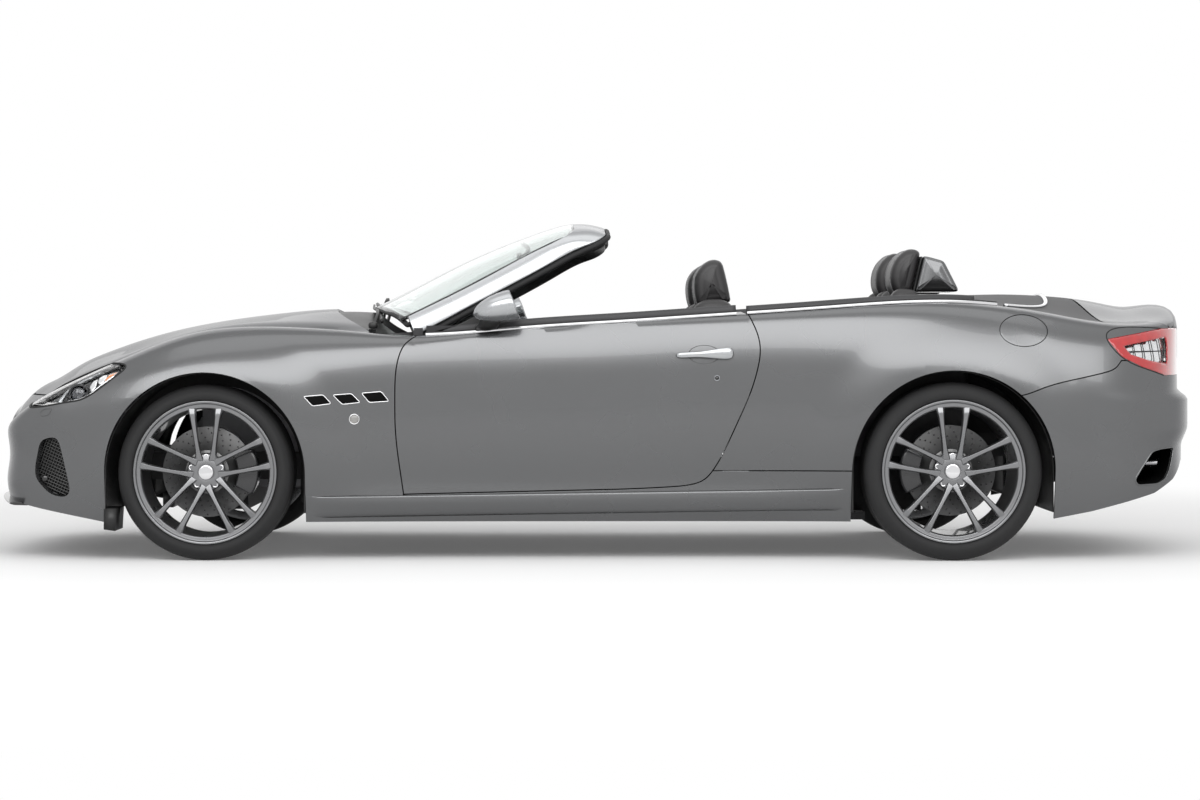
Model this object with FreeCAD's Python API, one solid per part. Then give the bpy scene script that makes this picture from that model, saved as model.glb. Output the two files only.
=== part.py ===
"""Open four-seat grand touring car with its roof stowed, in millimetres.

X runs from the nose to the tail, +Y is the right-hand side as the driver faces the nose's way (-X
is forward, so the left side is at -Y), +Z is up. The origin is on the ground at the middle of the
car's length. The outer skin is one form: a side, a top, a nose and a tail surface, each a smooth
function, joined with rounded edges. Every painted panel is a piece of that one form.
"""
import FreeCAD, Part
import bisect
import math
import os

from FreeCAD import Vector

# Overall sizes
LENGTH = 4910.0
WIDTH = 1910.0
HEIGHT = 1360.0
WHEELBASE = 2942.0
FRONT_OVERHANG = 900.0
FRONT_TRACK = 1586.0
REAR_TRACK = 1590.0

# Wheels and tyres
FRONT_TYRE_RADIUS = 346.0
REAR_TYRE_RADIUS = 351.0
FRONT_TYRE_WIDTH = 245.0
REAR_TYRE_WIDTH = 285.0
RIM_RADIUS = 281.0
RIM_BARREL = 254.0
RIM_FLANGE = 12.0
SPOKE_DEPTH = 36.0
HUB_RADIUS = 78.0
DISC_RADIUS = 180.0
DISC_THICKNESS = 32.0
FRONT_ARCH_RADIUS = 395.0
REAR_ARCH_RADIUS = 398.0

# Panels
SKIN = 14.0
SHUT_GAP = 5.5
SEAT_GAP = 0.3
DOOR_INNER_Y = 750.0
DOOR_FLANGE_Y = 858.0
DOOR_STEP = 22.0
DOOR_AXIS_Y = 926.0
BONNET_AXIS_X = -840.0
BONNET_AXIS_Z = 935.0
LID_AXIS_Z = 1062.0
JACK_FRONT_X = -900.0
JACK_REAR_X = 800.0
SILL_INNER_Y = 700.0
UNDERSIDE_Z = 150.0
FLOOR_THICKNESS = 30.0
NOSE_BOW = 178.0
TAIL_BOW = 228.0
CORNER_ROUND = 300.0
OVERRUN = 60.0

HALF_LENGTH = LENGTH / 2
HALF_WIDTH = WIDTH / 2
FRONT_AXLE_X = -HALF_LENGTH + FRONT_OVERHANG
REAR_AXLE_X = FRONT_AXLE_X + WHEELBASE

# Lengthwise curves of the outer form. Each row is a share of the half length, then of the height
# or of the half width.
CENTRE_HEIGHT_SHARES = [
    (-1.06, 0.350), (-1.0, 0.412), (-0.971, 0.475), (-0.929, 0.521), (-0.887, 0.567),
    (-0.845, 0.601), (-0.802, 0.629), (-0.718, 0.672), (-0.633, 0.701), (-0.549, 0.721),
    (-0.453, 0.735), (-0.385, 0.733), (-0.284, 0.716), (-0.081, 0.712), (0.203, 0.731),
    (0.406, 0.754), (0.568, 0.772), (0.710, 0.780), (0.776, 0.774), (0.854, 0.756),
    (0.903, 0.742), (0.945, 0.749), (0.972, 0.747), (1.0, 0.739), (1.06, 0.720),
]
CREST_HEIGHT_SHARES = [
    (-1.06, 0.320), (-1.0, 0.366), (-0.929, 0.452), (-0.852, 0.524), (-0.771, 0.588),
    (-0.710, 0.634), (-0.649, 0.666), (-0.588, 0.679), (-0.487, 0.677), (-0.398, 0.665),
    (-0.329, 0.653), (-0.284, 0.651), (-0.122, 0.671), (0.041, 0.690), (0.235, 0.715),
    (0.365, 0.732), (0.487, 0.747), (0.568, 0.748), (0.649, 0.737), (0.710, 0.722),
    (0.771, 0.702), (0.832, 0.687), (0.892, 0.688), (0.953, 0.698), (1.0, 0.699), (1.06, 0.690),
]
CREST_WIDTH_SHARES = [
    (-1.06, 0.52), (-1.0, 0.54), (-0.929, 0.61), (-0.852, 0.67), (-0.771, 0.72), (-0.649, 0.77),
    (-0.487, 0.80), (-0.329, 0.85), (-0.122, 0.89), (0.235, 0.905), (0.487, 0.90), (0.649, 0.865),
    (0.832, 0.80), (1.0, 0.68), (1.06, 0.66),
]
SIDE_WIDTH_SHARES = [
    (-1.06, 0.80), (-1.0, 0.836), (-0.913, 0.90), (-0.832, 0.940), (-0.730, 0.977),
    (-0.625, 0.991), (-0.487, 0.978), (-0.325, 0.957), (-0.122, 0.947), (0.122, 0.950),
    (0.325, 0.967), (0.446, 0.984), (0.568, 1.0), (0.690, 0.995), (0.791, 0.967), (0.892, 0.920),
    (1.0, 0.836), (1.06, 0.78),
]
WIDEST_HEIGHT_SHARES = [
    (-1.06, 0.43), (-0.7, 0.46), (-0.487, 0.49), (-0.325, 0.515), (0.0, 0.535), (0.325, 0.560),
    (0.568, 0.52), (0.8, 0.46), (1.06, 0.43),
]
SHOULDER_ROUND_SHARES = [
    (-1.06, 0.05), (-0.913, 0.12), (-0.771, 0.23), (-0.487, 0.23), (-0.365, 0.14), (-0.264, 0.06),
    (0.243, 0.06), (0.446, 0.09), (0.609, 0.14), (0.771, 0.16), (0.933, 0.10), (1.06, 0.05),
]
BULGE_SHARE = 0.10
VALLEY_SHARE = 0.016
LEAN_IN = 60.0
TUCK_UNDER = 52.0
LEAN_REACH = 260.0
TUCK_REACH = 460.0
SILL_RIDGE = 20.0
SILL_RIDGE_Z = 222.0
SILL_RIDGE_REACH = 55.0
FLARE_HEIGHT = 20.0
FLARE_BAND = 62.0
FLARE_FADE = 150.0
NOSE_PROFILE_SHARES = [
    (0.0, -0.974), (0.147, -0.992), (0.22, -1.001), (0.29, -0.997), (0.37, -1.002), (0.433, -1.008),
    (0.60, -1.013), (1.0, -1.013),
]
LID_FACE_X = 2408.5
BUMPER_LEDGE = 43.0
BUMPER_LEDGE_Z = 672.0
BUMPER_STEP = 27.0
BUMPER_STEP_Z = 478.0
BUMPER_UNDERCUT = 78.0
BUMPER_UNDERCUT_Z = 360.0
LEDGE_REACH = 44.0


def curve_through(rows):
    """Natural cubic curve through (place, value) rows, as a function of the place."""
    places = [row[0] for row in rows]
    values = [row[1] for row in rows]
    count = len(rows)
    bend = [0.0] * count
    carry = [0.0] * count
    for i in range(1, count - 1):
        before = places[i] - places[i - 1]
        after = places[i + 1] - places[i]
        share = before / (before + after)
        pivot = share * bend[i - 1] + 2.0
        bend[i] = (share - 1.0) / pivot
        slope_change = (values[i + 1] - values[i]) / after - (values[i] - values[i - 1]) / before
        carry[i] = (6.0 * slope_change / (before + after) - share * carry[i - 1]) / pivot
    for i in range(count - 2, -1, -1):
        bend[i] = bend[i] * bend[i + 1] + carry[i]

    def value_at(place):
        place = min(max(place, places[0]), places[-1])
        i = min(max(bisect.bisect_right(places, place) - 1, 0), count - 2)
        span = places[i + 1] - places[i]
        a = (places[i + 1] - place) / span
        b = (place - places[i]) / span
        curl = ((a ** 3 - a) * bend[i] + (b ** 3 - b) * bend[i + 1]) * span * span / 6.0
        return a * values[i] + b * values[i + 1] + curl

    return value_at


CENTRE_HEIGHT = curve_through(CENTRE_HEIGHT_SHARES)
CREST_HEIGHT = curve_through(CREST_HEIGHT_SHARES)
CREST_WIDTH = curve_through(CREST_WIDTH_SHARES)
SIDE_WIDTH = curve_through(SIDE_WIDTH_SHARES)
WIDEST_HEIGHT = curve_through(WIDEST_HEIGHT_SHARES)
SHOULDER_ROUND = curve_through(SHOULDER_ROUND_SHARES)
NOSE_PROFILE = curve_through(NOSE_PROFILE_SHARES)


def ramp(value, start, end):
    """0 before start, 1 after end, an S-curve between."""
    t = min(max((value - start) / (end - start), 0.0), 1.0)
    return t * t * (3.0 - 2.0 * t)


def round_max(a, b, radius):
    """The larger of two values, with the corner between them rounded over the radius."""
    h = max(radius - abs(a - b), 0.0) / radius
    return max(a, b) + h * h * h * radius / 6.0


def side_y(x, z):
    """Half width of the side surface at a length and a height."""
    place = x / HALF_LENGTH
    widest = WIDEST_HEIGHT(place) * HEIGHT
    y = SIDE_WIDTH(place) * HALF_WIDTH
    above = max(z - widest, 0.0) / LEAN_REACH
    below = max(widest - z, 0.0) / TUCK_REACH
    y -= LEAN_IN * above * above + TUCK_UNDER * below ** 2.4
    between = ramp(x, FRONT_AXLE_X + FRONT_ARCH_RADIUS, FRONT_AXLE_X + 2 * FRONT_ARCH_RADIUS)
    between *= 1 - ramp(x, REAR_AXLE_X - 2 * REAR_ARCH_RADIUS, REAR_AXLE_X - REAR_ARCH_RADIUS)
    y += SILL_RIDGE * between * math.exp(-((z - SILL_RIDGE_Z) / SILL_RIDGE_REACH) ** 2)
    for axle_x, hub_z, arch in WHEEL_PLACES:
        reach = math.hypot(x - axle_x, z - hub_z) - arch - FLARE_BAND
        high = ramp(z, hub_z - arch / 2, hub_z + arch)
        y += FLARE_HEIGHT * (0.4 + 0.6 * high) * (1 - ramp(reach, -FLARE_BAND, FLARE_FADE))
    return y


WHEEL_PLACES = (
    (FRONT_AXLE_X, FRONT_TYRE_RADIUS, FRONT_ARCH_RADIUS),
    (REAR_AXLE_X, REAR_TYRE_RADIUS, REAR_ARCH_RADIUS),
)


def top_z(x, y):
    """Height of the top surface at a length and a distance from the middle."""
    place = x / HALF_LENGTH
    crest_z = CREST_HEIGHT(place) * HEIGHT
    centre_z = CENTRE_HEIGHT(place) * HEIGHT
    across = abs(y) / (CREST_WIDTH(place) * HALF_WIDTH)
    if across > 1.0:
        return crest_z - 0.12 * HEIGHT * (across - 1.0) ** 2
    bonnet = 1 - ramp(place, -0.45, -0.30)
    fall = ramp(across, 0.0, 1.0)
    valley = VALLEY_SHARE * bonnet * HEIGHT * math.exp(-((across - 0.80) / BULGE_SHARE) ** 2)
    return centre_z + (crest_z - centre_z) * fall - valley


def nose_x(y, z):
    """Front surface: how far forward the nose reaches."""
    return NOSE_PROFILE(z / HEIGHT) * HALF_LENGTH + NOSE_BOW * (y / HALF_WIDTH) ** 2


def tail_x(y, z):
    """Rear surface: the lid's face, the bumper's ledge under it, a step and an undercut."""
    x = LID_FACE_X + BUMPER_LEDGE * (1 - ramp(z, BUMPER_LEDGE_Z - LEDGE_REACH, BUMPER_LEDGE_Z))
    x -= BUMPER_STEP * (1 - ramp(z, BUMPER_STEP_Z - LEDGE_REACH, BUMPER_STEP_Z + LEDGE_REACH))
    low = max(BUMPER_UNDERCUT_Z - z, 0.0) / BUMPER_UNDERCUT_Z
    return x - 4.0 * BUMPER_UNDERCUT * low * low - TAIL_BOW * (y / HALF_WIDTH) ** 2


def outside(x, y, z):
    """Negative inside the outer form, zero on it, positive outside."""
    y = abs(y)
    wall = round_max(y - side_y(x, z), nose_x(y, z) - x, CORNER_ROUND)
    wall = round_max(wall, x - tail_x(y, z), CORNER_ROUND)
    return round_max(wall, z - top_z(x, y), SHOULDER_ROUND(x / HALF_LENGTH) * HALF_WIDTH)


def reach_out(start, way, low, high):
    """Where a ray from inside meets the outer form: bisection with false position."""
    def value(r):
        return outside(start.x + way.x * r, start.y + way.y * r, start.z + way.z * r)

    at_low = value(low)
    at_high = value(high)
    side = 0
    for _ in range(40):
        r = (low * at_high - high * at_low) / (at_high - at_low)
        at_r = value(r)
        if abs(at_r) < 0.002:
            break
        if at_r * at_high > 0:
            high, at_high = r, at_r
            if side < 0:
                at_low /= 2
            side = -1
        else:
            low, at_low = r, at_r
            if side > 0:
                at_high /= 2
            side = 1
    return start + way * r


def outward(point):
    """Unit normal of the outer form at a point on it."""
    step = 1.0
    slope = [
        outside(point.x + dx, point.y + dy, point.z + dz)
        - outside(point.x - dx, point.y - dy, point.z - dz)
        for dx, dy, dz in ((step, 0, 0), (0, step, 0), (0, 0, step))
    ]
    return Vector(*slope).normalize()


def places(low, high, count):
    return [low + (high - low) * i / (count - 1) for i in range(count)]


def surface_face(rows):
    surface = Part.BSplineSurface()
    surface.interpolate(rows)
    return surface


def solid_between(outer_rows, inner_rows):
    """A closed solid from two point grids: an outer and an inner skin with ruled sides."""
    outer = surface_face(outer_rows)
    inner = surface_face(inner_rows)
    faces = [outer.toShape(), inner.toShape()]
    for edge_of in (
        lambda s: s.uIso(s.bounds()[0]), lambda s: s.uIso(s.bounds()[1]),
        lambda s: s.vIso(s.bounds()[2]), lambda s: s.vIso(s.bounds()[3]),
    ):
        faces.append(Part.makeRuledSurface(edge_of(outer).toShape(), edge_of(inner).toShape()))
    shell = Part.makeShell(faces)
    shell.sewShape()
    solid = Part.makeSolid(Part.Shell(shell.Faces))
    return solid if solid.Volume > 0 else solid.reversed()


def skin_patch(rays, low, high, thickness):
    """Skin of even thickness over a grid of rays that meet the outer form."""
    outer_rows = [[reach_out(start, way, low, high) for start, way in row] for row in rays]
    inner_rows = [[p - outward(p) * thickness for p in row] for row in outer_rows]
    return solid_between(outer_rows, inner_rows)


def side_rays(x_low, x_high, turn_low, turn_high, counts, centre_y, centre_z):
    """Rays across the car, from a line inside the left side, turned from down-out to up."""
    rows = []
    for x in places(x_low, x_high, counts[0]):
        start = Vector(x, -centre_y, centre_z)
        rows.append([
            (start, Vector(0, -math.cos(math.radians(t)), math.sin(math.radians(t))))
            for t in places(turn_low, turn_high, counts[1])
        ])
    return rows


def top_rays(x_low, x_high, y_low, y_high, counts, start_z):
    return [
        [(Vector(x, y, start_z), Vector(0, 0, 1)) for y in places(y_low, y_high, counts[1])]
        for x in places(x_low, x_high, counts[0])
    ]


def hood_rays(middle_x, turn_low, turn_high, half_width, counts, start_z):
    """Rays from a line across the car, turned in the side view from forward to up and back."""
    rows = []
    for turn in places(turn_low, turn_high, counts[0]):
        way = Vector(math.cos(math.radians(turn)), 0, math.sin(math.radians(turn)))
        across = places(-half_width, half_width, counts[1])
        rows.append([(Vector(middle_x, y, start_z), way) for y in across])
    return rows


def end_rays(centre_x, forward, turn_reach, z_low, z_high, counts):
    """Level rays from a point on the middle line, fanned about the nose or the tail."""
    rows = []
    for turn in places(-turn_reach, turn_reach, counts[0]):
        way = Vector(forward * math.cos(math.radians(turn)), math.sin(math.radians(turn)), 0)
        rows.append([(Vector(centre_x, 0, z), way) for z in places(z_low, z_high, counts[1])])
    return rows


def side_points(pairs):
    return [Vector(x, 0, z) for x, z in pairs]


def smooth_edge(points):
    curve = Part.BSplineCurve()
    curve.interpolate(points)
    return curve.toShape()


def side_prism(edges, y_low, y_high):
    """Prism across the car over an outline drawn in the side view."""
    wire = Part.Wire(edges)
    wire.translate(Vector(0, y_low, 0))
    return Part.Face(wire).extrude(Vector(0, y_high - y_low, 0))


def plan_prism(edges, z_low, z_high):
    wire = Part.Wire(edges)
    wire.translate(Vector(0, 0, z_low))
    return Part.Face(wire).extrude(Vector(0, 0, z_high - z_low))


def other_side(shape):
    return shape.mirror(Vector(0, 0, 0), Vector(0, 1, 0))


def box(x_low, x_high, y_low, y_high, z_low, z_high):
    return Part.makeBox(
        x_high - x_low, y_high - y_low, z_high - z_low, Vector(x_low, y_low, z_low)
    )


def cross_cylinder(x, z, radius, y_low, y_high):
    return Part.makeCylinder(radius, y_high - y_low, Vector(x, y_low, z), Vector(0, 1, 0))


# Outlines in the side view, as shares of the half length and of the height
DOOR_SHARES = [
    (-0.295, 0.649), (-0.312, 0.626), (-0.323, 0.583), (-0.327, 0.537), (-0.328, 0.470),
    (-0.327, 0.371), (-0.322, 0.284), (-0.315, 0.193), (0.031, 0.207), (0.114, 0.214),
    (0.147, 0.221), (0.166, 0.234), (0.177, 0.254), (0.196, 0.311), (0.218, 0.397),
    (0.240, 0.490), (0.251, 0.557), (0.255, 0.610), (0.252, 0.649), (0.245, 0.682), (0.232, 0.730),
]
DOOR_FRONT_COUNT = 8
DOOR_REAR_FROM = 10
HEADLAMP_SHARES = [
    (-1.02, 0.440), (-0.937, 0.437), (-0.836, 0.462), (-0.812, 0.484), (-0.762, 0.564),
    (-0.790, 0.575), (-0.845, 0.562), (-0.908, 0.510), (-1.02, 0.456),
]
TAIL_LAMP_SHARES = [
    (0.815, 0.641), (0.914, 0.673), (1.03, 0.677), (1.03, 0.535), (0.914, 0.535), (0.878, 0.555),
    (0.837, 0.590),
]
INTAKE_SHARES = [
    (-1.02, 0.357), (-0.878, 0.357), (-0.864, 0.310), (-0.850, 0.210), (-0.862, 0.192),
    (-1.02, 0.190),
]
REAR_SHUT_SHARES = [
    (0.640, 0.470), (0.678, 0.480), (0.709, 0.500), (0.749, 0.519), (0.809, 0.543), (0.826, 0.555),
    (0.837, 0.577),
]
SCREEN_MIDDLE_SHARES = [
    (-0.379, 0.741), (-0.318, 0.801), (-0.238, 0.871), (-0.159, 0.932), (-0.080, 0.984),
    (-0.030, 1.0),
]
SCREEN_PILLAR_SHARES = [
    (-0.300, 0.650), (-0.225, 0.724), (-0.150, 0.797), (-0.085, 0.861), (-0.030, 0.912),
    (0.004, 0.938),
]
FRONT_SHUT_Z = 640.0
FENDER_BOTTOM_Z = 255.0
BONNET_EDGE_SHARES = [
    (-0.982, 0.0), (-0.976, 0.25), (-0.955, 0.47), (-0.900, 0.585), (-0.800, 0.665),
    (-0.640, 0.715), (-0.460, 0.745), (-0.356, 0.760),
]
BONNET_REAR_X = -1100.0
BONNET_REAR_BOW = 440.0
DECK_FRONT_X = 1440.0
DECK_FRONT_BOW = 300.0
DECK_HALF_WIDTH = 700.0
LID_FRONT_X = 1985.0
LID_HALF_WIDTH = 640.0
LID_BOTTOM_Z = 790.0
GRILLE_HALF_WIDTH = 470.0
GRILLE_Z = 470.0
GRILLE_HALF_HEIGHT = 140.0


def side_at(pair):
    return (pair[0] * HALF_LENGTH, pair[1] * HEIGHT)


def side_polygon(shares):
    points = side_points([side_at(pair) for pair in shares])
    return Part.makePolygon(points + points[:1])


def door_edges(grow):
    """Door outline, moved out all round by grow."""
    pairs = [side_at(pair) for pair in DOOR_SHARES]
    middle_x = (pairs[0][0] + pairs[-1][0]) / 2
    middle_z = (pairs[0][1] + pairs[DOOR_FRONT_COUNT][1]) / 2
    moved = []
    for x, z in pairs:
        out_x = grow if x > middle_x else -grow
        moved.append((x + out_x, z + (0.0 if z > middle_z else -grow)))
    points = side_points(moved)
    front = smooth_edge(points[:DOOR_FRONT_COUNT])
    bottom = Part.makeLine(points[DOOR_FRONT_COUNT - 1], points[DOOR_FRONT_COUNT])
    rear = smooth_edge(points[DOOR_FRONT_COUNT:])
    top_z_value = HEIGHT
    rear_top = Vector(points[-1].x, 0, top_z_value)
    front_top = Vector(points[0].x, 0, top_z_value)
    return [
        front, bottom, rear, Part.makeLine(points[-1], rear_top),
        Part.makeLine(rear_top, front_top), Part.makeLine(front_top, points[0]),
    ]


FAR_Y = HALF_WIDTH + 2 * OVERRUN
LEFT = -1
RIGHT = 1


def cut_all(shape, tools):
    return shape.cut(tools)


def largest_solid(shape):
    return max(shape.Solids, key=lambda solid: solid.Volume)


def arch_tool(axle_x, hub_z, radius):
    """What the wheel opening removes on the left: a disc, and straight down below the hub."""
    disc = cross_cylinder(axle_x, hub_z, radius, -FAR_Y, 0.0)
    below = box(axle_x - radius, axle_x + radius, -FAR_Y, 0.0, 0.0, hub_z)
    return disc.fuse(below)


FRONT_ARCH = arch_tool(FRONT_AXLE_X, FRONT_TYRE_RADIUS, FRONT_ARCH_RADIUS)
REAR_ARCH = arch_tool(REAR_AXLE_X, REAR_TYRE_RADIUS, REAR_ARCH_RADIUS)
DOOR_OPENING = side_prism(door_edges(SHUT_GAP), -FAR_Y, 0.0)


def side_region(shares, shrink, inner_share):
    """Prism over a side-view polygon, from a share of the half width outwards on the left."""
    wire = Part.Wire(side_polygon(shares))
    if shrink:
        wire = wire.makeOffset2D(-shrink)
    inner_y = -inner_share * HALF_WIDTH - shrink
    wire.translate(Vector(0, -FAR_Y, 0))
    return Part.Face(wire).extrude(Vector(0, FAR_Y + inner_y, 0))


HEADLAMP_REGION = side_region(HEADLAMP_SHARES, 0.0, 0.45)
TAIL_LAMP_REGION = side_region(TAIL_LAMP_SHARES, 0.0, 0.42)
INTAKE_REGION = side_region(INTAKE_SHARES, 0.0, 0.60)


def screen_region(grow):
    """Plan region that the windscreen and its pillars take, from their base line back."""
    half = DOOR_INNER_Y
    front = [screen_point(0.0, share) - Vector(4 * grow, 0, 0) for share in places(-1.0, 1.0, 9)]
    front = [Vector(p.x, p.y * half / SCREEN_BASE_Y, 0) for p in front]
    rear_left = Vector(0, front[0].y, 0)
    rear_right = Vector(0, front[-1].y, 0)
    return plan_prism([
        smooth_edge(front), Part.makeLine(front[-1], rear_right),
        Part.makeLine(rear_right, rear_left), Part.makeLine(rear_left, front[0]),
    ], 0.5 * HEIGHT, 1.5 * HEIGHT)


def cowl():
    """Scuttle between the bonnet's rear edge and the windscreen, down to the firewall."""
    rows = []
    low_rows = []
    for x in places(BONNET_REAR_X - OVERRUN, -0.28 * HALF_LENGTH, 9):
        row = [
            reach_out(Vector(x, y, 0.5 * HEIGHT), Vector(0, 0, 1), 0.0, HEIGHT)
            for y in places(-SILL_INNER_Y, SILL_INNER_Y, 17)
        ]
        rows.append([p - Vector(0, 0, COWL_DROP) for p in row])
        low_rows.append([Vector(p.x, p.y, FIREWALL_TOP_Z + SEAT_GAP) for p in row])
    solid = solid_between(rows, low_rows)
    front = bowed_line(BONNET_REAR_X + SHUT_GAP, BONNET_REAR_BOW, SILL_INNER_Y - SEAT_GAP)
    rear = [screen_point(0.0, p.y / SCREEN_BASE_Y) for p in front]
    rear = [Vector(p.x - SEAT_GAP, p.y, 0) for p in rear]
    region = plan_prism([
        smooth_edge(front), Part.makeLine(front[-1], rear[-1]), smooth_edge(rear),
        Part.makeLine(rear[0], front[0]),
    ], 0.0, HEIGHT)
    return largest_solid(solid.common(region).cut(windscreen_frame()))


COWL_DROP = 12.0


def front_side_skin(thickness):
    return skin_patch(
        side_rays(-0.945 * HALF_LENGTH, -0.26 * HALF_LENGTH, -38.0, 84.0, (36, 20),
                  0.47 * HALF_WIDTH, 0.33 * HEIGHT), 0.0, WIDTH, thickness)


def rear_side_skin(thickness):
    return skin_patch(
        side_rays(0.155 * HALF_LENGTH, 0.945 * HALF_LENGTH, -38.0, 84.0, (40, 20),
                  0.47 * HALF_WIDTH, 0.33 * HEIGHT), 0.0, WIDTH, thickness)


def nose_skin(thickness):
    return skin_patch(
        end_rays(-0.59 * HALF_LENGTH, -1, 70.0, UNDERSIDE_Z, FRONT_SHUT_Z + 3 * SHUT_GAP, (31, 15)),
        0.0, WIDTH, thickness)


def tail_skin(thickness):
    return skin_patch(
        end_rays(0.53 * HALF_LENGTH, 1, 74.0, UNDERSIDE_Z + 2 * SHUT_GAP, 0.70 * HEIGHT, (37, 18)),
        0.0, WIDTH, thickness)


def bonnet_skin(thickness):
    return skin_patch(
        hood_rays(-0.65 * HALF_LENGTH, 170.0, 30.0, 0.76 * HALF_WIDTH, (32, 25), 0.22 * HEIGHT),
        0.0, WIDTH, thickness)


def deck_skin(thickness):
    return skin_patch(
        hood_rays(0.73 * HALF_LENGTH, 140.0, 3.0, 0.76 * HALF_WIDTH, (30, 25), 0.44 * HEIGHT),
        0.0, WIDTH, thickness)


def bonnet_edge_points():
    return [Vector(x * HALF_LENGTH, -y * HALF_WIDTH, 0) for x, y in BONNET_EDGE_SHARES]


def bowed_line(middle_x, bow, half_width, count=9):
    """Plan curve across the car that moves back towards its ends."""
    return [
        Vector(middle_x + bow * (y / HALF_WIDTH) ** 2, y, 0)
        for y in places(-half_width, half_width, count)
    ]


def bonnet_region(shrink):
    """Plan outline of the bonnet: nose edge, two side lines and the bowed rear edge."""
    left = [Vector(p.x, min(p.y + shrink, 0.0), 0) for p in bonnet_edge_points()]
    right = [Vector(p.x, -p.y, 0) for p in reversed(left)]
    side_end = left[-1]
    rear = bowed_line(BONNET_REAR_X - shrink, BONNET_REAR_BOW, -side_end.y)
    rear_bow_end = rear[0]
    front = smooth_edge(right[:-1] + left)
    return plan_prism([
        front, Part.makeLine(left[-1], rear_bow_end), smooth_edge(rear),
        Part.makeLine(rear[-1], right[0]),
    ], 0.0, HEIGHT)


def deck_region(front_x, front_bow, half_width, rear_x, rear_bow, shrink):
    front = bowed_line(front_x + shrink, front_bow, half_width - shrink)
    rear = bowed_line(rear_x - shrink, rear_bow, half_width - shrink)
    return plan_prism([
        smooth_edge(front), Part.makeLine(front[-1], rear[-1]), smooth_edge(rear),
        Part.makeLine(rear[0], front[0]),
    ], 0.0, 1.5 * HEIGHT)


# Body panels

def fender_left():
    skin = front_side_skin(SKIN)
    ahead = box(-LENGTH, FRONT_AXLE_X, -FAR_Y, 0.0, 0.0, FRONT_SHUT_Z)
    low = box(-LENGTH, 0.0, -FAR_Y, 0.0, 0.0, FENDER_BOTTOM_Z)
    middle = box(-LENGTH, 0.0, -0.60 * HALF_WIDTH, FAR_Y, 0.0, HEIGHT)
    scuttle = box(-0.37 * HALF_LENGTH, 0.0, -SILL_INNER_Y, FAR_Y, 0.0, HEIGHT)
    nose = box(-LENGTH, -0.93 * HALF_LENGTH, -FAR_Y, 0.0, 0.0, HEIGHT)
    under_door = box(DOOR_SHARES[7][0] * HALF_LENGTH - SHUT_GAP, 0.0, -FAR_Y, 0.0, 0.0, 0.3 * HEIGHT)
    tools = [FRONT_ARCH, DOOR_OPENING, HEADLAMP_REGION, ahead, low, nose, under_door]
    skin = cut_all(skin, tools)
    skin = skin.cut(bonnet_region(0.0)).cut([middle, scuttle]).cut(screen_region(SHUT_GAP))
    return largest_solid(skin)


def bonnet():
    skin = bonnet_skin(SKIN)
    skin = skin.common(bonnet_region(SHUT_GAP))
    low = box(-LENGTH, 0.0, -FAR_Y, FAR_Y, 0.0, FRONT_SHUT_Z + SHUT_GAP)
    lamp = other_side(HEADLAMP_REGION)
    return largest_solid(skin.cut(low).cut(HEADLAMP_REGION).cut(lamp))


def grille_opening(grow):
    """Oval mouth in the nose: an ellipse in the front view, carried back."""
    ring = Part.Ellipse(Vector(), GRILLE_HALF_WIDTH + grow, GRILLE_HALF_HEIGHT + grow).toShape()
    ring.rotate(Vector(), Vector(0, 0, 1), 90.0)
    ring.rotate(Vector(), Vector(0, 1, 0), 90.0)
    ring.translate(Vector(-LENGTH, 0, GRILLE_Z))
    return Part.Face(Part.Wire(ring)).extrude(Vector(0.62 * LENGTH, 0, 0))


def front_bumper():
    skin = nose_skin(SKIN)
    above = box(-LENGTH, 0.0, -FAR_Y, FAR_Y, FRONT_SHUT_Z, HEIGHT)
    behind = box(FRONT_AXLE_X, 0.0, -FAR_Y, FAR_Y, 0.0, HEIGHT)
    towing = Part.makeCylinder(
        TOW_HOLE_RADIUS, LENGTH, Vector(-LENGTH, TOW_THREAD_Y, RAIL_Z + RAIL_HEIGHT / 2), Vector(1, 0, 0))
    tools = [above, behind, grille_opening(0.0), towing]
    for tool in (FRONT_ARCH, HEADLAMP_REGION, INTAKE_REGION):
        tools += [tool, other_side(tool)]
    return largest_solid(cut_all(skin, tools))


def quarter_left():
    skin = rear_side_skin(SKIN)
    low = box(0.0, LENGTH, -FAR_Y, 0.0, 0.0, UNDERSIDE_Z)
    front_low = box(0.0, REAR_AXLE_X, -FAR_Y, 0.0, 0.0, SILL_TOP_Z + SHUT_GAP)
    middle = box(0.0, LENGTH, -DECK_HALF_WIDTH, FAR_Y, 0.0, 1.5 * HEIGHT)
    lid = deck_region(LID_FRONT_X, 0.0, LID_HALF_WIDTH, LENGTH, 0.0, 0.0)
    tools = [REAR_ARCH, DOOR_OPENING, TAIL_LAMP_REGION, FUEL_FLAP_REGION, low, front_low]
    skin = cut_all(skin, tools).cut(middle).cut(lid)
    return largest_solid(skin.cut(rear_bumper_region()))


def rear_bumper_region():
    """Side view region of the rear bumper, below its shut line with the quarter panels."""
    points = side_points([side_at(pair) for pair in REAR_SHUT_SHARES])
    line = smooth_edge(points)
    low_front = Vector(points[0].x, 0, 0)
    low_rear = Vector(LENGTH, 0, 0)
    high_rear = Vector(LENGTH, 0, points[-1].z)
    return side_prism([
        line, Part.makeLine(points[-1], high_rear), Part.makeLine(high_rear, low_rear),
        Part.makeLine(low_rear, low_front), Part.makeLine(low_front, points[0]),
    ], -FAR_Y, FAR_Y)


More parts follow.
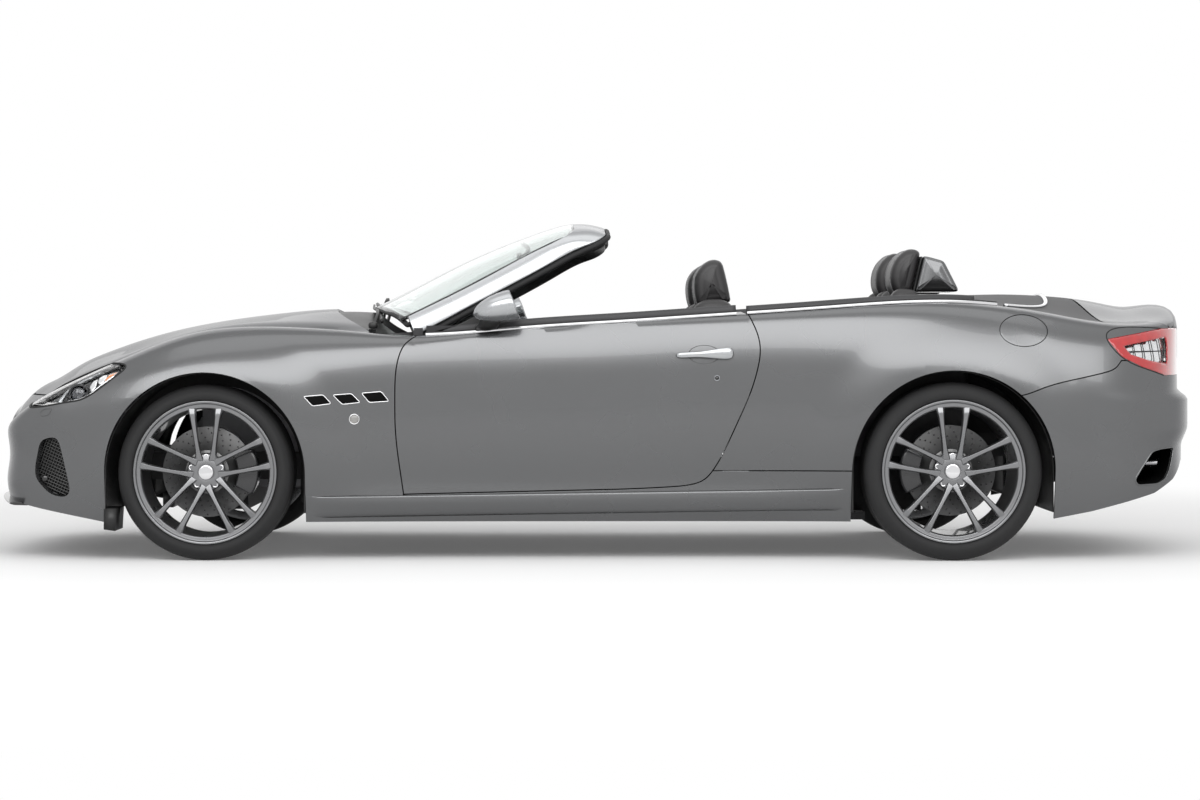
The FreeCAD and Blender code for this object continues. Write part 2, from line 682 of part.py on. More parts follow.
def exhaust_region(side):
    """Cut-out in the rear bumper round a pair of tail pipes."""
    half = PIPE_PITCH + PIPE_RADIUS + 2 * SHUT_GAP
    cut = box(0.85 * HALF_LENGTH, LENGTH, PIPE_Y - half, PIPE_Y + half,
              PIPE_Z - PIPE_RADIUS - 2 * SHUT_GAP, PIPE_Z + PIPE_RADIUS + 2 * SHUT_GAP)
    edges = [edge for edge in cut.Edges if abs(edge.tangentAt(edge.FirstParameter).x) > 0.9]
    cut = cut.makeFillet(0.6 * PIPE_RADIUS, edges)
    return cut if side == RIGHT else other_side(cut)


def rear_bumper():
    skin = tail_skin(SKIN).common(rear_bumper_region())
    ahead = box(0.0, REAR_AXLE_X, -FAR_Y, FAR_Y, 0.0, HEIGHT)
    tools = [ahead, exhaust_region(LEFT), exhaust_region(RIGHT)]
    tools += [REAR_ARCH, other_side(REAR_ARCH), TAIL_LAMP_REGION, other_side(TAIL_LAMP_REGION)]
    return largest_solid(cut_all(skin, tools))


def boot_lid():
    skin = deck_skin(SKIN)
    region = deck_region(
        LID_FRONT_X, LID_FRONT_BOW, LID_HALF_WIDTH, LENGTH, 0.0, SHUT_GAP)
    low = box(0.0, LENGTH, -FAR_Y, FAR_Y, 0.0, LID_BOTTOM_Z + SHUT_GAP)
    lamps = box(
        0.80 * HALF_LENGTH, LENGTH, 0.42 * HALF_WIDTH - SHUT_GAP, FAR_Y, 0.0,
        0.677 * HEIGHT + SHUT_GAP)
    return largest_solid(cut_all(skin.common(region), [low, lamps, other_side(lamps)]))


def soft_top_cover():
    skin = deck_skin(SKIN)
    region = deck_region(DECK_FRONT_X, DECK_FRONT_BOW, DECK_HALF_WIDTH - SHUT_GAP,
                         LID_FRONT_X, LID_FRONT_BOW, SHUT_GAP)
    return largest_solid(skin.common(region))


def sill_left():
    """Painted sill between the wheel openings, with the box section behind it."""
    skin_rows = [
        [reach_out(start, way, 0.0, WIDTH) for start, way in row]
        for row in side_rays(FRONT_AXLE_X, REAR_AXLE_X, -75.0, 30.0, (34, 16),
                             0.55 * HALF_WIDTH, 0.18 * HEIGHT)
    ]
    inner_rows = [[Vector(p.x, -SILL_INNER_Y, p.z) for p in row] for row in skin_rows]
    solid = solid_between(skin_rows, inner_rows)
    region = box(FRONT_AXLE_X, REAR_AXLE_X, -FAR_Y, 0.0, UNDERSIDE_Z, SILL_TOP_Z)
    under_fender = box(-LENGTH, DOOR_SHARES[7][0] * HALF_LENGTH, -FAR_Y, -DOOR_INNER_Y - SKIN,
                       FENDER_BOTTOM_Z - SEAT_GAP, HEIGHT)
    door_room = side_prism(door_edges(SHUT_GAP), -FAR_Y, -DOOR_INNER_Y + SEAT_GAP)
    tools = [FRONT_ARCH, REAR_ARCH, door_room, under_fender]
    return largest_solid(cut_all(solid.common(region), tools))


def door_left():
    rows = [
        [reach_out(start, way, 0.0, WIDTH) for start, way in row]
        for row in side_rays(DOOR_SHARES[4][0] * HALF_LENGTH - OVERRUN,
                             DOOR_SHARES[17][0] * HALF_LENGTH + OVERRUN, -76.0, 86.0, (30, 28),
                             DOOR_INNER_Y + SHUT_GAP, 0.38 * HEIGHT)
    ]
    inner_rows = [[Vector(p.x, -DOOR_INNER_Y, p.z) for p in row] for row in rows]
    solid = solid_between(rows, inner_rows)
    flange = side_prism(door_edges(0.0), -FAR_Y, -DOOR_FLANGE_Y)
    casing = side_prism(door_edges(-DOOR_STEP), -DOOR_FLANGE_Y, -DOOR_INNER_Y)
    return largest_solid(solid.common(flange.fuse(casing)))


SILL_TOP_Z = 350.0
PIPE_RADIUS = 48.0
PIPE_PITCH = 62.0
PIPE_Y = 574.3
PIPE_Z = 355.0
PIPE_LENGTH = 330.0
PIPE_END_X = 2330.0
SILENCER_LENGTH = 190.0
LID_FRONT_BOW = 60.0
FUEL_FLAP_X = 1665.0
FUEL_FLAP_Z = 905.0
FUEL_FLAP_HALF_LENGTH = 95.0
FUEL_FLAP_HALF_HEIGHT = 62.0


def flap_region(grow):
    ring = Part.Ellipse(Vector(), FUEL_FLAP_HALF_LENGTH + grow, FUEL_FLAP_HALF_HEIGHT + grow)
    wire = Part.Wire(ring.toShape())
    wire.rotate(Vector(), Vector(1, 0, 0), 90.0)
    wire.translate(Vector(FUEL_FLAP_X, -FAR_Y, FUEL_FLAP_Z))
    return Part.Face(wire).extrude(Vector(0, FAR_Y - 0.7 * HALF_WIDTH, 0))


FUEL_FLAP_REGION = flap_region(SHUT_GAP)
FLAP_OUT = 6.0


def filler_plate():
    """Base of the filler bowl, close behind the quarter panel and its flap."""
    rows = [
        [reach_out(start, way, 0.0, WIDTH) for start, way in row]
        for row in side_rays(FUEL_FLAP_X - 4 * OVERRUN, FUEL_FLAP_X + 4 * OVERRUN, 0.0, 84.0, (9, 12),
                             0.47 * HALF_WIDTH, 0.33 * HEIGHT)
    ]
    deep = SKIN + 2.5 * SEAT_GAP
    outer = [[p - outward(p) * deep for p in row] for row in rows]
    inner = [[p - outward(p) * (deep + SKIN) for p in row] for row in rows]
    return largest_solid(solid_between(outer, inner).common(flap_region(4 * SHUT_GAP)))


def flap_hinge():
    """Point and direction of the fuel flap's hinge line, just outside its front edge."""
    way = Vector(0, -math.cos(math.radians(FLAP_TURN)), math.sin(math.radians(FLAP_TURN)))
    start = Vector(FUEL_FLAP_X - FUEL_FLAP_HALF_LENGTH, -0.47 * HALF_WIDTH, 0.33 * HEIGHT)
    point = reach_out(start, way, 0.0, WIDTH)
    normal = outward(point)
    return point + normal * FLAP_OUT, normal.cross(Vector(1, 0, 0)).normalize()


FLAP_TURN = 46.0


def fuel_flap():
    return largest_solid(rear_side_skin(SKIN).common(flap_region(0.0)))


def headlamp_left():
    skin = skin_patch(
        side_rays(-0.965 * HALF_LENGTH, -0.74 * HALF_LENGTH, -10.0, 70.0, (20, 16),
                  0.47 * HALF_WIDTH, 0.38 * HEIGHT), 0.0, WIDTH, 3 * SKIN)
    return largest_solid(skin.common(side_region(HEADLAMP_SHARES, SEAT_GAP, 0.45)))


def tail_lamp_left():
    return largest_solid(tail_skin(SKIN).common(side_region(TAIL_LAMP_SHARES, SEAT_GAP, 0.42)))


def grille():
    """Dished set of upright bars behind the mouth, held by a ring round its edge."""
    depth = 150.0
    ring_width = 22.0
    bar_width = 9.0
    bar_depth = 26.0
    bar_count = 17
    edge_x = -0.98 * HALF_LENGTH
    mouth = grille_opening(-SEAT_GAP)
    inner = grille_opening(-ring_width)
    slab = box(edge_x, edge_x + depth, -FAR_Y, FAR_Y, 0.0, HEIGHT)
    body = mouth.cut(inner).common(slab)
    back = box(edge_x + depth - SKIN, edge_x + depth, -FAR_Y, FAR_Y, 0.0, HEIGHT)
    body = body.fuse(mouth.common(back))
    for y in places(-0.88 * GRILLE_HALF_WIDTH, 0.88 * GRILLE_HALF_WIDTH, bar_count):
        bar_x = edge_x + depth - SKIN - bar_depth
        bar = box(bar_x, edge_x + depth, y - bar_width / 2, y + bar_width / 2, 0.0, HEIGHT)
        body = body.fuse(bar.common(mouth))
    return largest_solid(body.removeSplitter())


def intake_mesh_left():
    """Dark mesh panel behind the side intake of the front bumper."""
    skin = skin_patch(
        end_rays(-0.59 * HALF_LENGTH, -1, 70.0, UNDERSIDE_Z, FRONT_SHUT_Z + 3 * SHUT_GAP, (31, 15)),
        0.0, WIDTH, 2 * SKIN)
    return largest_solid(skin.common(side_region(INTAKE_SHARES, SEAT_GAP, 0.60)))


def splitter():
    """Flat black lip under the front bumper."""
    edge = [
        Vector(nose_x(y, UNDERSIDE_Z) + 0.4 * OVERRUN, y, 0)
        for y in places(-0.78 * HALF_WIDTH, 0.78 * HALF_WIDTH, 13)
    ]
    back_x = FRONT_AXLE_X - FRONT_ARCH_RADIUS - SHUT_GAP
    corner_left = Vector(back_x, edge[0].y, 0)
    corner_right = Vector(back_x, edge[-1].y, 0)
    return plan_prism([
        smooth_edge(edge), Part.makeLine(edge[-1], corner_right),
        Part.makeLine(corner_right, corner_left), Part.makeLine(corner_left, edge[0]),
    ], UNDERSIDE_Z - SKIN - SEAT_GAP, UNDERSIDE_Z - SEAT_GAP)


# Wheels. Each is built on the right, its axis along Y and its middle plane at Y = 0.

def revolved(pairs, smooth=False):
    """Solid of revolution about the Y axis from (radius, y) pairs."""
    points = [Vector(r, y, 0) for r, y in pairs]
    wire = Part.Wire([smooth_edge(points + points[:1])]) if smooth else Part.makePolygon(
        points + points[:1])
    return Part.Face(Part.Wire(wire.Edges)).revolve(Vector(), Vector(0, 1, 0), 360.0)


def tyre(radius, width):
    half = width / 2
    shoulder = 0.40 * (radius - RIM_RADIUS)
    bead = RIM_BARREL + SEAT_GAP
    seat = half - 2 * RIM_FLANGE
    outline = [
        (bead, -seat), (RIM_RADIUS + 2 * SEAT_GAP, -seat), (RIM_RADIUS + RIM_FLANGE / 2, -half + 0.4 * RIM_FLANGE),
        ((radius + RIM_RADIUS) / 2, -half), (radius - shoulder, -half + 0.06 * width),
        (radius, -half + 0.16 * width), (radius, half - 0.16 * width),
        (radius - shoulder, half - 0.06 * width), ((radius + RIM_RADIUS) / 2, half),
        (RIM_RADIUS + RIM_FLANGE / 2, half - 0.4 * RIM_FLANGE), (RIM_RADIUS + 2 * SEAT_GAP, seat), (bead, seat),
    ]
    return revolved(outline)


def rim(width):
    half = width / 2
    face = half - 1.2 * RIM_FLANGE
    seat = half - 2 * RIM_FLANGE
    barrel_in = RIM_BARREL - 0.75 * RIM_FLANGE
    outline = [
        (barrel_in, -half + RIM_FLANGE), (RIM_RADIUS, -half + RIM_FLANGE),
        (RIM_RADIUS, -seat - SEAT_GAP), (RIM_BARREL, -seat - SEAT_GAP), (RIM_BARREL, seat + SEAT_GAP),
        (RIM_RADIUS, seat + SEAT_GAP), (RIM_RADIUS, half - RIM_FLANGE), (RIM_RADIUS - RIM_FLANGE, face),
        (barrel_in, face - 0.1 * SPOKE_DEPTH),
    ]
    wheel = revolved(outline)
    hub = revolved([
        (STUB_RADIUS + RUNNING_GAP, MOUNT_FACE), (HUB_RADIUS, MOUNT_FACE),
        (HUB_RADIUS, face - 1.5 * SPOKE_DEPTH), (0.75 * HUB_RADIUS, face - SPOKE_DEPTH),
        (0.0, face - SPOKE_DEPTH), (0.0, STUB_END + RUNNING_GAP), (STUB_RADIUS + RUNNING_GAP, STUB_END + RUNNING_GAP),
    ])
    wheel = wheel.fuse(hub)
    for pair in range(SPOKE_PAIRS):
        for lean in (-1, 1):
            wheel = wheel.fuse(spoke(face, 90.0 + pair * 360.0 / SPOKE_PAIRS, lean))
    return largest_solid(wheel)


def spoke(face, turn, lean):
    """One spoke of a pair: a tapering bar that leans away from the pair's middle line."""
    inner_r = 0.60 * HUB_RADIUS
    outer_r = RIM_BARREL - RIM_FLANGE
    rows = []
    for r, off, wide, front, deep in (
        (inner_r, 0.28 * HUB_RADIUS, 15.0, face - 0.8 * SPOKE_DEPTH, 1.0),
        (0.5 * (inner_r + outer_r), 0.50 * HUB_RADIUS, 13.0, face - 0.25 * SPOKE_DEPTH, 1.0),
        (outer_r, 0.74 * HUB_RADIUS, 15.0, face - 0.22 * SPOKE_DEPTH, 0.9),
    ):
        back = front - deep * SPOKE_DEPTH
        corners = [
            Vector(r, back, off * lean - wide), Vector(r, front, off * lean - 0.8 * wide),
            Vector(r, front, off * lean + 0.8 * wide), Vector(r, back, off * lean + wide),
        ]
        rows.append(Part.makePolygon(corners + corners[:1]))
    bar = Part.makeLoft(rows, True, True)
    bar.rotate(Vector(), Vector(0, 1, 0), -turn)
    return bar


def brake_disc():
    """Vented disc with its hat, which bolts to the wheel's mounting face."""
    disc_in = DISC_FACE - DISC_THICKNESS
    return revolved([
        (STUB_RADIUS + RUNNING_GAP, MOUNT_FACE - SEAT_GAP), (HAT_RADIUS, MOUNT_FACE - SEAT_GAP),
        (HAT_RADIUS, DISC_FACE), (DISC_RADIUS, DISC_FACE), (DISC_RADIUS, disc_in),
        (HAT_RADIUS - SKIN, disc_in), (HAT_RADIUS - SKIN, MOUNT_FACE - SKIN),
        (STUB_RADIUS + RUNNING_GAP, MOUNT_FACE - SKIN),
    ])


def caliper(turn):
    """Fixed caliper: an arched block over the disc's edge, slotted for the disc."""
    inner_r = 0.66 * DISC_RADIUS
    outer_r = DISC_RADIUS + 1.6 * SKIN
    half_turn = 27.0
    front = DISC_FACE + 2 * SKIN
    back = DISC_FACE - DISC_THICKNESS - 2 * SKIN
    block = revolved([(inner_r, back), (outer_r, back), (outer_r, front), (inner_r, front)])
    slot = revolved([
        (0.0, DISC_FACE - DISC_THICKNESS - BRAKE_GAP), (DISC_RADIUS + BRAKE_GAP, DISC_FACE - DISC_THICKNESS - BRAKE_GAP),
        (DISC_RADIUS + BRAKE_GAP, DISC_FACE + BRAKE_GAP), (0.0, DISC_FACE + BRAKE_GAP),
    ])
    reach = 4 * DISC_RADIUS
    wedge = Part.makePolygon([
        Vector(), Vector(reach, 0, reach * math.tan(math.radians(half_turn))),
        Vector(reach, 0, -reach * math.tan(math.radians(half_turn))), Vector(),
    ])
    wedge = Part.Face(wedge).extrude(Vector(0, front - back, 0))
    wedge.translate(Vector(0, back, 0))
    body = block.cut(slot).common(wedge)
    body.rotate(Vector(), Vector(0, 1, 0), -turn)
    return largest_solid(body)


STUB_RADIUS = 28.0
STUB_END = 52.0
RUNNING_GAP = 0.6
BRAKE_GAP = 0.8
MOUNT_FACE = 32.0
DISC_FACE = 8.0
HAT_RADIUS = 88.0
SPOKE_PAIRS = 5
STEER_OFFSET = 45.0
BALL_RADIUS = 20.0
LOWER_BALL_Z = 200.0
UPPER_BALL_Z = 590.0


def placed_wheel(shape, axle_x, half_track, hub_z, side):
    """Move a wheel part from its own frame to a corner of the car; left ones are mirrored."""
    shape = shape if side == RIGHT else other_side(shape)
    return shape.translated(Vector(axle_x, side * half_track, hub_z))


# Chassis

RAIL_Y = 380.0
RAIL_WIDTH = 70.0
RAIL_HEIGHT = 110.0
REAR_RAIL_HEIGHT = 95.0
RAIL_Z = 300.0
TOW_THREAD_RADIUS = 8.0
TOW_THREAD_LENGTH = 50.0
TOW_THREAD_Y = 330.0
TOW_HOLE_RADIUS = 26.0
FIREWALL_X = -960.0
FIREWALL_THICKNESS = 40.0
HEEL_X = 1060.0
BULKHEAD_TOP_Z = 900.0
CABIN_FLOOR_Z = UNDERSIDE_Z + FLOOR_THICKNESS
TUNNEL_WIDTH = 230.0
TUNNEL_HEIGHT = 190.0
BOOT_FLOOR_Z = 490.0
BOOT_HALF_WIDTH = 480.0
BOOT_REAR_X = 2290.0
BOOT_WALL = 20.0


def floor_pan():
    """Cabin floor between the sills, with the tunnel down its middle."""
    y = SILL_INNER_Y - SEAT_GAP
    plate = box(FIREWALL_X, HEEL_X, -y, y, UNDERSIDE_Z, CABIN_FLOOR_Z)
    return plate


def tunnel():
    top = CABIN_FLOOR_Z + TUNNEL_HEIGHT
    body = box(FIREWALL_X + FIREWALL_THICKNESS + SEAT_GAP, REAR_SEAT_X - SEAT_GAP, -TUNNEL_WIDTH / 2,
               TUNNEL_WIDTH / 2, CABIN_FLOOR_Z + SEAT_GAP, top)
    edges = [e for e in body.Edges if e.Length > TUNNEL_WIDTH * 2 and e.BoundBox.ZMin > top - 1]
    return body.makeFillet(TUNNEL_WIDTH / 5, edges)


def firewall():
    """Wall between the engine and the cabin, with the two stops that carry the bonnet."""
    y = SILL_INNER_Y - SEAT_GAP
    body = box(FIREWALL_X, FIREWALL_X + FIREWALL_THICKNESS, -y, y, CABIN_FLOOR_Z + SEAT_GAP,
               FIREWALL_TOP_Z)
    shelf = box(FIREWALL_X - 3 * OVERRUN, FIREWALL_X, -y, y, FIREWALL_TOP_Z - FIREWALL_THICKNESS,
                FIREWALL_TOP_Z)
    body = body.fuse(shelf)
    for side in (LEFT, RIGHT):
        stop = stop_under(FIREWALL_X - 2 * OVERRUN, side * 0.8 * y,
                          FIREWALL_TOP_Z - FIREWALL_THICKNESS / 2)
        body = body.fuse(stop)
    return largest_solid(body)


def hinge_pillar_left():
    """Closed section ahead of the door, and the foot under the windscreen pillar."""
    rear_x = DOOR_SHARES[4][0] * HALF_LENGTH - 2 * SHUT_GAP
    body = box(FIREWALL_X, rear_x, -PILLAR_OUTER_Y, -SILL_INNER_Y, SILL_TOP_Z + SEAT_GAP,
               FIREWALL_TOP_Z)
    inner = box(rear_x - SKIN, rear_x + PILLAR_FOOT, -SCREEN_BASE_Y, -SILL_INNER_Y,
                SILL_TOP_Z + SEAT_GAP, FIREWALL_TOP_Z)
    foot = box(SCREEN_PILLAR_SHARES[0][0] * HALF_LENGTH - SHUT_GAP, rear_x + PILLAR_FOOT,
               -SCREEN_BASE_Y, -SILL_INNER_Y - 4 * SEAT_GAP, FIREWALL_TOP_Z - SKIN,
               FIREWALL_TOP_Z + 2 * FRAME_THICKNESS)
    return largest_solid(body.fuse([inner, foot]).cut(windscreen_frame()))


def seat_box():
    """Step up from the cabin floor to the rear seat, and the bulkhead behind the seat."""
    y = REAR_TUB_HALF_WIDTH
    return box(REAR_SEAT_X, REAR_BULKHEAD_X, -y, y, CABIN_FLOOR_Z + SEAT_GAP, REAR_SEAT_Z)


def rear_bulkhead():
    y = REAR_TUB_HALF_WIDTH
    body = box(REAR_BULKHEAD_X + SEAT_GAP, REAR_BULKHEAD_X + FIREWALL_THICKNESS, -y, y,
               BOOT_FLOOR_Z, BULKHEAD_TOP_Z)
    return body


def bulkheads():
    return Part.makeCompound([firewall(), rear_bulkhead()])


def boot_tub():
    outer = box(REAR_BULKHEAD_X + FIREWALL_THICKNESS + SEAT_GAP, BOOT_REAR_X, -BOOT_HALF_WIDTH,
                BOOT_HALF_WIDTH, BOOT_FLOOR_Z, BOOT_TOP_Z)
    inner = box(REAR_BULKHEAD_X + FIREWALL_THICKNESS + BOOT_WALL, BOOT_REAR_X - BOOT_WALL,
                -BOOT_HALF_WIDTH + BOOT_WALL, BOOT_HALF_WIDTH - BOOT_WALL,
                BOOT_FLOOR_Z + BOOT_WALL, 2 * BOOT_TOP_Z)
    tub = outer.cut(inner)
    wall_y = BOOT_HALF_WIDTH - BOOT_WALL / 2
    for side in (LEFT, RIGHT):
        for x in (0.5 * (DECK_FRONT_X + LID_FRONT_X), LID_FRONT_X + 2 * OVERRUN):
            tub = tub.fuse(stop_under(x, side * wall_y, BOOT_TOP_Z - BOOT_WALL))
    return largest_solid(tub)


def front_rails():
    """Two longitudinal rails ahead of the firewall and the crash beam across their front."""
    front_x = -HALF_LENGTH + NOSE_ROOM
    left = box(front_x, FIREWALL_X - SEAT_GAP, -RAIL_Y - RAIL_WIDTH, -RAIL_Y, RAIL_Z, RAIL_Z + RAIL_HEIGHT)
    beam = box(front_x - RAIL_WIDTH, front_x, -GRILLE_HALF_WIDTH, GRILLE_HALF_WIDTH,
               RAIL_Z, RAIL_Z + RAIL_HEIGHT)
    thread = Part.makeCylinder(
        TOW_THREAD_RADIUS, TOW_THREAD_LENGTH,
        Vector(front_x - RAIL_WIDTH, TOW_THREAD_Y, RAIL_Z + RAIL_HEIGHT / 2), Vector(1, 0, 0))
    return left.fuse([other_side(left), beam]).removeSplitter().cut(thread)


def rear_rails():
    rear_x = HALF_LENGTH - TAIL_ROOM
    left = box(REAR_BULKHEAD_X + SEAT_GAP, rear_x, -RAIL_Y - RAIL_WIDTH, -RAIL_Y,
               BOOT_FLOOR_Z - REAR_RAIL_HEIGHT, BOOT_FLOOR_Z - SEAT_GAP)
    beam = box(rear_x, rear_x + RAIL_WIDTH, -RAIL_Y - RAIL_WIDTH, RAIL_Y + RAIL_WIDTH,
               BOOT_FLOOR_Z - REAR_RAIL_HEIGHT, BOOT_FLOOR_Z - SEAT_GAP)
    return left.fuse(other_side(left)).fuse(beam)


def chassis_rails():
    return Part.makeCompound([front_rails(), rear_rails()])


def stop_under(x, y, base_z):
    """Rubber stop that stands from a base up to just under the top skin."""
    top = reach_out(Vector(x, y, 0.5 * HEIGHT), Vector(0, 0, 1), 0.0, HEIGHT)
    height = top.z - SKIN / outward(top).z - 6 * SEAT_GAP - base_z
    return Part.makeCylinder(STOP_RADIUS, height, Vector(x, y, base_z))


STOP_RADIUS = 4.0


def engine_block():
    return box(ENGINE_FRONT_X, FIREWALL_X - 2 * SHUT_GAP, -ENGINE_HALF_WIDTH, ENGINE_HALF_WIDTH,
               ENGINE_BOTTOM_Z, ENGINE_TOP_Z)


def rod(start, end, radius):
    way = end - start
    return Part.makeCylinder(radius, way.Length, start, way)


def front_suspension():
    """Crossmember with an upper and a lower pair of links to each knuckle's ball joints."""
    cross = box(FRONT_AXLE_X - CROSS_HALF, FRONT_AXLE_X + CROSS_HALF, -RAIL_Y, RAIL_Y,
                ENGINE_BOTTOM_Z - 1.2 * RAIL_WIDTH, ENGINE_BOTTOM_Z - SEAT_GAP)
    lift = box(FRONT_AXLE_X - CROSS_HALF, FRONT_AXLE_X + CROSS_HALF, RAIL_Y - SEAT_GAP,
               RAIL_Y + RAIL_WIDTH, ENGINE_BOTTOM_Z - 1.2 * RAIL_WIDTH, RAIL_Z - SEAT_GAP)
    body = cross.fuse(lift).fuse(other_side(lift))
    steer_y = FRONT_TRACK / 2 - STEER_OFFSET
    for side in (LEFT, RIGHT):
        ball = Vector(FRONT_AXLE_X, side * steer_y, LOWER_BALL_Z - BALL_RADIUS)
        boss = Part.makeCylinder(BALL_RADIUS, 1.2 * BALL_RADIUS, ball - Vector(0, 0, 0.6 * BALL_RADIUS))
        body = body.fuse(boss)
        for ahead in (-1, 1):
            root_point = Vector(FRONT_AXLE_X + ahead * 0.8 * CROSS_HALF, side * RAIL_Y,
                                ENGINE_BOTTOM_Z - 0.6 * RAIL_WIDTH)
            body = body.fuse(rod(root_point, ball, 0.5 * BALL_RADIUS))
    return largest_solid(body)


def knuckle_front():
    """Upright on the right: stub axle, body plate and the boss that seats on the ball joint."""
    plate_y = DISC_FACE - DISC_THICKNESS - 2.2 * BALL_RADIUS
    stub = cross_cylinder(0.0, 0.0, STUB_RADIUS, plate_y, STUB_END)
    flange = cross_cylinder(0.0, 0.0, 0.7 * HUB_RADIUS, plate_y - SKIN, plate_y + SKIN)
    arm = box(-BALL_RADIUS, BALL_RADIUS, plate_y - SKIN, plate_y + SKIN,
              LOWER_BALL_Z + 0.2 * BALL_RADIUS - FRONT_TYRE_RADIUS, 0.6 * HUB_RADIUS)
    boss_z = LOWER_BALL_Z - 0.4 * BALL_RADIUS + RUNNING_GAP - FRONT_TYRE_RADIUS
    boss = Part.makeCylinder(0.9 * BALL_RADIUS, 1.6 * BALL_RADIUS, Vector(0, -STEER_OFFSET, boss_z))
    ear = box(-HUB_RADIUS - 3 * BALL_RADIUS, 0.0, plate_y - SKIN, plate_y + SKIN, -BALL_RADIUS, BALL_RADIUS)
    ear.rotate(Vector(), Vector(0, 1, 0), 180.0)
    link = rod(Vector(0, -STEER_OFFSET, boss_z + BALL_RADIUS), Vector(0, plate_y, boss_z + BALL_RADIUS), 0.8 * BALL_RADIUS)
    return largest_solid(stub.fuse([flange, arm, boss, ear, link]))


def knuckle_rear():
    plate_y = DISC_FACE - DISC_THICKNESS - 2.2 * BALL_RADIUS
    stub = cross_cylinder(0.0, 0.0, STUB_RADIUS, plate_y - SKIN, STUB_END)
    flange = cross_cylinder(0.0, 0.0, HUB_RADIUS, plate_y - SKIN, plate_y + SKIN)
    ear = box(-HUB_RADIUS - 3 * BALL_RADIUS, 0.0, plate_y - SKIN, plate_y + SKIN, -BALL_RADIUS, BALL_RADIUS)
    return largest_solid(stub.fuse([flange, ear]))


def rear_suspension():
    """Rear subframe with its links, knuckles, differential housing and half shafts."""
    cross = box(REAR_AXLE_X - REAR_CROSS_HALF, REAR_AXLE_X + REAR_CROSS_HALF, -RAIL_Y, RAIL_Y,
                REAR_TYRE_RADIUS - RAIL_WIDTH, REAR_TYRE_RADIUS - SEAT_GAP)
    diff = Part.makeSphere(1.1 * RAIL_WIDTH, Vector(REAR_AXLE_X, 0, REAR_TYRE_RADIUS - 0.4 * RAIL_WIDTH))
    shaft = rod(Vector(REAR_AXLE_X, -REAR_TRACK / 2 + STEER_OFFSET, REAR_TYRE_RADIUS),
                Vector(REAR_AXLE_X, REAR_TRACK / 2 - STEER_OFFSET, REAR_TYRE_RADIUS), BALL_RADIUS)
    body = cross.fuse([diff, shaft])
    for side in (LEFT, RIGHT):
        post_y = side * (RAIL_Y + RAIL_WIDTH / 4)
        body = body.fuse(box(
            REAR_AXLE_X - REAR_CROSS_HALF, REAR_AXLE_X + REAR_CROSS_HALF,
            post_y - RAIL_WIDTH / 2, post_y + RAIL_WIDTH / 2, REAR_TYRE_RADIUS - RAIL_WIDTH,
            BOOT_FLOOR_Z - REAR_RAIL_HEIGHT - SEAT_GAP))
        body = body.fuse(placed_wheel(knuckle_rear(), REAR_AXLE_X, REAR_TRACK / 2, REAR_TYRE_RADIUS, side))
        outer = Vector(REAR_AXLE_X, side * (REAR_TRACK / 2 - 3.6 * BALL_RADIUS), REAR_TYRE_RADIUS - HUB_RADIUS)
        for ahead in (-1, 1):
            inner = Vector(REAR_AXLE_X + ahead * 0.8 * REAR_CROSS_HALF, side * 0.9 * RAIL_Y, REAR_TYRE_RADIUS - 0.6 * RAIL_WIDTH)
            body = body.fuse(rod(inner, outer, 0.6 * BALL_RADIUS))
    return largest_solid(body)


NOSE_ROOM = 290.0
TAIL_ROOM = 190.0
CROSS_HALF = 120.0
REAR_CROSS_HALF = 80.0
ENGINE_FRONT_X = -1640.0
ENGINE_HALF_WIDTH = 300.0
ENGINE_BOTTOM_Z = 262.0
ENGINE_TOP_Z = 780.0
FIREWALL_TOP_Z = 840.0
PILLAR_OUTER_Y = 840.0
PILLAR_FOOT = 110.0
REAR_SEAT_X = 700.0
REAR_SEAT_Z = 400.0
REAR_BULKHEAD_X = 1300.0
REAR_TUB_HALF_WIDTH = 560.0
BOOT_TOP_Z = 860.0


# Cabin

SEAT_Y = 375.0
SEAT_HALF_WIDTH = 255.0
SEAT_BASE_Z = 260.0
CUSHION_THICKNESS = 170.0
FRONT_SEAT_X = -160.0
CUSHION_LENGTH = 520.0
SEAT_BACK_HEIGHT = 680.0
SEAT_BACK_THICKNESS = 150.0
SEAT_BACK_LEAN = 22.0
DASH_REAR_X = -520.0
DASH_BOW = 508.0
DASH_TOP_Z = 900.0
DASH_DEPTH = 260.0
STEERING_WHEEL_X = -330.0
STEERING_WHEEL_Y = -370.0
STEERING_WHEEL_Z = 885.0
STEERING_WHEEL_RADIUS = 185.0
STEERING_WHEEL_TILT = 22.0
RIM_GRIP_RADIUS = 15.0
HEADREST_HALF_WIDTH = 135.0
HEADREST_HEIGHT = 210.0
HEADREST_THICKNESS = 90.0


def rounded_box(x_low, x_high, y_low, y_high, z_low, z_high, radius):
    body = box(x_low, x_high, y_low, y_high, z_low, z_high)
    return body.makeFillet(radius, body.Edges)


def seat_cushion():
    middle_y = -SEAT_Y
    z = SEAT_BASE_Z + SEAT_GAP
    return rounded_box(FRONT_SEAT_X - CUSHION_LENGTH / 2, FRONT_SEAT_X + CUSHION_LENGTH / 2,
                       middle_y - SEAT_HALF_WIDTH, middle_y + SEAT_HALF_WIDTH, z,
                       z + CUSHION_THICKNESS, CUSHION_THICKNESS / 3)


def seat_base():
    middle_y = -SEAT_Y
    return box(FRONT_SEAT_X - 0.4 * CUSHION_LENGTH, FRONT_SEAT_X + 0.4 * CUSHION_LENGTH,
               middle_y - 0.8 * SEAT_HALF_WIDTH, middle_y + 0.8 * SEAT_HALF_WIDTH,
               CABIN_FLOOR_Z + SEAT_GAP, SEAT_BASE_Z)


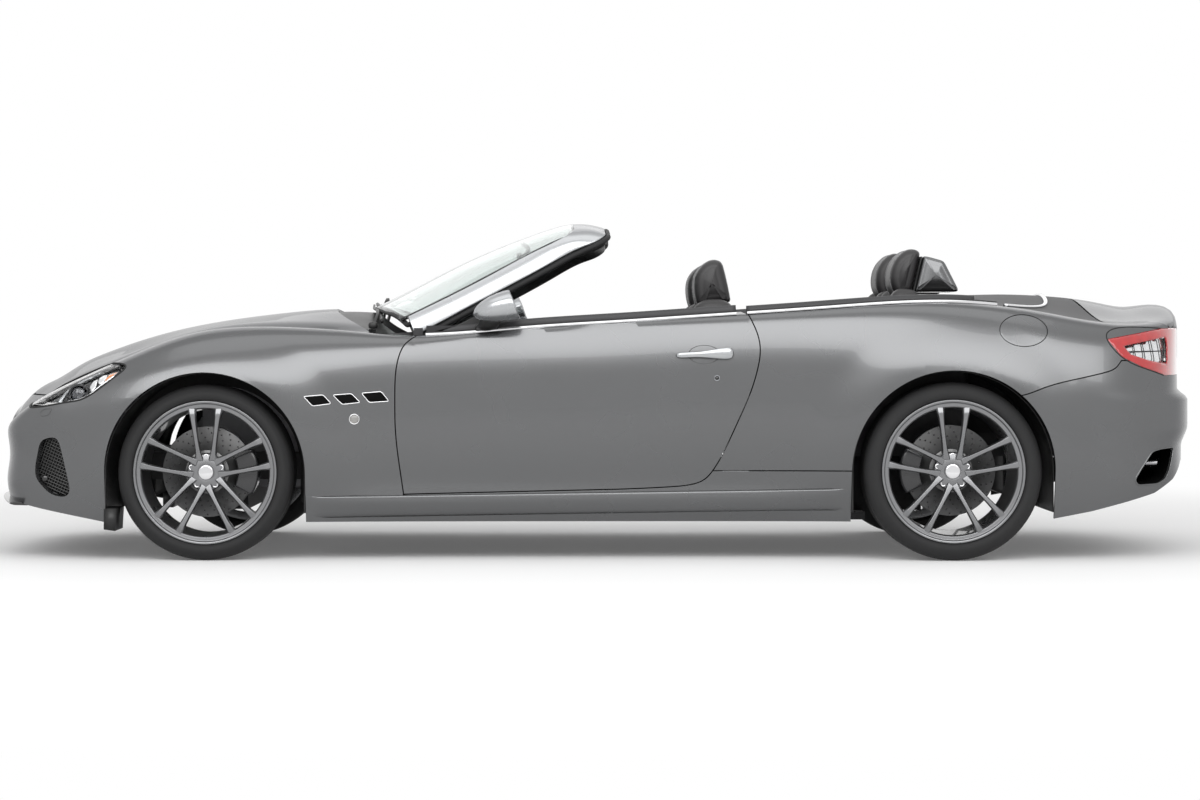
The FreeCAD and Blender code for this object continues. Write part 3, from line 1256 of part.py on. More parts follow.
def lean_back(shape, corner_round, lean, place):
    """Lean a back rearwards so that its rounded lower corner just meets a plane at a place."""
    shape.rotate(Vector(), Vector(0, 1, 0), lean)
    turn = math.radians(lean)
    forward = corner_round * (math.cos(turn) + math.sin(turn) - 1.0)
    shape.translate(place + Vector(SEAT_GAP - forward, 0, 0))
    return shape


def seat_back():
    middle_y = -SEAT_Y
    body = rounded_box(0.0, SEAT_BACK_THICKNESS, middle_y - SEAT_HALF_WIDTH,
                       middle_y + SEAT_HALF_WIDTH, 0.0, SEAT_BACK_HEIGHT, SEAT_BACK_THICKNESS / 3)
    rest = rounded_box(0.0, HEADREST_THICKNESS, middle_y - HEADREST_HALF_WIDTH,
                       middle_y + HEADREST_HALF_WIDTH, SEAT_BACK_HEIGHT - 2 * SHUT_GAP,
                       SEAT_BACK_HEIGHT + HEADREST_HEIGHT, HEADREST_THICKNESS / 3)
    foot = Vector(FRONT_SEAT_X + CUSHION_LENGTH / 2, 0, SEAT_BASE_Z + 0.35 * CUSHION_THICKNESS)
    return lean_back(body.fuse(rest), SEAT_BACK_THICKNESS / 3, SEAT_BACK_LEAN, foot)


def rear_cushions():
    left = rounded_box(REAR_SEAT_X + SHUT_GAP, REAR_BACK_X, -REAR_TUB_HALF_WIDTH + SHUT_GAP,
                       -0.2 * SEAT_HALF_WIDTH, REAR_SEAT_Z + SEAT_GAP,
                       REAR_SEAT_Z + 0.8 * CUSHION_THICKNESS, CUSHION_THICKNESS / 4)
    return Part.makeCompound([left, other_side(left)])


def rear_backs():
    """Rear seat backs with their headrests, leaning against the bulkhead."""
    middle = -0.5 * (REAR_TUB_HALF_WIDTH - SHUT_GAP + 0.2 * SEAT_HALF_WIDTH)
    body = rounded_box(0.0, SEAT_BACK_THICKNESS, -REAR_TUB_HALF_WIDTH + SHUT_GAP,
                       -0.2 * SEAT_HALF_WIDTH, 0.0, REAR_BACK_HEIGHT, SEAT_BACK_THICKNESS / 4)
    rest = rounded_box(0.2 * HEADREST_THICKNESS, 1.3 * HEADREST_THICKNESS,
                       middle - HEADREST_HALF_WIDTH, middle + HEADREST_HALF_WIDTH,
                       REAR_BACK_HEIGHT - 2 * SHUT_GAP, REAR_BACK_HEIGHT + 1.1 * HEADREST_HEIGHT,
                       HEADREST_THICKNESS / 3)
    foot = Vector(REAR_BACK_X, 0, REAR_SEAT_Z + 0.25 * CUSHION_THICKNESS)
    left = lean_back(body.fuse(rest), SEAT_BACK_THICKNESS / 4, REAR_BACK_LEAN, foot)
    return Part.makeCompound([left, other_side(left)])


REAR_BACK_X = 1010.0
REAR_BACK_HEIGHT = 530.0
REAR_BACK_LEAN = 14.0


def dashboard():
    """Dashboard under the windscreen with the steering column standing out of it."""
    half = SILL_INNER_Y - SEAT_GAP
    front = bowed_line(FIREWALL_X + FIREWALL_THICKNESS + SEAT_GAP, DASH_BOW, half)
    rear_left = Vector(DASH_REAR_X, -half, 0)
    rear_right = Vector(DASH_REAR_X, half, 0)
    body = plan_prism([
        smooth_edge(front), Part.makeLine(front[-1], rear_right),
        Part.makeLine(rear_right, rear_left), Part.makeLine(rear_left, front[0]),
    ], DASH_TOP_Z - DASH_DEPTH, DASH_TOP_Z)
    edges = [e for e in body.Edges if e.Length > half and e.BoundBox.XMin > DASH_REAR_X - 1]
    return largest_solid(body.makeFillet(DASH_DEPTH / 5, edges).fuse(steering_column()))


def steering_wheel():
    ring = Part.makeTorus(STEERING_WHEEL_RADIUS, RIM_GRIP_RADIUS)
    hub = Part.makeCylinder(0.36 * STEERING_WHEEL_RADIUS, 2 * RIM_GRIP_RADIUS, Vector(0, 0, -RIM_GRIP_RADIUS))
    body = ring.fuse(hub)
    for turn in (0.0, 180.0, 270.0):
        arm = box(0.3 * STEERING_WHEEL_RADIUS, STEERING_WHEEL_RADIUS, -1.3 * RIM_GRIP_RADIUS, 1.3 * RIM_GRIP_RADIUS,
                  -0.5 * RIM_GRIP_RADIUS, 0.3 * RIM_GRIP_RADIUS)
        arm.rotate(Vector(), Vector(0, 0, 1), turn)
        body = body.fuse(arm)
    return on_column(largest_solid(body))


def on_column(shape):
    """Move a shape from a level frame to the steering wheel's tilted place."""
    shape.rotate(Vector(), Vector(0, 0, 1), 90.0)
    shape.rotate(Vector(), Vector(0, 1, 0), 90.0 - STEERING_WHEEL_TILT)
    shape.translate(Vector(STEERING_WHEEL_X, STEERING_WHEEL_Y, STEERING_WHEEL_Z))
    return shape


def steering_column():
    length = 330.0
    body = Part.makeCylinder(2 * RIM_GRIP_RADIUS, length, Vector(0, 0, -RIM_GRIP_RADIUS - RUNNING_GAP - length))
    return on_column(body)


def steering_axis():
    turn = math.radians(90.0 - STEERING_WHEEL_TILT)
    return Vector(math.sin(turn), 0, math.cos(turn))


def screen_point(up, across):
    """Point of the windscreen's outer face: up from 0 to 1, across from -1 to 1 at the pillars."""
    i = up * (len(SCREEN_MIDDLE_SHARES) - 1)
    middle_x = SCREEN_MIDDLE_X(i) * HALF_LENGTH
    middle_z = SCREEN_MIDDLE_Z(i) * HEIGHT
    side_x = SCREEN_SIDE_X(i) * HALF_LENGTH
    side_z = SCREEN_SIDE_Z(i) * HEIGHT
    bow = abs(across) ** 2.3
    half = SCREEN_BASE_Y + (SCREEN_TOP_Y - SCREEN_BASE_Y) * up
    return Vector(middle_x + (side_x - middle_x) * bow, half * across, middle_z + (side_z - middle_z) * bow)


SCREEN_BASE_Y = 745.0
SCREEN_TOP_Y = 575.0
SCREEN_MIDDLE_X = curve_through([(i, row[0]) for i, row in enumerate(SCREEN_MIDDLE_SHARES)])
SCREEN_MIDDLE_Z = curve_through([(i, row[1]) for i, row in enumerate(SCREEN_MIDDLE_SHARES)])
SCREEN_SIDE_X = curve_through([(i, row[0]) for i, row in enumerate(SCREEN_PILLAR_SHARES)])
SCREEN_SIDE_Z = curve_through([(i, row[1]) for i, row in enumerate(SCREEN_PILLAR_SHARES)])
GLASS_THICKNESS = 6.0
FRAME_THICKNESS = 38.0
FRAME_EDGE_SHARE = 0.055


def screen_solid(up_low, up_high, across, raise_by, thickness):
    rows = [
        [screen_point(u, v) for v in places(-across, across, 21)]
        for u in places(up_low, up_high, 11)
    ]
    outer = []
    inner = []
    for i, row in enumerate(rows):
        outer_row = []
        inner_row = []
        for j, p in enumerate(row):
            along_up = rows[min(i + 1, 10)][j] - rows[max(i - 1, 0)][j]
            along_side = row[min(j + 1, 20)] - row[max(j - 1, 0)]
            normal = along_side.cross(along_up).normalize()
            normal = normal if normal.z > 0 else -normal
            outer_row.append(p + normal * raise_by)
            inner_row.append(p + normal * (raise_by - thickness))
        outer.append(outer_row)
        inner.append(inner_row)
    return solid_between(outer, inner)


def windscreen_glass():
    limit = 1.0 - FRAME_EDGE_SHARE - SEAT_GAP / SCREEN_BASE_Y
    return screen_solid(0.0, limit, limit, -SKIN / 2, GLASS_THICKNESS)


def windscreen_frame():
    body = screen_solid(0.02, 1.0, 1.0, 0.0, FRAME_THICKNESS)
    hole = screen_solid(0.0, 1.0 - FRAME_EDGE_SHARE, 1.0 - FRAME_EDGE_SHARE, OVERRUN, FRAME_THICKNESS + 2 * OVERRUN)
    return largest_solid(body.cut(hole))


def mirror_left():
    shell = Part.makeSphere(1.0)
    matrix = FreeCAD.Matrix()
    matrix.scale(0.5 * MIRROR_DEPTH, 0.5 * MIRROR_WIDTH, 0.5 * MIRROR_HEIGHT)
    shell = shell.transformGeometry(matrix)
    shell.translate(Vector(MIRROR_X, -MIRROR_Y, MIRROR_Z))
    stalk = rod(Vector(MIRROR_X, -MIRROR_Y + 0.3 * MIRROR_WIDTH, MIRROR_Z - 0.3 * MIRROR_HEIGHT),
                Vector(MIRROR_X, -DOOR_INNER_Y - 2 * SKIN, MIRROR_FOOT_Z), 12.0)
    return largest_solid(shell.fuse(stalk).cut(door_left()))


MIRROR_X = -450.0
MIRROR_Y = 925.0
MIRROR_Z = 1000.0
MIRROR_DEPTH = 130.0
MIRROR_WIDTH = 205.0
MIRROR_HEIGHT = 125.0
MIRROR_FOOT_Z = 905.0


def tail_pipes():
    pipes = []
    for side in (LEFT, RIGHT):
        for offset in (-0.5, 0.5):
            y = side * PIPE_Y + offset * 2 * PIPE_PITCH
            start = Vector(PIPE_END_X - PIPE_LENGTH, y, PIPE_Z)
            pipe = Part.makeCylinder(PIPE_RADIUS, PIPE_LENGTH, start, Vector(1, 0, 0))
            bore = Part.makeCylinder(PIPE_RADIUS - 3.0, PIPE_LENGTH, start + Vector(2 * SKIN, 0, 0), Vector(1, 0, 0))
            pipes.append(pipe.cut(bore))
        silencer = box(PIPE_END_X - PIPE_LENGTH - SILENCER_LENGTH, PIPE_END_X - PIPE_LENGTH + SKIN,
                       side * PIPE_Y - 2 * PIPE_PITCH, side * PIPE_Y + 2 * PIPE_PITCH,
                       PIPE_Z - 1.3 * PIPE_RADIUS, PIPE_Z + 1.3 * PIPE_RADIUS)
        joined = silencer.fuse(pipes[-2:])
        pipes = pipes[:-2] + [largest_solid(joined)]
    return Part.makeCompound(pipes)


SINGLE_NODES = {
    "bonnet": bonnet, "front_bumper": front_bumper, "grille": grille, "splitter": splitter,
    "rear_bumper": rear_bumper, "boot_lid": boot_lid, "soft_top_cover": soft_top_cover,
    "fuel_flap": fuel_flap, "filler_plate": filler_plate, "floor_pan": floor_pan,
    "tunnel": tunnel, "bulkheads": bulkheads, "cowl": cowl, "seat_box": seat_box,
    "boot_tub": boot_tub, "chassis_rails": chassis_rails, "engine_block": engine_block,
    "front_suspension": front_suspension,
    "rear_suspension": rear_suspension, "dashboard": dashboard, "steering_wheel": steering_wheel,
    "windscreen_glass": windscreen_glass, "windscreen_frame": windscreen_frame,
    "tail_pipes": tail_pipes, "rear_cushions": rear_cushions, "rear_backs": rear_backs,
}
PAIRED_NODES = {
    "fenders": fender_left, "headlamps": headlamp_left, "intake_meshes": intake_mesh_left,
    "quarter_panels": quarter_left, "sills": sill_left, "tail_lamps": tail_lamp_left,
    "hinge_pillars": hinge_pillar_left,
    "seat_cushions": seat_cushion, "seat_bases": seat_base, "seat_backs": seat_back,
}
SIDED_NODES = {"door": door_left, "mirror": mirror_left}
CORNERS = (
    ("front", FRONT_AXLE_X, FRONT_TRACK, FRONT_TYRE_RADIUS, FRONT_TYRE_WIDTH, 0.0),
    ("rear", REAR_AXLE_X, REAR_TRACK, REAR_TYRE_RADIUS, REAR_TYRE_WIDTH, 180.0),
)


def all_shapes():
    """Every node's shape by name."""
    shapes = {name: make() for name, make in SINGLE_NODES.items()}
    for name, make in PAIRED_NODES.items():
        left = make()
        shapes[name] = Part.makeCompound([left, other_side(left)])
    for name, make in SIDED_NODES.items():
        shapes[name + "_left"] = make()
        shapes[name + "_right"] = other_side(shapes[name + "_left"])
    for end, axle_x, track, radius, width, turn in CORNERS:
        kinds = {
            "tyre": tyre(radius, width), "rim": rim(width), "brake_disc": brake_disc(),
            "caliper": caliper(turn),
        }
        if end == "front":
            kinds["knuckle"] = knuckle_front()
        for kind, shape in kinds.items():
            pair = [
                placed_wheel(shape, axle_x, track / 2, radius, side) for side in (LEFT, RIGHT)
            ]
            if (kind, end) == ("caliper", "rear"):
                shapes["calipers_rear"] = Part.makeCompound(pair)
            else:
                shapes["_".join((kind, end, "left"))] = pair[0]
                shapes["_".join((kind, end, "right"))] = pair[1]
    return shapes


def main():
    os.makedirs("parts", exist_ok=True)
    for name, shape in all_shapes().items():
        shape.exportStep("parts/" + name + ".step")


main()
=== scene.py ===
"""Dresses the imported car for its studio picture: panels, lamps, wheels, cabin, glass and stage.

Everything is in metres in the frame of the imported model: +X to the tail, -Y the left side, +Z up.
"""
import math

import bmesh
import bpy
import numpy as np
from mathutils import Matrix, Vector, geometry


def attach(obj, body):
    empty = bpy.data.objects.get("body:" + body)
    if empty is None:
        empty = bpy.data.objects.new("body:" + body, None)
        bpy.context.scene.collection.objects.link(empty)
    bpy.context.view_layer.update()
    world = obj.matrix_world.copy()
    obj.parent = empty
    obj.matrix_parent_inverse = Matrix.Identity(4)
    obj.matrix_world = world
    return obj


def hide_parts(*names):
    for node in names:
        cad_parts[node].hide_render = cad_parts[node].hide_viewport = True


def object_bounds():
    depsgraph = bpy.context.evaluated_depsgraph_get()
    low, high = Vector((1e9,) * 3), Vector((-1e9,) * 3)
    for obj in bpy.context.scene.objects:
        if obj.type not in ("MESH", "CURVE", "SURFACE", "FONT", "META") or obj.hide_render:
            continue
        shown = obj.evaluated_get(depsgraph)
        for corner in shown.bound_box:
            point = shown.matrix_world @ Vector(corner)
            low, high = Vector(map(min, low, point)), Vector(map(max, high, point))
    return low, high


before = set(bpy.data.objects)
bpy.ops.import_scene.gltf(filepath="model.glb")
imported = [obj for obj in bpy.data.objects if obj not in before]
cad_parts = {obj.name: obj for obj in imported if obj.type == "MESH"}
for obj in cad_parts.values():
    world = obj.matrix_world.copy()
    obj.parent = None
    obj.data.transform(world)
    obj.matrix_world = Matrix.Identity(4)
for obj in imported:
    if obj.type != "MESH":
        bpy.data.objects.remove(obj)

CAD_BOX = [list(corner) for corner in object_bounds()]

bl_info = {
    "name": "Grand tourer dressing",
    "version": (1, 0, 0),
    "blender": (4, 5, 0),
    "location": "View3D > Sidebar > Car",
    "description": "Builds the panels, wheels, lamps and cabin of an open four-seat car",
    "category": "Object",
}

# The outer form, as in the source: the shares are of the half length, the half width or the height.
LENGTH, WIDTH, HEIGHT = 4.910, 1.910, 1.360
HALF_LENGTH, HALF_WIDTH = LENGTH / 2, WIDTH / 2
AXLE_FRONT, AXLE_REAR = -1.555, 1.387
ARCH_FRONT, ARCH_REAR = 0.395, 0.398
HUB_FRONT, HUB_REAR = 0.346, 0.351
CENTRE_HEIGHT_SHARES = [
    (-1.06, 0.350), (-1.0, 0.412), (-0.971, 0.475), (-0.929, 0.521), (-0.887, 0.567), (-0.845, 0.601),
    (-0.802, 0.629), (-0.718, 0.672), (-0.633, 0.701), (-0.549, 0.721), (-0.453, 0.735), (-0.385, 0.733),
    (-0.284, 0.716), (-0.081, 0.712), (0.203, 0.731), (0.406, 0.754), (0.568, 0.772), (0.710, 0.780),
    (0.776, 0.774), (0.854, 0.756), (0.903, 0.742), (0.945, 0.749), (0.972, 0.747), (1.0, 0.739),
    (1.06, 0.720),
]
CREST_HEIGHT_SHARES = [
    (-1.06, 0.320), (-1.0, 0.366), (-0.929, 0.452), (-0.852, 0.524), (-0.771, 0.588), (-0.710, 0.634),
    (-0.649, 0.666), (-0.588, 0.679), (-0.487, 0.677), (-0.398, 0.665), (-0.329, 0.653), (-0.284, 0.651),
    (-0.122, 0.671), (0.041, 0.690), (0.235, 0.715), (0.365, 0.732), (0.487, 0.747), (0.568, 0.748),
    (0.649, 0.737), (0.710, 0.722), (0.771, 0.702), (0.832, 0.687), (0.892, 0.688), (0.953, 0.698),
    (1.0, 0.699), (1.06, 0.690),
]
CREST_WIDTH_SHARES = [
    (-1.06, 0.52), (-1.0, 0.54), (-0.929, 0.61), (-0.852, 0.67), (-0.771, 0.72), (-0.649, 0.77),
    (-0.487, 0.80), (-0.329, 0.85), (-0.122, 0.89), (0.235, 0.905), (0.487, 0.90), (0.649, 0.865),
    (0.832, 0.80), (1.0, 0.68), (1.06, 0.66),
]
SIDE_WIDTH_SHARES = [
    (-1.06, 0.80), (-1.0, 0.836), (-0.913, 0.90), (-0.832, 0.940), (-0.730, 0.977), (-0.625, 0.991),
    (-0.487, 0.978), (-0.325, 0.957), (-0.122, 0.947), (0.122, 0.950), (0.325, 0.967), (0.446, 0.984),
    (0.568, 1.0), (0.690, 0.995), (0.791, 0.967), (0.892, 0.920), (1.0, 0.836), (1.06, 0.78),
]
WIDEST_HEIGHT_SHARES = [
    (-1.06, 0.43), (-0.7, 0.46), (-0.487, 0.49), (-0.325, 0.515), (0.0, 0.535), (0.325, 0.560),
    (0.568, 0.52), (0.8, 0.46), (1.06, 0.43),
]
SHOULDER_ROUND_SHARES = [
    (-1.06, 0.05), (-0.913, 0.12), (-0.771, 0.23), (-0.487, 0.23), (-0.365, 0.14), (-0.264, 0.06),
    (0.243, 0.06), (0.446, 0.09), (0.609, 0.14), (0.771, 0.16), (0.933, 0.10), (1.06, 0.05),
]
NOSE_PROFILE_SHARES = [
    (0.0, -0.974), (0.147, -0.992), (0.22, -1.001), (0.29, -0.997), (0.37, -1.002), (0.433, -1.008),
    (0.60, -1.013), (1.0, -1.013),
]
DOOR_SHARES = [
    (-0.295, 0.649), (-0.312, 0.626), (-0.323, 0.583), (-0.327, 0.537), (-0.328, 0.470), (-0.327, 0.371),
    (-0.322, 0.284), (-0.315, 0.193), (0.031, 0.207), (0.114, 0.214), (0.147, 0.221), (0.166, 0.234),
    (0.177, 0.254), (0.196, 0.311), (0.218, 0.397), (0.240, 0.490), (0.251, 0.557), (0.255, 0.610),
    (0.252, 0.649), (0.245, 0.682), (0.232, 0.730),
]
BONNET_EDGE_SHARES = [
    (-0.982, 0.0), (-0.976, 0.25), (-0.955, 0.47), (-0.900, 0.585), (-0.800, 0.665), (-0.640, 0.715),
    (-0.460, 0.745), (-0.356, 0.760),
]
TAIL_LAMP_SHARES = [
    (0.815, 0.641), (0.914, 0.673), (1.03, 0.677), (1.03, 0.535), (0.914, 0.535), (0.878, 0.555),
    (0.837, 0.590),
]
REAR_SHUT_SHARES = [
    (0.640, 0.470), (0.678, 0.480), (0.709, 0.500), (0.749, 0.519), (0.809, 0.543), (0.826, 0.555),
    (0.837, 0.577),
]
# Half of a shut line between two panels.
GAP = 0.0045


def colour_setting(label, text, value):
    """A colour that a user may change, in red, green and blue."""
    return bpy.props.FloatVectorProperty(
        name=label, description=text, subtype="COLOR", size=3, min=0.0, max=1.0, default=value)


def number_setting(label, text, value, unit="LENGTH"):
    """A size, focal length or power that a user may change."""
    return bpy.props.FloatProperty(name=label, description=text, default=value, unit=unit)


class CarColours(bpy.types.PropertyGroup):
    """Colours that a user would change."""
    body: colour_setting("Body paint", "Base colour of the dark metallic paint", (0.136, 0.138, 0.141))
    bright: colour_setting("Screen paint", "Base colour of the screen frame and mirrors", (0.44, 0.45, 0.46))
    plastic: colour_setting("Black plastic", "Colour of the matt mouldings", (0.012, 0.012, 0.012))
    gloss: colour_setting("Gloss black", "Colour of the glossy black trim", (0.008, 0.008, 0.008))
    metal: colour_setting("Bright metal", "Colour of the polished trim", (0.72, 0.72, 0.73))
    rubber: colour_setting("Rubber", "Colour of tyres and seals", (0.0065, 0.0065, 0.007))
    wheel: colour_setting("Wheel paint", "Colour of the rims and spokes", (0.20, 0.202, 0.208))
    disc: colour_setting("Brake steel", "Colour of the brake discs", (0.15, 0.15, 0.15))
    caliper: colour_setting("Caliper enamel", "Colour of the brake calipers", (0.020, 0.020, 0.022))
    leather: colour_setting("Seat leather", "Colour of the seats", (0.020, 0.019, 0.020))
    lining: colour_setting("Trim leather", "Colour of dashboard and casings", (0.028, 0.028, 0.030))
    carpet: colour_setting("Carpet", "Colour of the floor's carpet", (0.016, 0.016, 0.017))
    cover: colour_setting("Roof cover", "Colour of the cover over the folded roof", (0.085, 0.085, 0.087))
    thread: colour_setting("Stitching", "Colour of the seat stitching", (0.30, 0.30, 0.31))
    amber: colour_setting("Amber lens", "Colour of the amber lamp tips", (0.72, 0.22, 0.03))
    red: colour_setting("Red lens", "Colour of the tail lamps", (0.42, 0.008, 0.010))


class CarSizes(bpy.types.PropertyGroup):
    """Sizes and lamp powers that a user would change."""
    panel_wall: number_setting("Panel wall", "Thickness of the outer panels", 0.010)
    panel_edge: number_setting("Panel edge", "Round on the edges of the outer panels", 0.0016)
    panel_step: number_setting("Panel mesh step", "Spacing of the points on the outer panels", 0.014)
    seal_radius: number_setting("Lamp seal", "Radius of the seal round the head lamps", 0.0038)
    frame_wall: number_setting("Screen frame", "Thickness of the windscreen frame", 0.020)
    handle_radius: number_setting("Door handle", "Half height of the handle's wide end", 0.0235)
    lens_length: number_setting("Camera lens", "Focal length of the picture's camera", 88.5, "CAMERA")
    top_power: number_setting("Top lamp", "Power of the lamp over the car", 70.0, "POWER")
    front_power: number_setting("Front lamp", "Power of the lamp behind the camera", 1000.0, "POWER")
    back_power: number_setting("Back lamp", "Power of the lamp on the far side", 120.0, "POWER")


def tint(name):
    """A colour of the scene's settings, by its name."""
    return tuple(getattr(bpy.context.scene.car_colours, name))


def setting(name):
    """A size of the scene's settings, by its name."""
    return getattr(bpy.context.scene.car_sizes, name)


def curve(rows):
    """Natural cubic through (place, value) rows: each span is the straight mix of its two values
    plus the span squared times a cubic weight of the two end curvatures, over six."""
    at = np.array([row[0] for row in rows])
    value = np.array([row[1] for row in rows])
    n = len(rows)
    spans = np.diff(at)
    system = np.eye(n)
    right = np.zeros(n)
    for i in range(1, n - 1):
        system[i, i - 1:i + 2] = spans[i - 1], 2 * (spans[i - 1] + spans[i]), spans[i]
        right[i] = 6 * ((value[i + 1] - value[i]) / spans[i] - (value[i] - value[i - 1]) / spans[i - 1])
    bend = np.linalg.solve(system, right)

    def along(x):
        x = np.clip(x, at[0], at[-1])
        i = np.clip(np.searchsorted(at, x, side="right") - 1, 0, n - 2)
        a = (at[i + 1] - x) / spans[i]
        b = 1 - a
        curl = ((a ** 3 - a) * bend[i] + (b ** 3 - b) * bend[i + 1]) * spans[i] ** 2 / 6
        return a * value[i] + b * value[i + 1] + curl

    return along


centre_height = curve(CENTRE_HEIGHT_SHARES)
crest_height = curve(CREST_HEIGHT_SHARES)
crest_width = curve(CREST_WIDTH_SHARES)
side_width = curve(SIDE_WIDTH_SHARES)
widest_height = curve(WIDEST_HEIGHT_SHARES)
shoulder_round = curve(SHOULDER_ROUND_SHARES)
nose_profile = curve(NOSE_PROFILE_SHARES)


def ramp(value, start, end):
    """0 before start, 1 after end, three t squared less two t cubed between."""
    t = np.clip((value - start) / (end - start), 0.0, 1.0)
    return t * t * (3.0 - 2.0 * t)


def round_max(a, b, radius):
    """The larger of two fields, with a cubic blend where they are closer than the radius."""
    h = np.maximum(radius - np.abs(a - b), 0.0) / radius
    return np.maximum(a, b) + h ** 3 * radius / 6.0


def side_y(x, z):
    """Half width of the flank: widest at the waist, leaning in above, tucked under below, with a
    ridge along the sill and a flare that fades away from each wheel opening."""
    place = x / HALF_LENGTH
    widest = widest_height(place) * HEIGHT
    above = np.maximum(z - widest, 0.0) / 0.260
    below = np.maximum(widest - z, 0.0) / 0.460
    y = side_width(place) * HALF_WIDTH - 0.060 * above ** 2 - 0.052 * below ** 2.4
    between = ramp(x, AXLE_FRONT + ARCH_FRONT, AXLE_FRONT + 2 * ARCH_FRONT)
    between = between * (1 - ramp(x, AXLE_REAR - 2 * ARCH_REAR, AXLE_REAR - ARCH_REAR))
    y = y + 0.020 * between * np.exp(-((z - 0.222) / 0.055) ** 2)
    for axle, hub, arch in ((AXLE_FRONT, HUB_FRONT, ARCH_FRONT), (AXLE_REAR, HUB_REAR, ARCH_REAR)):
        reach = np.hypot(x - axle, z - hub) - arch - 0.062
        high = ramp(z, hub - arch / 2, hub + arch)
        y = y + 0.020 * (0.4 + 0.6 * high) * (1 - ramp(reach, -0.062, 0.150))
    return y


def top_z(x, y):
    """Height of the top: the middle line's height blended to the crest's, with a valley beside
    the crest on the bonnet, and a fall outside the crest."""
    place = x / HALF_LENGTH
    crest = crest_height(place) * HEIGHT
    centre = centre_height(place) * HEIGHT
    across = np.abs(y) / (crest_width(place) * HALF_WIDTH)
    bonnet = 1 - ramp(place, -0.45, -0.30)
    valley = 0.016 * bonnet * HEIGHT * np.exp(-((across - 0.80) / 0.10) ** 2)
    inner = centre + (crest - centre) * ramp(across, 0.0, 1.0) - valley
    return np.where(across > 1.0, crest - 0.12 * HEIGHT * (across - 1.0) ** 2, inner)


def nose_x(y, z):
    """Front face: the nose's profile by height, swept back with the square of the offset."""
    return nose_profile(z / HEIGHT) * HALF_LENGTH + 0.178 * (y / HALF_WIDTH) ** 2


def tail_x(y, z):
    """Rear face: the lid's face, the bumper's ledge, a step and an undercut, swept forward."""
    x = 2.4085 + 0.043 * (1 - ramp(z, 0.628, 0.672)) - 0.027 * (1 - ramp(z, 0.434, 0.522))
    low = np.maximum(0.360 - z, 0.0) / 0.360
    return x - 0.312 * low ** 2 - 0.228 * (y / HALF_WIDTH) ** 2


def outside(x, y, z):
    """Negative inside the outer form, zero on it: the four faces joined with round edges."""
    y = np.abs(y)
    wall = round_max(y - side_y(x, z), nose_x(y, z) - x, 0.300)
    wall = round_max(wall, x - tail_x(y, z), 0.300)
    return round_max(wall, z - top_z(x, y), shoulder_round(x / HALF_LENGTH) * HALF_WIDTH)


def reach(start, way, far=2.0):
    """Where rays from inside meet the outer form, by halving the span 34 times."""
    start, way = np.broadcast_arrays(start, way)
    low = np.zeros(start.shape[:-1])
    high = np.full(start.shape[:-1], far)
    for _ in range(34):
        mid = (low + high) / 2
        p = start + way * mid[..., None]
        is_in = outside(p[..., 0], p[..., 1], p[..., 2]) < 0
        low = np.where(is_in, mid, low)
        high = np.where(is_in, high, mid)
    return start + way * ((low + high) / 2)[..., None]


def outward(p, step=0.002):
    """Unit slope of the outer form's field at points on it, by central differences."""
    g = np.stack([
        outside(p[..., 0] + dx, p[..., 1] + dy, p[..., 2] + dz)
        - outside(p[..., 0] - dx, p[..., 1] - dy, p[..., 2] - dz)
        for dx, dy, dz in ((step, 0, 0), (0, step, 0), (0, 0, step))
    ], axis=-1)
    return g / np.linalg.norm(g, axis=-1, keepdims=True)


# Families of rays over the form, each from a line inside it.
SIDE_LINE = 0.449
NOSE_LINE, TAIL_LINE = -1.448, 1.301
HOOD_LINE, HOOD_TURN = (-1.596, 0.299), 0.7
DECK_LINE, DECK_TURN = (1.792, 0.598), 0.5


def side_rays(u, v):
    """u is the length, v the turn in the cross-section about a line inside the left flank."""
    start = np.stack([u, np.full_like(u, -SIDE_LINE), np.full_like(u, SIDE_LINE)], -1)
    way = np.stack([np.zeros_like(u), -np.cos(2 * v), np.sin(2 * v)], -1)
    return start, way


def side_place(p):
    """The side rays' u and v of points: the length, and half the angle about the inner line."""
    return p[:, 0], np.arctan2(p[:, 2] - SIDE_LINE, -p[:, 1] - SIDE_LINE) / 2


def nose_rays(u, v):
    """u is the turn about an upright line inside the nose, v the height."""
    start = np.stack([np.full_like(u, NOSE_LINE), np.zeros_like(u), v], -1)
    return start, np.stack([-np.cos(u), np.sin(u), np.zeros_like(u)], -1)


def nose_place(p):
    """The nose rays' u and v of points: the angle about the upright line, and the height."""
    return np.arctan2(p[:, 1], NOSE_LINE - p[:, 0]), p[:, 2]


def tail_rays(u, v):
    """u is the turn about an upright line inside the tail, v the height."""
    start = np.stack([np.full_like(u, TAIL_LINE), np.zeros_like(u), v], -1)
    return start, np.stack([np.cos(u), -np.sin(u), np.zeros_like(u)], -1)


def tail_place(p):
    """The tail rays' u and v of points: the angle about the upright line, and the height."""
    return np.arctan2(-p[:, 1], p[:, 0] - TAIL_LINE), p[:, 2]


def hood_rays(u, v):
    """u is the offset across, v the turn in the side view about a line across the front."""
    start = np.stack([np.full_like(u, HOOD_LINE[0]), u, np.full_like(u, HOOD_LINE[1])], -1)
    return start, np.stack([-np.cos(v / HOOD_TURN), np.zeros_like(u), np.sin(v / HOOD_TURN)], -1)


def hood_place(p):
    """The bonnet rays' u and v of points: the offset, and a share of the angle about the cross line."""
    return p[:, 1], HOOD_TURN * np.arctan2(p[:, 2] - HOOD_LINE[1], HOOD_LINE[0] - p[:, 0])


def deck_rays(u, v):
    """u is the offset across, v the turn in the side view about a line across the rear."""
    start = np.stack([np.full_like(u, DECK_LINE[0]), -u, np.full_like(u, DECK_LINE[1])], -1)
    return start, np.stack([np.cos(v / DECK_TURN), np.zeros_like(u), np.sin(v / DECK_TURN)], -1)


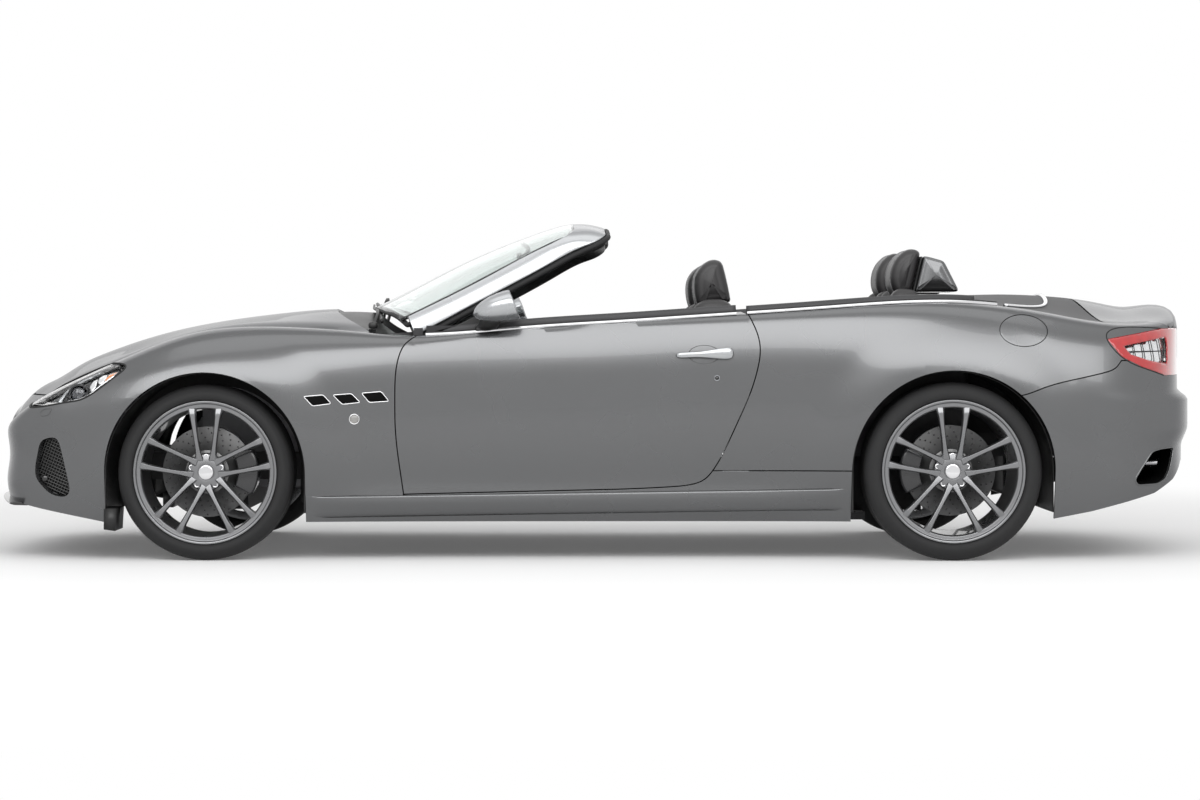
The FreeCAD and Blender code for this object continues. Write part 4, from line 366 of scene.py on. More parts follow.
def deck_place(p):
    """The deck rays' u and v of points: the offset, and a share of the angle about the cross line."""
    return -p[:, 1], DECK_TURN * np.arctan2(p[:, 2] - DECK_LINE[1], p[:, 0] - DECK_LINE[0])


FAMILIES = {
    "side": (side_rays, side_place), "nose": (nose_rays, nose_place),
    "tail": (tail_rays, tail_place), "hood": (hood_rays, hood_place),
    "deck": (deck_rays, deck_place),
}


def spread(points, spacing, closed=True):
    """Points along a polyline at an even spacing, its own corners kept."""
    points = np.asarray(points, float)
    ends = np.roll(points, -1, 0) if closed else points[1:]
    starts = points if closed else points[:-1]
    out = []
    for a, b in zip(starts, ends):
        n = max(1, int(round(np.linalg.norm(b - a) / spacing)))
        out.append(a + (b - a) * np.arange(n)[:, None] / n)
    if not closed:
        out.append(points[-1:])
    return np.concatenate(out)


def smooth_line(points, count=40):
    """Natural cubic through 2-D points, by chord length."""
    points = np.asarray(points, float)
    along = np.concatenate([[0], np.cumsum(np.linalg.norm(np.diff(points, axis=0), axis=1))])
    t = np.linspace(0, along[-1], count)
    return np.stack([curve(list(zip(along, points[:, k])))(t) for k in range(points.shape[1])], -1)


def inside(points, loop):
    """Even-odd test of 2-D points against a closed loop, all at once."""
    a, b = loop, np.roll(loop, -1, 0)
    x, y = points[:, 0:1], points[:, 1:2]
    crosses = (a[:, 1] > y) != (b[:, 1] > y)
    rise = np.where(b[:, 1] == a[:, 1], 1e-12, b[:, 1] - a[:, 1])
    left = x < (b[:, 0] - a[:, 0]) * (y - a[:, 1]) / rise + a[:, 0]
    return (np.sum(crosses & left, axis=1) % 2) == 1


def grow(loop, by):
    """Moves a closed loop out by a distance along the mean normal of its two sides."""
    loop = np.asarray(loop, float)
    area = np.sum(loop[:, 0] * np.roll(loop[:, 1], -1) - loop[:, 1] * np.roll(loop[:, 0], -1))
    side = np.roll(loop, -1, 0) - loop
    side /= np.linalg.norm(side, axis=1, keepdims=True)
    normal = np.stack([side[:, 1], -side[:, 0]], -1) * (1 if area > 0 else -1)
    mean = normal + np.roll(normal, 1, 0)
    mean /= np.maximum(np.sum(mean * normal, axis=1, keepdims=True), 0.4)
    return loop + mean * by


# Mirror across the middle plane, the views' axes, and starts of rays inside the form.
OTHER_SIDE = np.array([1.0, -1.0, 1.0])
SIDES = (("left", -1.0), ("right", 1.0))
VIEW_AXES = {"side": (0, 2), "plan": (0, 1), "front": (1, 2)}
INSIDE_Y, INSIDE_Z, INSIDE_X = -0.15, 0.40, -1.30
OFF_FORM_Y = -0.480


def on_form(view, loop):
    """Points of the left half of the form seen in a view at the loop's points."""
    a, b = loop[:, 0], loop[:, 1]
    if view == "side":
        start = np.stack([a, np.full_like(a, INSIDE_Y), b], -1)
        way = np.array([0.0, -1.0, 0.0])
    elif view == "plan":
        start = np.stack([a, b, np.full_like(a, INSIDE_Z)], -1)
        way = np.array([0.0, 0.0, 1.0])
    else:
        start = np.stack([np.full_like(a, INSIDE_X), a, b], -1)
        way = np.array([-1.0, 0.0, 0.0])
    found = reach(start, way)
    off = outside(start[:, 0], start[:, 1], start[:, 2]) > 0
    if view == "side":
        found[off, 1] = OFF_FORM_Y
    return found


def panel_mesh(family, u_range, v_range, spacing, keep=(), cut=()):
    """Triangles over the part of the form that lies in all the keep loops and in no cut loop.
    A grid of ray places is joined with the loops' own points by constrained triangulation, and
    every point is then carried out along its ray to the form."""
    rays, place = FAMILIES[family]
    nu = max(2, int(round((u_range[1] - u_range[0]) / spacing)))
    nv = max(2, int(round((v_range[1] - v_range[0]) / spacing)))
    gu, gv = np.meshgrid(np.linspace(*u_range, nu + 1), np.linspace(*v_range, nv + 1), indexing="ij")
    flat = np.stack([gu.ravel(), gv.ravel()], -1)
    lines, edges, count = [], [], 0
    for view, loop in list(keep) + list(cut):
        dense = spread(loop, 0.8 * spacing)
        uv = np.stack(place(on_form(view, dense)), -1)
        lines.append(uv)
        n = len(uv)
        edges += [(count + i, count + (i + 1) % n) for i in range(n)]
        count += n
    if lines:
        marks = np.concatenate(lines)
        near = np.zeros(len(flat), bool)
        for chunk in np.array_split(np.arange(len(flat)), max(1, len(flat) // 2000)):
            gap = np.linalg.norm(flat[chunk, None] - marks[None], axis=2).min(axis=1)
            near[chunk] = gap < 0.55 * spacing
        flat = np.concatenate([marks, flat[~near]])
    out = geometry.delaunay_2d_cdt([Vector(p) for p in flat.tolist()], edges, [], 0, 1e-7)
    uv = np.array([tuple(v) for v in out[0]])
    tris = np.array([f for f in out[2] if len(f) == 3])
    start, way = rays(uv[:, 0], uv[:, 1])
    points = reach(start, way)
    mids = uv[tris].mean(axis=1)
    in_range = (mids[:, 0] > u_range[0]) & (mids[:, 0] < u_range[1])
    in_range &= (mids[:, 1] > v_range[0]) & (mids[:, 1] < v_range[1])
    mids = points[tris].mean(axis=1)
    for view, loop in keep:
        in_range &= inside(mids[:, VIEW_AXES[view]], np.asarray(loop))
    for view, loop in cut:
        in_range &= ~inside(mids[:, VIEW_AXES[view]], np.asarray(loop))
    tris = tris[in_range]
    used, flat_tris = np.unique(tris, return_inverse=True)
    points = points[used]
    tris = flat_tris.reshape(-1, 3)
    normal = np.cross(points[tris[:, 1]] - points[tris[:, 0]], points[tris[:, 2]] - points[tris[:, 0]])
    out_way = outward(points[tris].mean(axis=1))
    if np.sum(np.sum(normal * out_way, axis=1) > 0) < len(tris) / 2:
        tris = tris[:, ::-1]
    return points, tris


def mirrored(points, faces):
    """The mesh joined with its mirror image across the middle plane."""
    n = len(points)
    return np.concatenate([points, points * OTHER_SIDE]), np.concatenate([faces, faces[:, ::-1] + n])


# Mesh helpers.
def add_piece(name, points, faces, body, look, smooth=True, replaces=(), slot=None, uv=None):
    """Puts whole arrays of points and faces into a new mesh object that rides on a body."""
    mesh = bpy.data.meshes.new(name)
    points = np.asarray(points, np.float64).reshape(-1, 3)
    mesh.from_pydata(points.tolist(), [], [tuple(int(i) for i in f) for f in faces])
    mesh.polygons.foreach_set("use_smooth", np.full(len(mesh.polygons), smooth))
    if uv is not None:
        layer = mesh.uv_layers.new(name="UVMap")
        index = np.empty(len(mesh.loops), np.int32)
        mesh.loops.foreach_get("vertex_index", index)
        layer.data.foreach_set("uv", np.asarray(uv, float).reshape(-1, 2)[index].ravel())
    mesh.update()
    piece = bpy.data.objects.new(name, mesh)
    bpy.context.scene.collection.objects.link(piece)
    mesh.materials.append(look)
    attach(piece, body)
    if replaces:
        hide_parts(*replaces)
    return piece


def thicken(piece, thickness, bevel=0.0, offset=-1.0):
    """A wall inwards, or both ways with an offset of 0, and a small round on its sharp edges."""
    wall = piece.modifiers.new("wall", "SOLIDIFY")
    wall.thickness, wall.offset = thickness, offset
    return soften(piece, bevel, 2, 50) if bevel else piece


def soften(piece, width, segments=2, angle=40.0):
    """Rounds edges sharper than an angle, with normals that follow the larger faces."""
    edge = piece.modifiers.new("edge", "BEVEL")
    edge.width, edge.segments = width, segments
    edge.limit_method, edge.angle_limit = "ANGLE", math.radians(angle)
    edge.use_clamp_overlap = True
    weight = piece.modifiers.new("normals", "WEIGHTED_NORMAL")
    weight.keep_sharp = False
    return piece


def grid_faces(m, n, closed_m=False, closed_n=False):
    """Quads of an m by n grid of points, wrapped round in either direction."""
    i = np.arange(m if closed_m else m - 1)
    j = np.arange(n if closed_n else n - 1)
    i, j = np.meshgrid(i, j, indexing="ij")
    a = i * n + j
    b = ((i + 1) % m) * n + j
    c = ((i + 1) % m) * n + (j + 1) % n
    d = i * n + (j + 1) % n
    return np.stack([a, b, c, d], -1).reshape(-1, 4)


def joined(*parts):
    """Several (points, faces) meshes as one."""
    points, faces, count = [], [], 0
    for p, f in parts:
        p = np.asarray(p, float).reshape(-1, 3)
        points.append(p)
        faces += [tuple(int(i) + count for i in face) for face in f]
        count += len(p)
    return np.concatenate(points), faces


def moved(mesh, by):
    """A (points, faces) mesh moved by a shift."""
    return mesh[0] + by, mesh[1]


def prism(face, shift):
    """A closed form between a loop of points and the same loop moved by a shift."""
    n = len(face)
    walls = [(i, n + i, n + (i + 1) % n, (i + 1) % n) for i in range(n)]
    return np.concatenate([face, face + shift]), [tuple(range(n)), tuple(range(2 * n - 1, n - 1, -1))] + walls


def capped(m, n, faces, flip=False):
    """Closes a tube of m rings of n points with an end face at each end."""
    faces = [tuple(f) for f in faces]
    first, last = tuple(range(n)), tuple((m - 1) * n + k for k in range(n))
    faces.append(first if flip else first[::-1])
    faces.append(last[::-1] if flip else last)
    return faces


def floored(m, n):
    """The faces of a tube of m rings of n points that is open at its first ring only."""
    return [tuple(f) for f in grid_faces(m, n, False, True)] + [tuple((m - 1) * n + k for k in range(n))]


def frames_along(path, up=(0.0, 0.0, 1.0)):
    """Tangent, side and upper direction at each point of a path."""
    tangent = np.gradient(path, axis=0)
    tangent /= np.linalg.norm(tangent, axis=1, keepdims=True)
    up = np.broadcast_to(np.asarray(up, float), tangent.shape)
    side = np.cross(tangent, up)
    side /= np.maximum(np.linalg.norm(side, axis=1, keepdims=True), 1e-9)
    return tangent, side, np.cross(side, tangent)


def sweep(path, profile, up=(0.0, 0.0, 1.0), closed=False, scale=None):
    """A closed profile of (side, up) offsets carried along a path, with capped ends."""
    path = np.asarray(path, float)
    if closed:
        wrapped = np.concatenate([path[-1:], path, path[:1]])
        _, side, high = (a[1:-1] for a in frames_along(wrapped, up))
    else:
        _, side, high = frames_along(path, up)
    profile = np.asarray(profile, float)
    size = np.ones(len(path)) if scale is None else np.asarray(scale, float)
    points = path[:, None] + size[:, None, None] * (
        profile[None, :, 0:1] * side[:, None] + profile[None, :, 1:2] * high[:, None])
    faces = grid_faces(len(path), len(profile), closed, True)
    if closed:
        return points.reshape(-1, 3), faces
    return points.reshape(-1, 3), capped(len(path), len(profile), faces, flip=True)


def round_profile(radius, count=12, wide=1.0):
    """An ellipse of (side, up) offsets: the cosine times radius and width, the sine times radius."""
    t = np.linspace(0, 2 * np.pi, count, endpoint=False)
    return np.stack([radius * wide * np.cos(t), radius * np.sin(t)], -1)


def lathe(profile, count=96, centre=(0.0, 0.0, 0.0), side=1.0):
    """A closed loop of (radius, y) points turned about a line along Y through the centre."""
    profile = np.asarray(profile, float)
    t = np.linspace(0, 2 * np.pi, count, endpoint=False)
    points = np.stack([
        profile[None, :, 0] * np.cos(t)[:, None],
        np.broadcast_to(side * profile[None, :, 1], (count, len(profile))),
        profile[None, :, 0] * np.sin(t)[:, None],
    ], -1)
    return points.reshape(-1, 3) + np.asarray(centre), grid_faces(count, len(profile), True, True)


def rounded_slab(size, centre, power=4.0, count=(24, 32), turn=None):
    """A superellipsoid: each axis is a signed power of the sphere's own coordinate."""
    a = np.linspace(-np.pi / 2, np.pi / 2, count[0])
    b = np.linspace(0, 2 * np.pi, count[1], endpoint=False)
    a, b = np.meshgrid(a, b, indexing="ij")
    sharp = 2.0 / power

    def bent(value):
        return np.sign(value) * np.abs(value) ** sharp

    level = bent(np.cos(a))
    unit = np.stack([level * bent(np.cos(b)), level * bent(np.sin(b)), bent(np.sin(a))], -1)
    points = unit.reshape(-1, 3) * np.asarray(size) / 2
    if turn is not None:
        points = points @ np.asarray(turn).T
    return points + np.asarray(centre), grid_faces(count[0], count[1], False, True)


def solid(name, mesh, body, look, slot=None, replaces=(), closed=True):
    """A piece from a (points, faces) mesh: its doubles merged and, where it is closed, its faces
    turned outwards."""
    piece = add_piece(name, *mesh, body, look, replaces=replaces, slot=slot)
    work = bmesh.new()
    work.from_mesh(piece.data)
    bmesh.ops.remove_doubles(work, verts=work.verts, dist=1e-5)
    if closed:
        bmesh.ops.recalc_face_normals(work, faces=work.faces)
    work.to_mesh(piece.data)
    work.free()
    return piece


def turn_about(axis, degrees):
    """Rotation matrix about a unit axis by the skew-matrix formula."""
    k = np.asarray(axis, float) / np.linalg.norm(axis)
    t = math.radians(degrees)
    skew = np.array([[0, -k[2], k[1]], [k[2], 0, -k[0]], [-k[1], k[0], 0]])
    return np.eye(3) + math.sin(t) * skew + (1 - math.cos(t)) * skew @ skew


# Materials.
LOOKS = {}


def made_once(make):
    """Makes each named look once, and gives the same one for every later piece."""
    def look(name, *args, **kwargs):
        if name not in LOOKS:
            LOOKS[name] = make(name, *args, **kwargs)
        return LOOKS[name]
    return look


def set_inputs(node, **values):
    """Sets a node's own sockets by name, with an underscore for a space."""
    for key, value in values.items():
        node.inputs[key.replace("_", " ")].default_value = value


def add_node(tree, kind, source=None, **values):
    """A node of a kind, with its first socket fed by another node's output."""
    node = tree.nodes.new("ShaderNode" + kind)
    set_inputs(node, **values)
    if source is not None:
        tree.links.new(source, node.inputs[0])
    return node


def new_look(name):
    """A node material, its tree and shader, and the output with the piece's own coordinates."""
    material = bpy.data.materials.new(name)
    material.use_nodes = True
    tree = material.node_tree
    return material, tree, tree.nodes["Principled BSDF"], add_node(tree, "TexCoord").outputs["Object"]


def tones(tree, source, colour, low, high, start=0.0, end=1.0):
    """The base colour, from a low share of it to a high one between two values of an output."""
    node = add_node(tree, "ValToRGB", source)
    node.color_ramp.elements[0].position = start
    node.color_ramp.elements[1].position = end
    for stop, share in zip(node.color_ramp.elements, (low, high)):
        stop.color = (*np.clip(np.array(colour[:3]) * share, 0, 1), 1.0)
    tree.links.new(node.outputs[0], tree.nodes["Principled BSDF"].inputs["Base Color"])


def drift(tree, source, low, high):
    """Roughness that runs from low to high with an output."""
    node = add_node(tree, "MapRange", source, To_Min=low, To_Max=high)
    tree.links.new(node.outputs[0], tree.nodes["Principled BSDF"].inputs["Roughness"])


def relief(tree, source, strength, distance):
    """Fine relief whose height is an output times the distance."""
    node = add_node(tree, "Bump", Strength=strength, Distance=distance)
    tree.links.new(source, node.inputs["Height"])
    tree.links.new(node.outputs[0], tree.nodes["Principled BSDF"].inputs["Normal"])


@made_once
def finish(name, colour, rough=0.5, metal=0.0, vary=0.08, grain=60.0, bump=0.1, depth=0.0005,
           coat=0.0, sheen=0.0, specular=0.5):
    """A finish whose colour and roughness drift with one noise and whose relief is a finer one."""
    material, tree, shader, place = new_look(name)
    broad = add_node(tree, "TexNoise", place, Scale=grain / 8, Detail=4.0).outputs["Fac"]
    tones(tree, broad, colour, 1 - vary, 1 + vary, 0.3, 0.7)
    drift(tree, broad, max(0.02, rough * 0.88), min(1.0, rough * 1.12))
    set_inputs(shader, Metallic=metal, Coat_Weight=coat, Sheen_Weight=sheen, Specular_IOR_Level=specular)
    if bump:
        fine = add_node(tree, "TexNoise", place, Scale=grain * 8, Detail=3.0).outputs["Fac"]
        relief(tree, fine, bump, depth)
    return material


@made_once
def paint(name, colour):
    """Metallic paint: fine flakes that shift the base's brightness under a clear coat."""
    material, tree, shader, place = new_look(name)
    flake = add_node(tree, "TexVoronoi", place, Scale=1400.0)
    tones(tree, flake.outputs["Color"], colour, 0.93, 1.07)
    slow = add_node(tree, "TexNoise", place, Scale=3.0)
    drift(tree, slow.outputs["Fac"], 0.24, 0.30)
    set_inputs(shader, Metallic=0.88, Specular_Tint=(0.35, 0.35, 0.36, 1.0), Coat_Weight=0.45,
               Coat_Roughness=0.02)
    return material


@made_once
def hide(name, colour, rough=0.42):
    """Leather: rounded cells of grain with fine pores, its tone drifting with a broad noise."""
    material, tree, _, place = new_look(name)
    cells = add_node(tree, "TexVoronoi", place, Scale=420.0)
    broad = add_node(tree, "TexNoise", place, Scale=9.0, Detail=5.0).outputs["Fac"]
    tones(tree, broad, colour, 0.8, 1.25)
    drift(tree, broad, rough * 0.9, rough * 1.2)
    relief(tree, cells.outputs["Distance"], 0.35, 0.0006)
    return material


@made_once
def clear(name, colour, ior=1.45):
    """Clear glass or lens: transmission with a tint that drifts slightly."""
    material, tree, shader, place = new_look(name)
    broad = add_node(tree, "TexNoise", place, Scale=4.0)
    tones(tree, broad.outputs["Fac"], colour, 0.98, 1.02)
    set_inputs(shader, Roughness=0.0, IOR=ior, Transmission_Weight=1.0)
    return material


# Each look of the car: its kind, name and colour, then its roughness and how much that drifts.
def body_paint():
    return paint("dark_silver_paint", tint("body"))


def bright_paint():
    return paint("silver_paint", tint("bright"))


def black_plastic():
    return finish("black_plastic", tint("plastic"), 0.45, vary=0.15, grain=90, bump=0.15)


def gloss_black():
    return finish("gloss_black", tint("gloss"), 0.12, vary=0.15, grain=20, bump=0.0, coat=0.5)


def cover_leatherette():
    return finish("cover_leatherette", tint("cover"), 0.62, vary=0.06, grain=160, bump=0.12, specular=0.2)


# Near-black and matt: the real black trim round the exhaust tips, and painted shade for the dark inside the
# fender vents and the pipes.
def vent_shade():
    return finish("vent_shade", (0.004, 0.004, 0.004), 0.9, vary=0.2, grain=60, bump=0.05, specular=0.1)


def chrome():
    return finish("bright_metal", tint("metal"), 0.09, metal=1.0, vary=0.03, grain=12, bump=0.0)


def rubber():
    return finish("tyre_rubber", tint("rubber"), 0.75, vary=0.2, grain=70, bump=0.25, depth=0.0008)


def wheel_metal():
    return finish("wheel_paint", tint("wheel"), 0.28, metal=0.85, vary=0.05, grain=40, bump=0.04, coat=0.6)


def disc_metal():
    return finish("brake_steel", tint("disc"), 0.42, metal=0.9, vary=0.08, grain=120, bump=0.1)


def under_metal():
    return finish("chassis_coating", (0.018, 0.018, 0.019), 0.6, vary=0.25, grain=30, bump=0.2)


def mirror_silver():
    return finish("mirror_silver", (0.75, 0.76, 0.78), 0.03, metal=1.0, vary=0.02, grain=8, bump=0.0)


# Painted shade: the door handle's recess gets a far darker finish than the body's paint, standing for the
# shade inside it.
def cup_shade():
    return finish("cup_shade", (0.050, 0.051, 0.052), 0.35, metal=0.6, vary=0.1, grain=40, bump=0.05,
        coat=0.6)


def pale_lens():
    return finish("lens_pale", (0.26, 0.255, 0.245), 0.2, vary=0.1, grain=200, bump=0.3, coat=0.5)


def projector_glass():
    return finish("projector_glass", (0.05, 0.053, 0.06), 0.10, metal=0.2, vary=0.05, grain=10, bump=0.0,
                  coat=1.0)


def caliper_enamel():
    return finish("caliper_enamel", tint("caliper"), 0.25, metal=0.2, vary=0.1, grain=60, bump=0.05, coat=0.7)


def lens_glass():
    return clear("lamp_lens", (0.97, 0.97, 0.97), 1.07)


def lamp_dark():
    return finish("lamp_bezel", (0.040, 0.041, 0.043), 0.55, vary=0.15, grain=30, bump=0.05, specular=0.2)


def lamp_bright():
    return finish("lamp_reflector", (0.78, 0.79, 0.80), 0.12, metal=0.9, vary=0.06, grain=90, bump=0.10)


def lamp_trim():
    return finish("lamp_trim", (0.30, 0.31, 0.32), 0.25, metal=0.8, vary=0.05, grain=30, bump=0.02)


def amber():
    return finish("amber_lens", tint("amber"), 0.14, vary=0.15, grain=220, bump=0.25, coat=1.0)


def red_lens():
    return finish("red_lens", tint("red"), 0.12, vary=0.12, grain=260, bump=0.12, coat=1.0)


def pipe_steel():
    return finish("pipe_steel", (0.30, 0.30, 0.31), 0.22, metal=1.0, vary=0.08, grain=50, bump=0.05)


def thread_look():
    return finish("grey_stitching", tint("thread"), 0.7, vary=0.4, grain=900, bump=0.4)


def cover_cloth():
    return finish("cover_cloth", (0.045, 0.045, 0.047), 0.85, vary=0.2, grain=600, bump=0.4, sheen=0.2)


def engine_metal():
    return finish("engine_metal", (0.22, 0.22, 0.23), 0.45, metal=0.8, vary=0.25, grain=40, bump=0.3)


def dark_leather():
    return hide("seat_leather", tint("leather"))


def trim_leather():
    return hide("trim_leather", tint("lining"), 0.5)


def carpet():
    return finish("carpet", tint("carpet"), 0.95, vary=0.3, grain=300, bump=0.6, depth=0.002, sheen=0.3)


# Outlines of the left half. UNDER and FAR lie beyond the car.
LID_FRONT, LID_HALF_WIDTH = 1.985, 0.640
COVER_FRONT, COVER_HALF_WIDTH = 1.440, 0.700
BUMPER_TOP, CHIN_HEIGHT, SILL_FOOT = 0.640, 0.150, 0.150
UNDER, FAR = -0.2, 4.0


def in_metres(shares):
    """Side-view shares of the half length and the height, as metres."""
    return np.array(shares) * np.array([HALF_LENGTH, HEIGHT])


def ring(x, z, rx, rz, count=72):
    """An ellipse in the side view: the centre plus the two radii times cosine and sine."""
    t = np.linspace(0, 2 * np.pi, count, endpoint=False)
    return np.stack([x + rx * np.cos(t), z + rz * np.sin(t)], -1)


def block(a_low, a_high, b_low, b_high):
    """A rectangle in a view, between two places on each of its axes."""
    return np.array([(a_low, b_low), (a_high, b_low), (a_high, b_high), (a_low, b_high)])


def arch_loop(axle, hub, radius):
    """Half circle over the hub and straight down on both sides."""
    t = np.linspace(np.pi, 0, 60)
    over = np.stack([axle + radius * np.cos(t), hub + radius * np.sin(t)], -1)
    return np.concatenate([[(axle - radius, -0.2)], over, [(axle + radius, -0.2)]])


def door_loop(by=0.0):
    """The door's outline in the side view, moved out all round by a distance."""
    points = in_metres(DOOR_SHARES)
    front = smooth_line(points[:8], 36)
    rear = smooth_line(points[8:], 60)
    outline = np.concatenate([front, rear])
    return grow(np.concatenate([outline, [(rear[-1, 0], 1.6), (front[0, 0], 1.6)]]), by)


def bonnet_loop(by=0.0):
    """Plan outline of the left half of the bonnet: nose edge, side line and bowed rear edge."""
    edge = np.array([(x * HALF_LENGTH, -y * HALF_WIDTH) for x, y in BONNET_EDGE_SHARES])
    edge = smooth_line(edge, 60)
    y = np.linspace(edge[-1, 1], 0.0, 24)
    rear = cross_line(-1.100, 0.440, y)
    loop = np.concatenate([edge, rear[1:], [(-1.10, 0.3), (edge[0, 0], 0.3)]])
    return grow(loop, by) if by else loop


def cross_line(x, bow, y):
    """A plan line across the car that runs back with the square of the offset."""
    return np.stack([x + bow * (y / HALF_WIDTH) ** 2, y], -1)


def lid_loop(by=0.0):
    """Plan outline of the boot lid's left half: its bowed front edge, then well past the tail."""
    front = cross_line(LID_FRONT, 0.060, np.linspace(-LID_HALF_WIDTH, 0.0, 24))
    loop = np.concatenate([front, [(LID_FRONT, 0.3), (3.0, 0.3), (3.0, -LID_HALF_WIDTH)]])
    return grow(loop, by)


def cover_loop(by=0.0):
    """Plan outline of the roof cover's left half, between two bowed lines across the car."""
    y = np.linspace(-COVER_HALF_WIDTH, 0.0, 24)
    front, rear = cross_line(COVER_FRONT, 0.300, y), cross_line(LID_FRONT, 0.060, y)[::-1]
    return grow(np.concatenate([front, [(COVER_FRONT, 0.3), (LID_FRONT, 0.3)], rear]), by)


def rear_bumper_loop(by=0.0):
    """Side outline of everything below and behind the rear bumper's shut line."""
    line = smooth_line(in_metres(REAR_SHUT_SHARES), 40)
    loop = np.concatenate([line, [(4.0, line[-1, 1]), (4.0, -0.2), (line[0, 0], -0.2)]])
    return grow(loop, by)


DOOR = door_loop()
ARCHES = [
    ("side", arch_loop(AXLE_FRONT, HUB_FRONT, ARCH_FRONT)),
    ("side", arch_loop(AXLE_REAR, HUB_REAR, ARCH_REAR)),
]
# The photograph's camera, its focal length and picture centre in pixels, and the eye's place.
PHOTO_FOCAL, PHOTO_DISTANCE = 2950.0, 12.5
PHOTO_CENTRE_X, PHOTO_CENTRE_Y = 579.0, 342.0
PHOTO_EYE_X, PHOTO_EYE_Z = -0.084, 0.86
LAMP_DEPTH, EXHAUST_DEPTH = -0.75, -0.70
HEADLAMP_PIXELS = [
    (28.3, 400), (29.5, 408.0), (50, 405.5), (68.9, 402), (85.7, 399.7), (98, 393.6), (114, 381.5),
    (130, 369), (130.5, 364.5), (121, 362.7), (101, 363.7), (82.7, 370.6), (64, 378.8), (46, 387.5),
]
PROJECTOR_PIXEL, SENSOR_PIXEL = (80.0, 388.5), (46.0, 478.0)
INTAKE_PIXELS = [
    (44.4, 439.5), (58.2, 435.7), (64.3, 439.5), (70, 463), (75, 487), (73.5, 493), (67.4, 496),
    (53.6, 493), (39, 477.8), (38.3, 465.5),
]
EXHAUST_PIXELS = [
    (1127, 478), (1132.8, 468.3), (1145.8, 449.9), (1156.5, 447.6), (1173.4, 446.8), (1171.8, 456),
    (1168, 468.3), (1162.7, 478.2), (1153.5, 482.8), (1130.5, 483.6),
]
CHIN_REAR_X = -1.9555
CHIN_SLOPE = math.tan(math.radians(10.8))
TAIL_UNDER = [
    (0.70, 0.0), (0.70, 0.112), (0.789, 0.142), (0.844, 0.167), (0.896, 0.192), (0.935, 0.230),
    (0.960, 0.277), (1.04, 0.310), (1.2, 0.31), (1.2, 0.0),
]
LAMP_REACH = {
    "nose": ((-1.5, -0.42), (0.55, 0.80)), "tail": ((0.30, 1.29), (0.70, 0.95)),
    "side": ((-2.4, 2.35), (-0.33, 0.74)),
}
INTAKE_REACH = ((-1.5, -0.40), (0.20, 0.52))
TAIL_LAMP = in_metres(TAIL_LAMP_SHARES)
FLAP = ring(1.665, 0.905, 0.095, 0.062)
MOUTH = ring(0.0, 0.470, 0.470, 0.140, 96)


def smooth_loop(corners, radius, count=7):
    """A polygon with each corner cut by an arc-like quadratic curve of the given reach."""
    out = []
    n = len(corners)
    for i in range(n):
        before, at, after = corners[i - 1], corners[i], corners[(i + 1) % n]
        a = at + (before - at) / np.linalg.norm(before - at) * min(radius, 0.45 * np.linalg.norm(before - at))
        b = at + (after - at) / np.linalg.norm(after - at) * min(radius, 0.45 * np.linalg.norm(after - at))
        s = np.linspace(0, 1, count)[:, None]
        out.append((1 - s) ** 2 * a + 2 * s * (1 - s) * at + s ** 2 * b)
    return np.concatenate(out)


def view_point(px, py, depth):
    """Side-view place of a photograph pixel on a plane at a given depth across the car."""
    scale = PHOTO_FOCAL / (PHOTO_DISTANCE + depth)
    return (px - PHOTO_CENTRE_X) / scale + PHOTO_EYE_X, PHOTO_EYE_Z + (PHOTO_CENTRE_Y - py) / scale


def view_loop(pixels, depth):
    """Side-view places of a list of photograph pixels."""
    return np.array([view_point(px, py, depth) for px, py in pixels])


HEADLAMP = smooth_loop(view_loop(HEADLAMP_PIXELS, LAMP_DEPTH), 0.030)
INTAKE = smooth_loop(view_loop(INTAKE_PIXELS, LAMP_DEPTH), 0.030)
EXHAUST = smooth_loop(view_loop(EXHAUST_PIXELS, EXHAUST_DEPTH), 0.015)
CHIN = np.array([(CHIN_REAR_X, CHIN_HEIGHT), (-2.60, CHIN_HEIGHT + (2.60 + CHIN_REAR_X) * CHIN_SLOPE),
                 (-2.60, UNDER), (CHIN_REAR_X, UNDER)])


def body_piece(name, mesh, body, look, replaces=(), both=True):
    """A painted panel: its trimmed sheet, mirrored where asked, with a wall and a rounded edge."""
    points, faces = mirrored(*mesh) if both else mesh
    points = np.clip(points, CAD_BOX[0], CAD_BOX[1])
    piece = solid(name, (points, faces), body, look, "body_paint", replaces, closed=False)
    return thicken(piece, setting("panel_wall"), setting("panel_edge"))


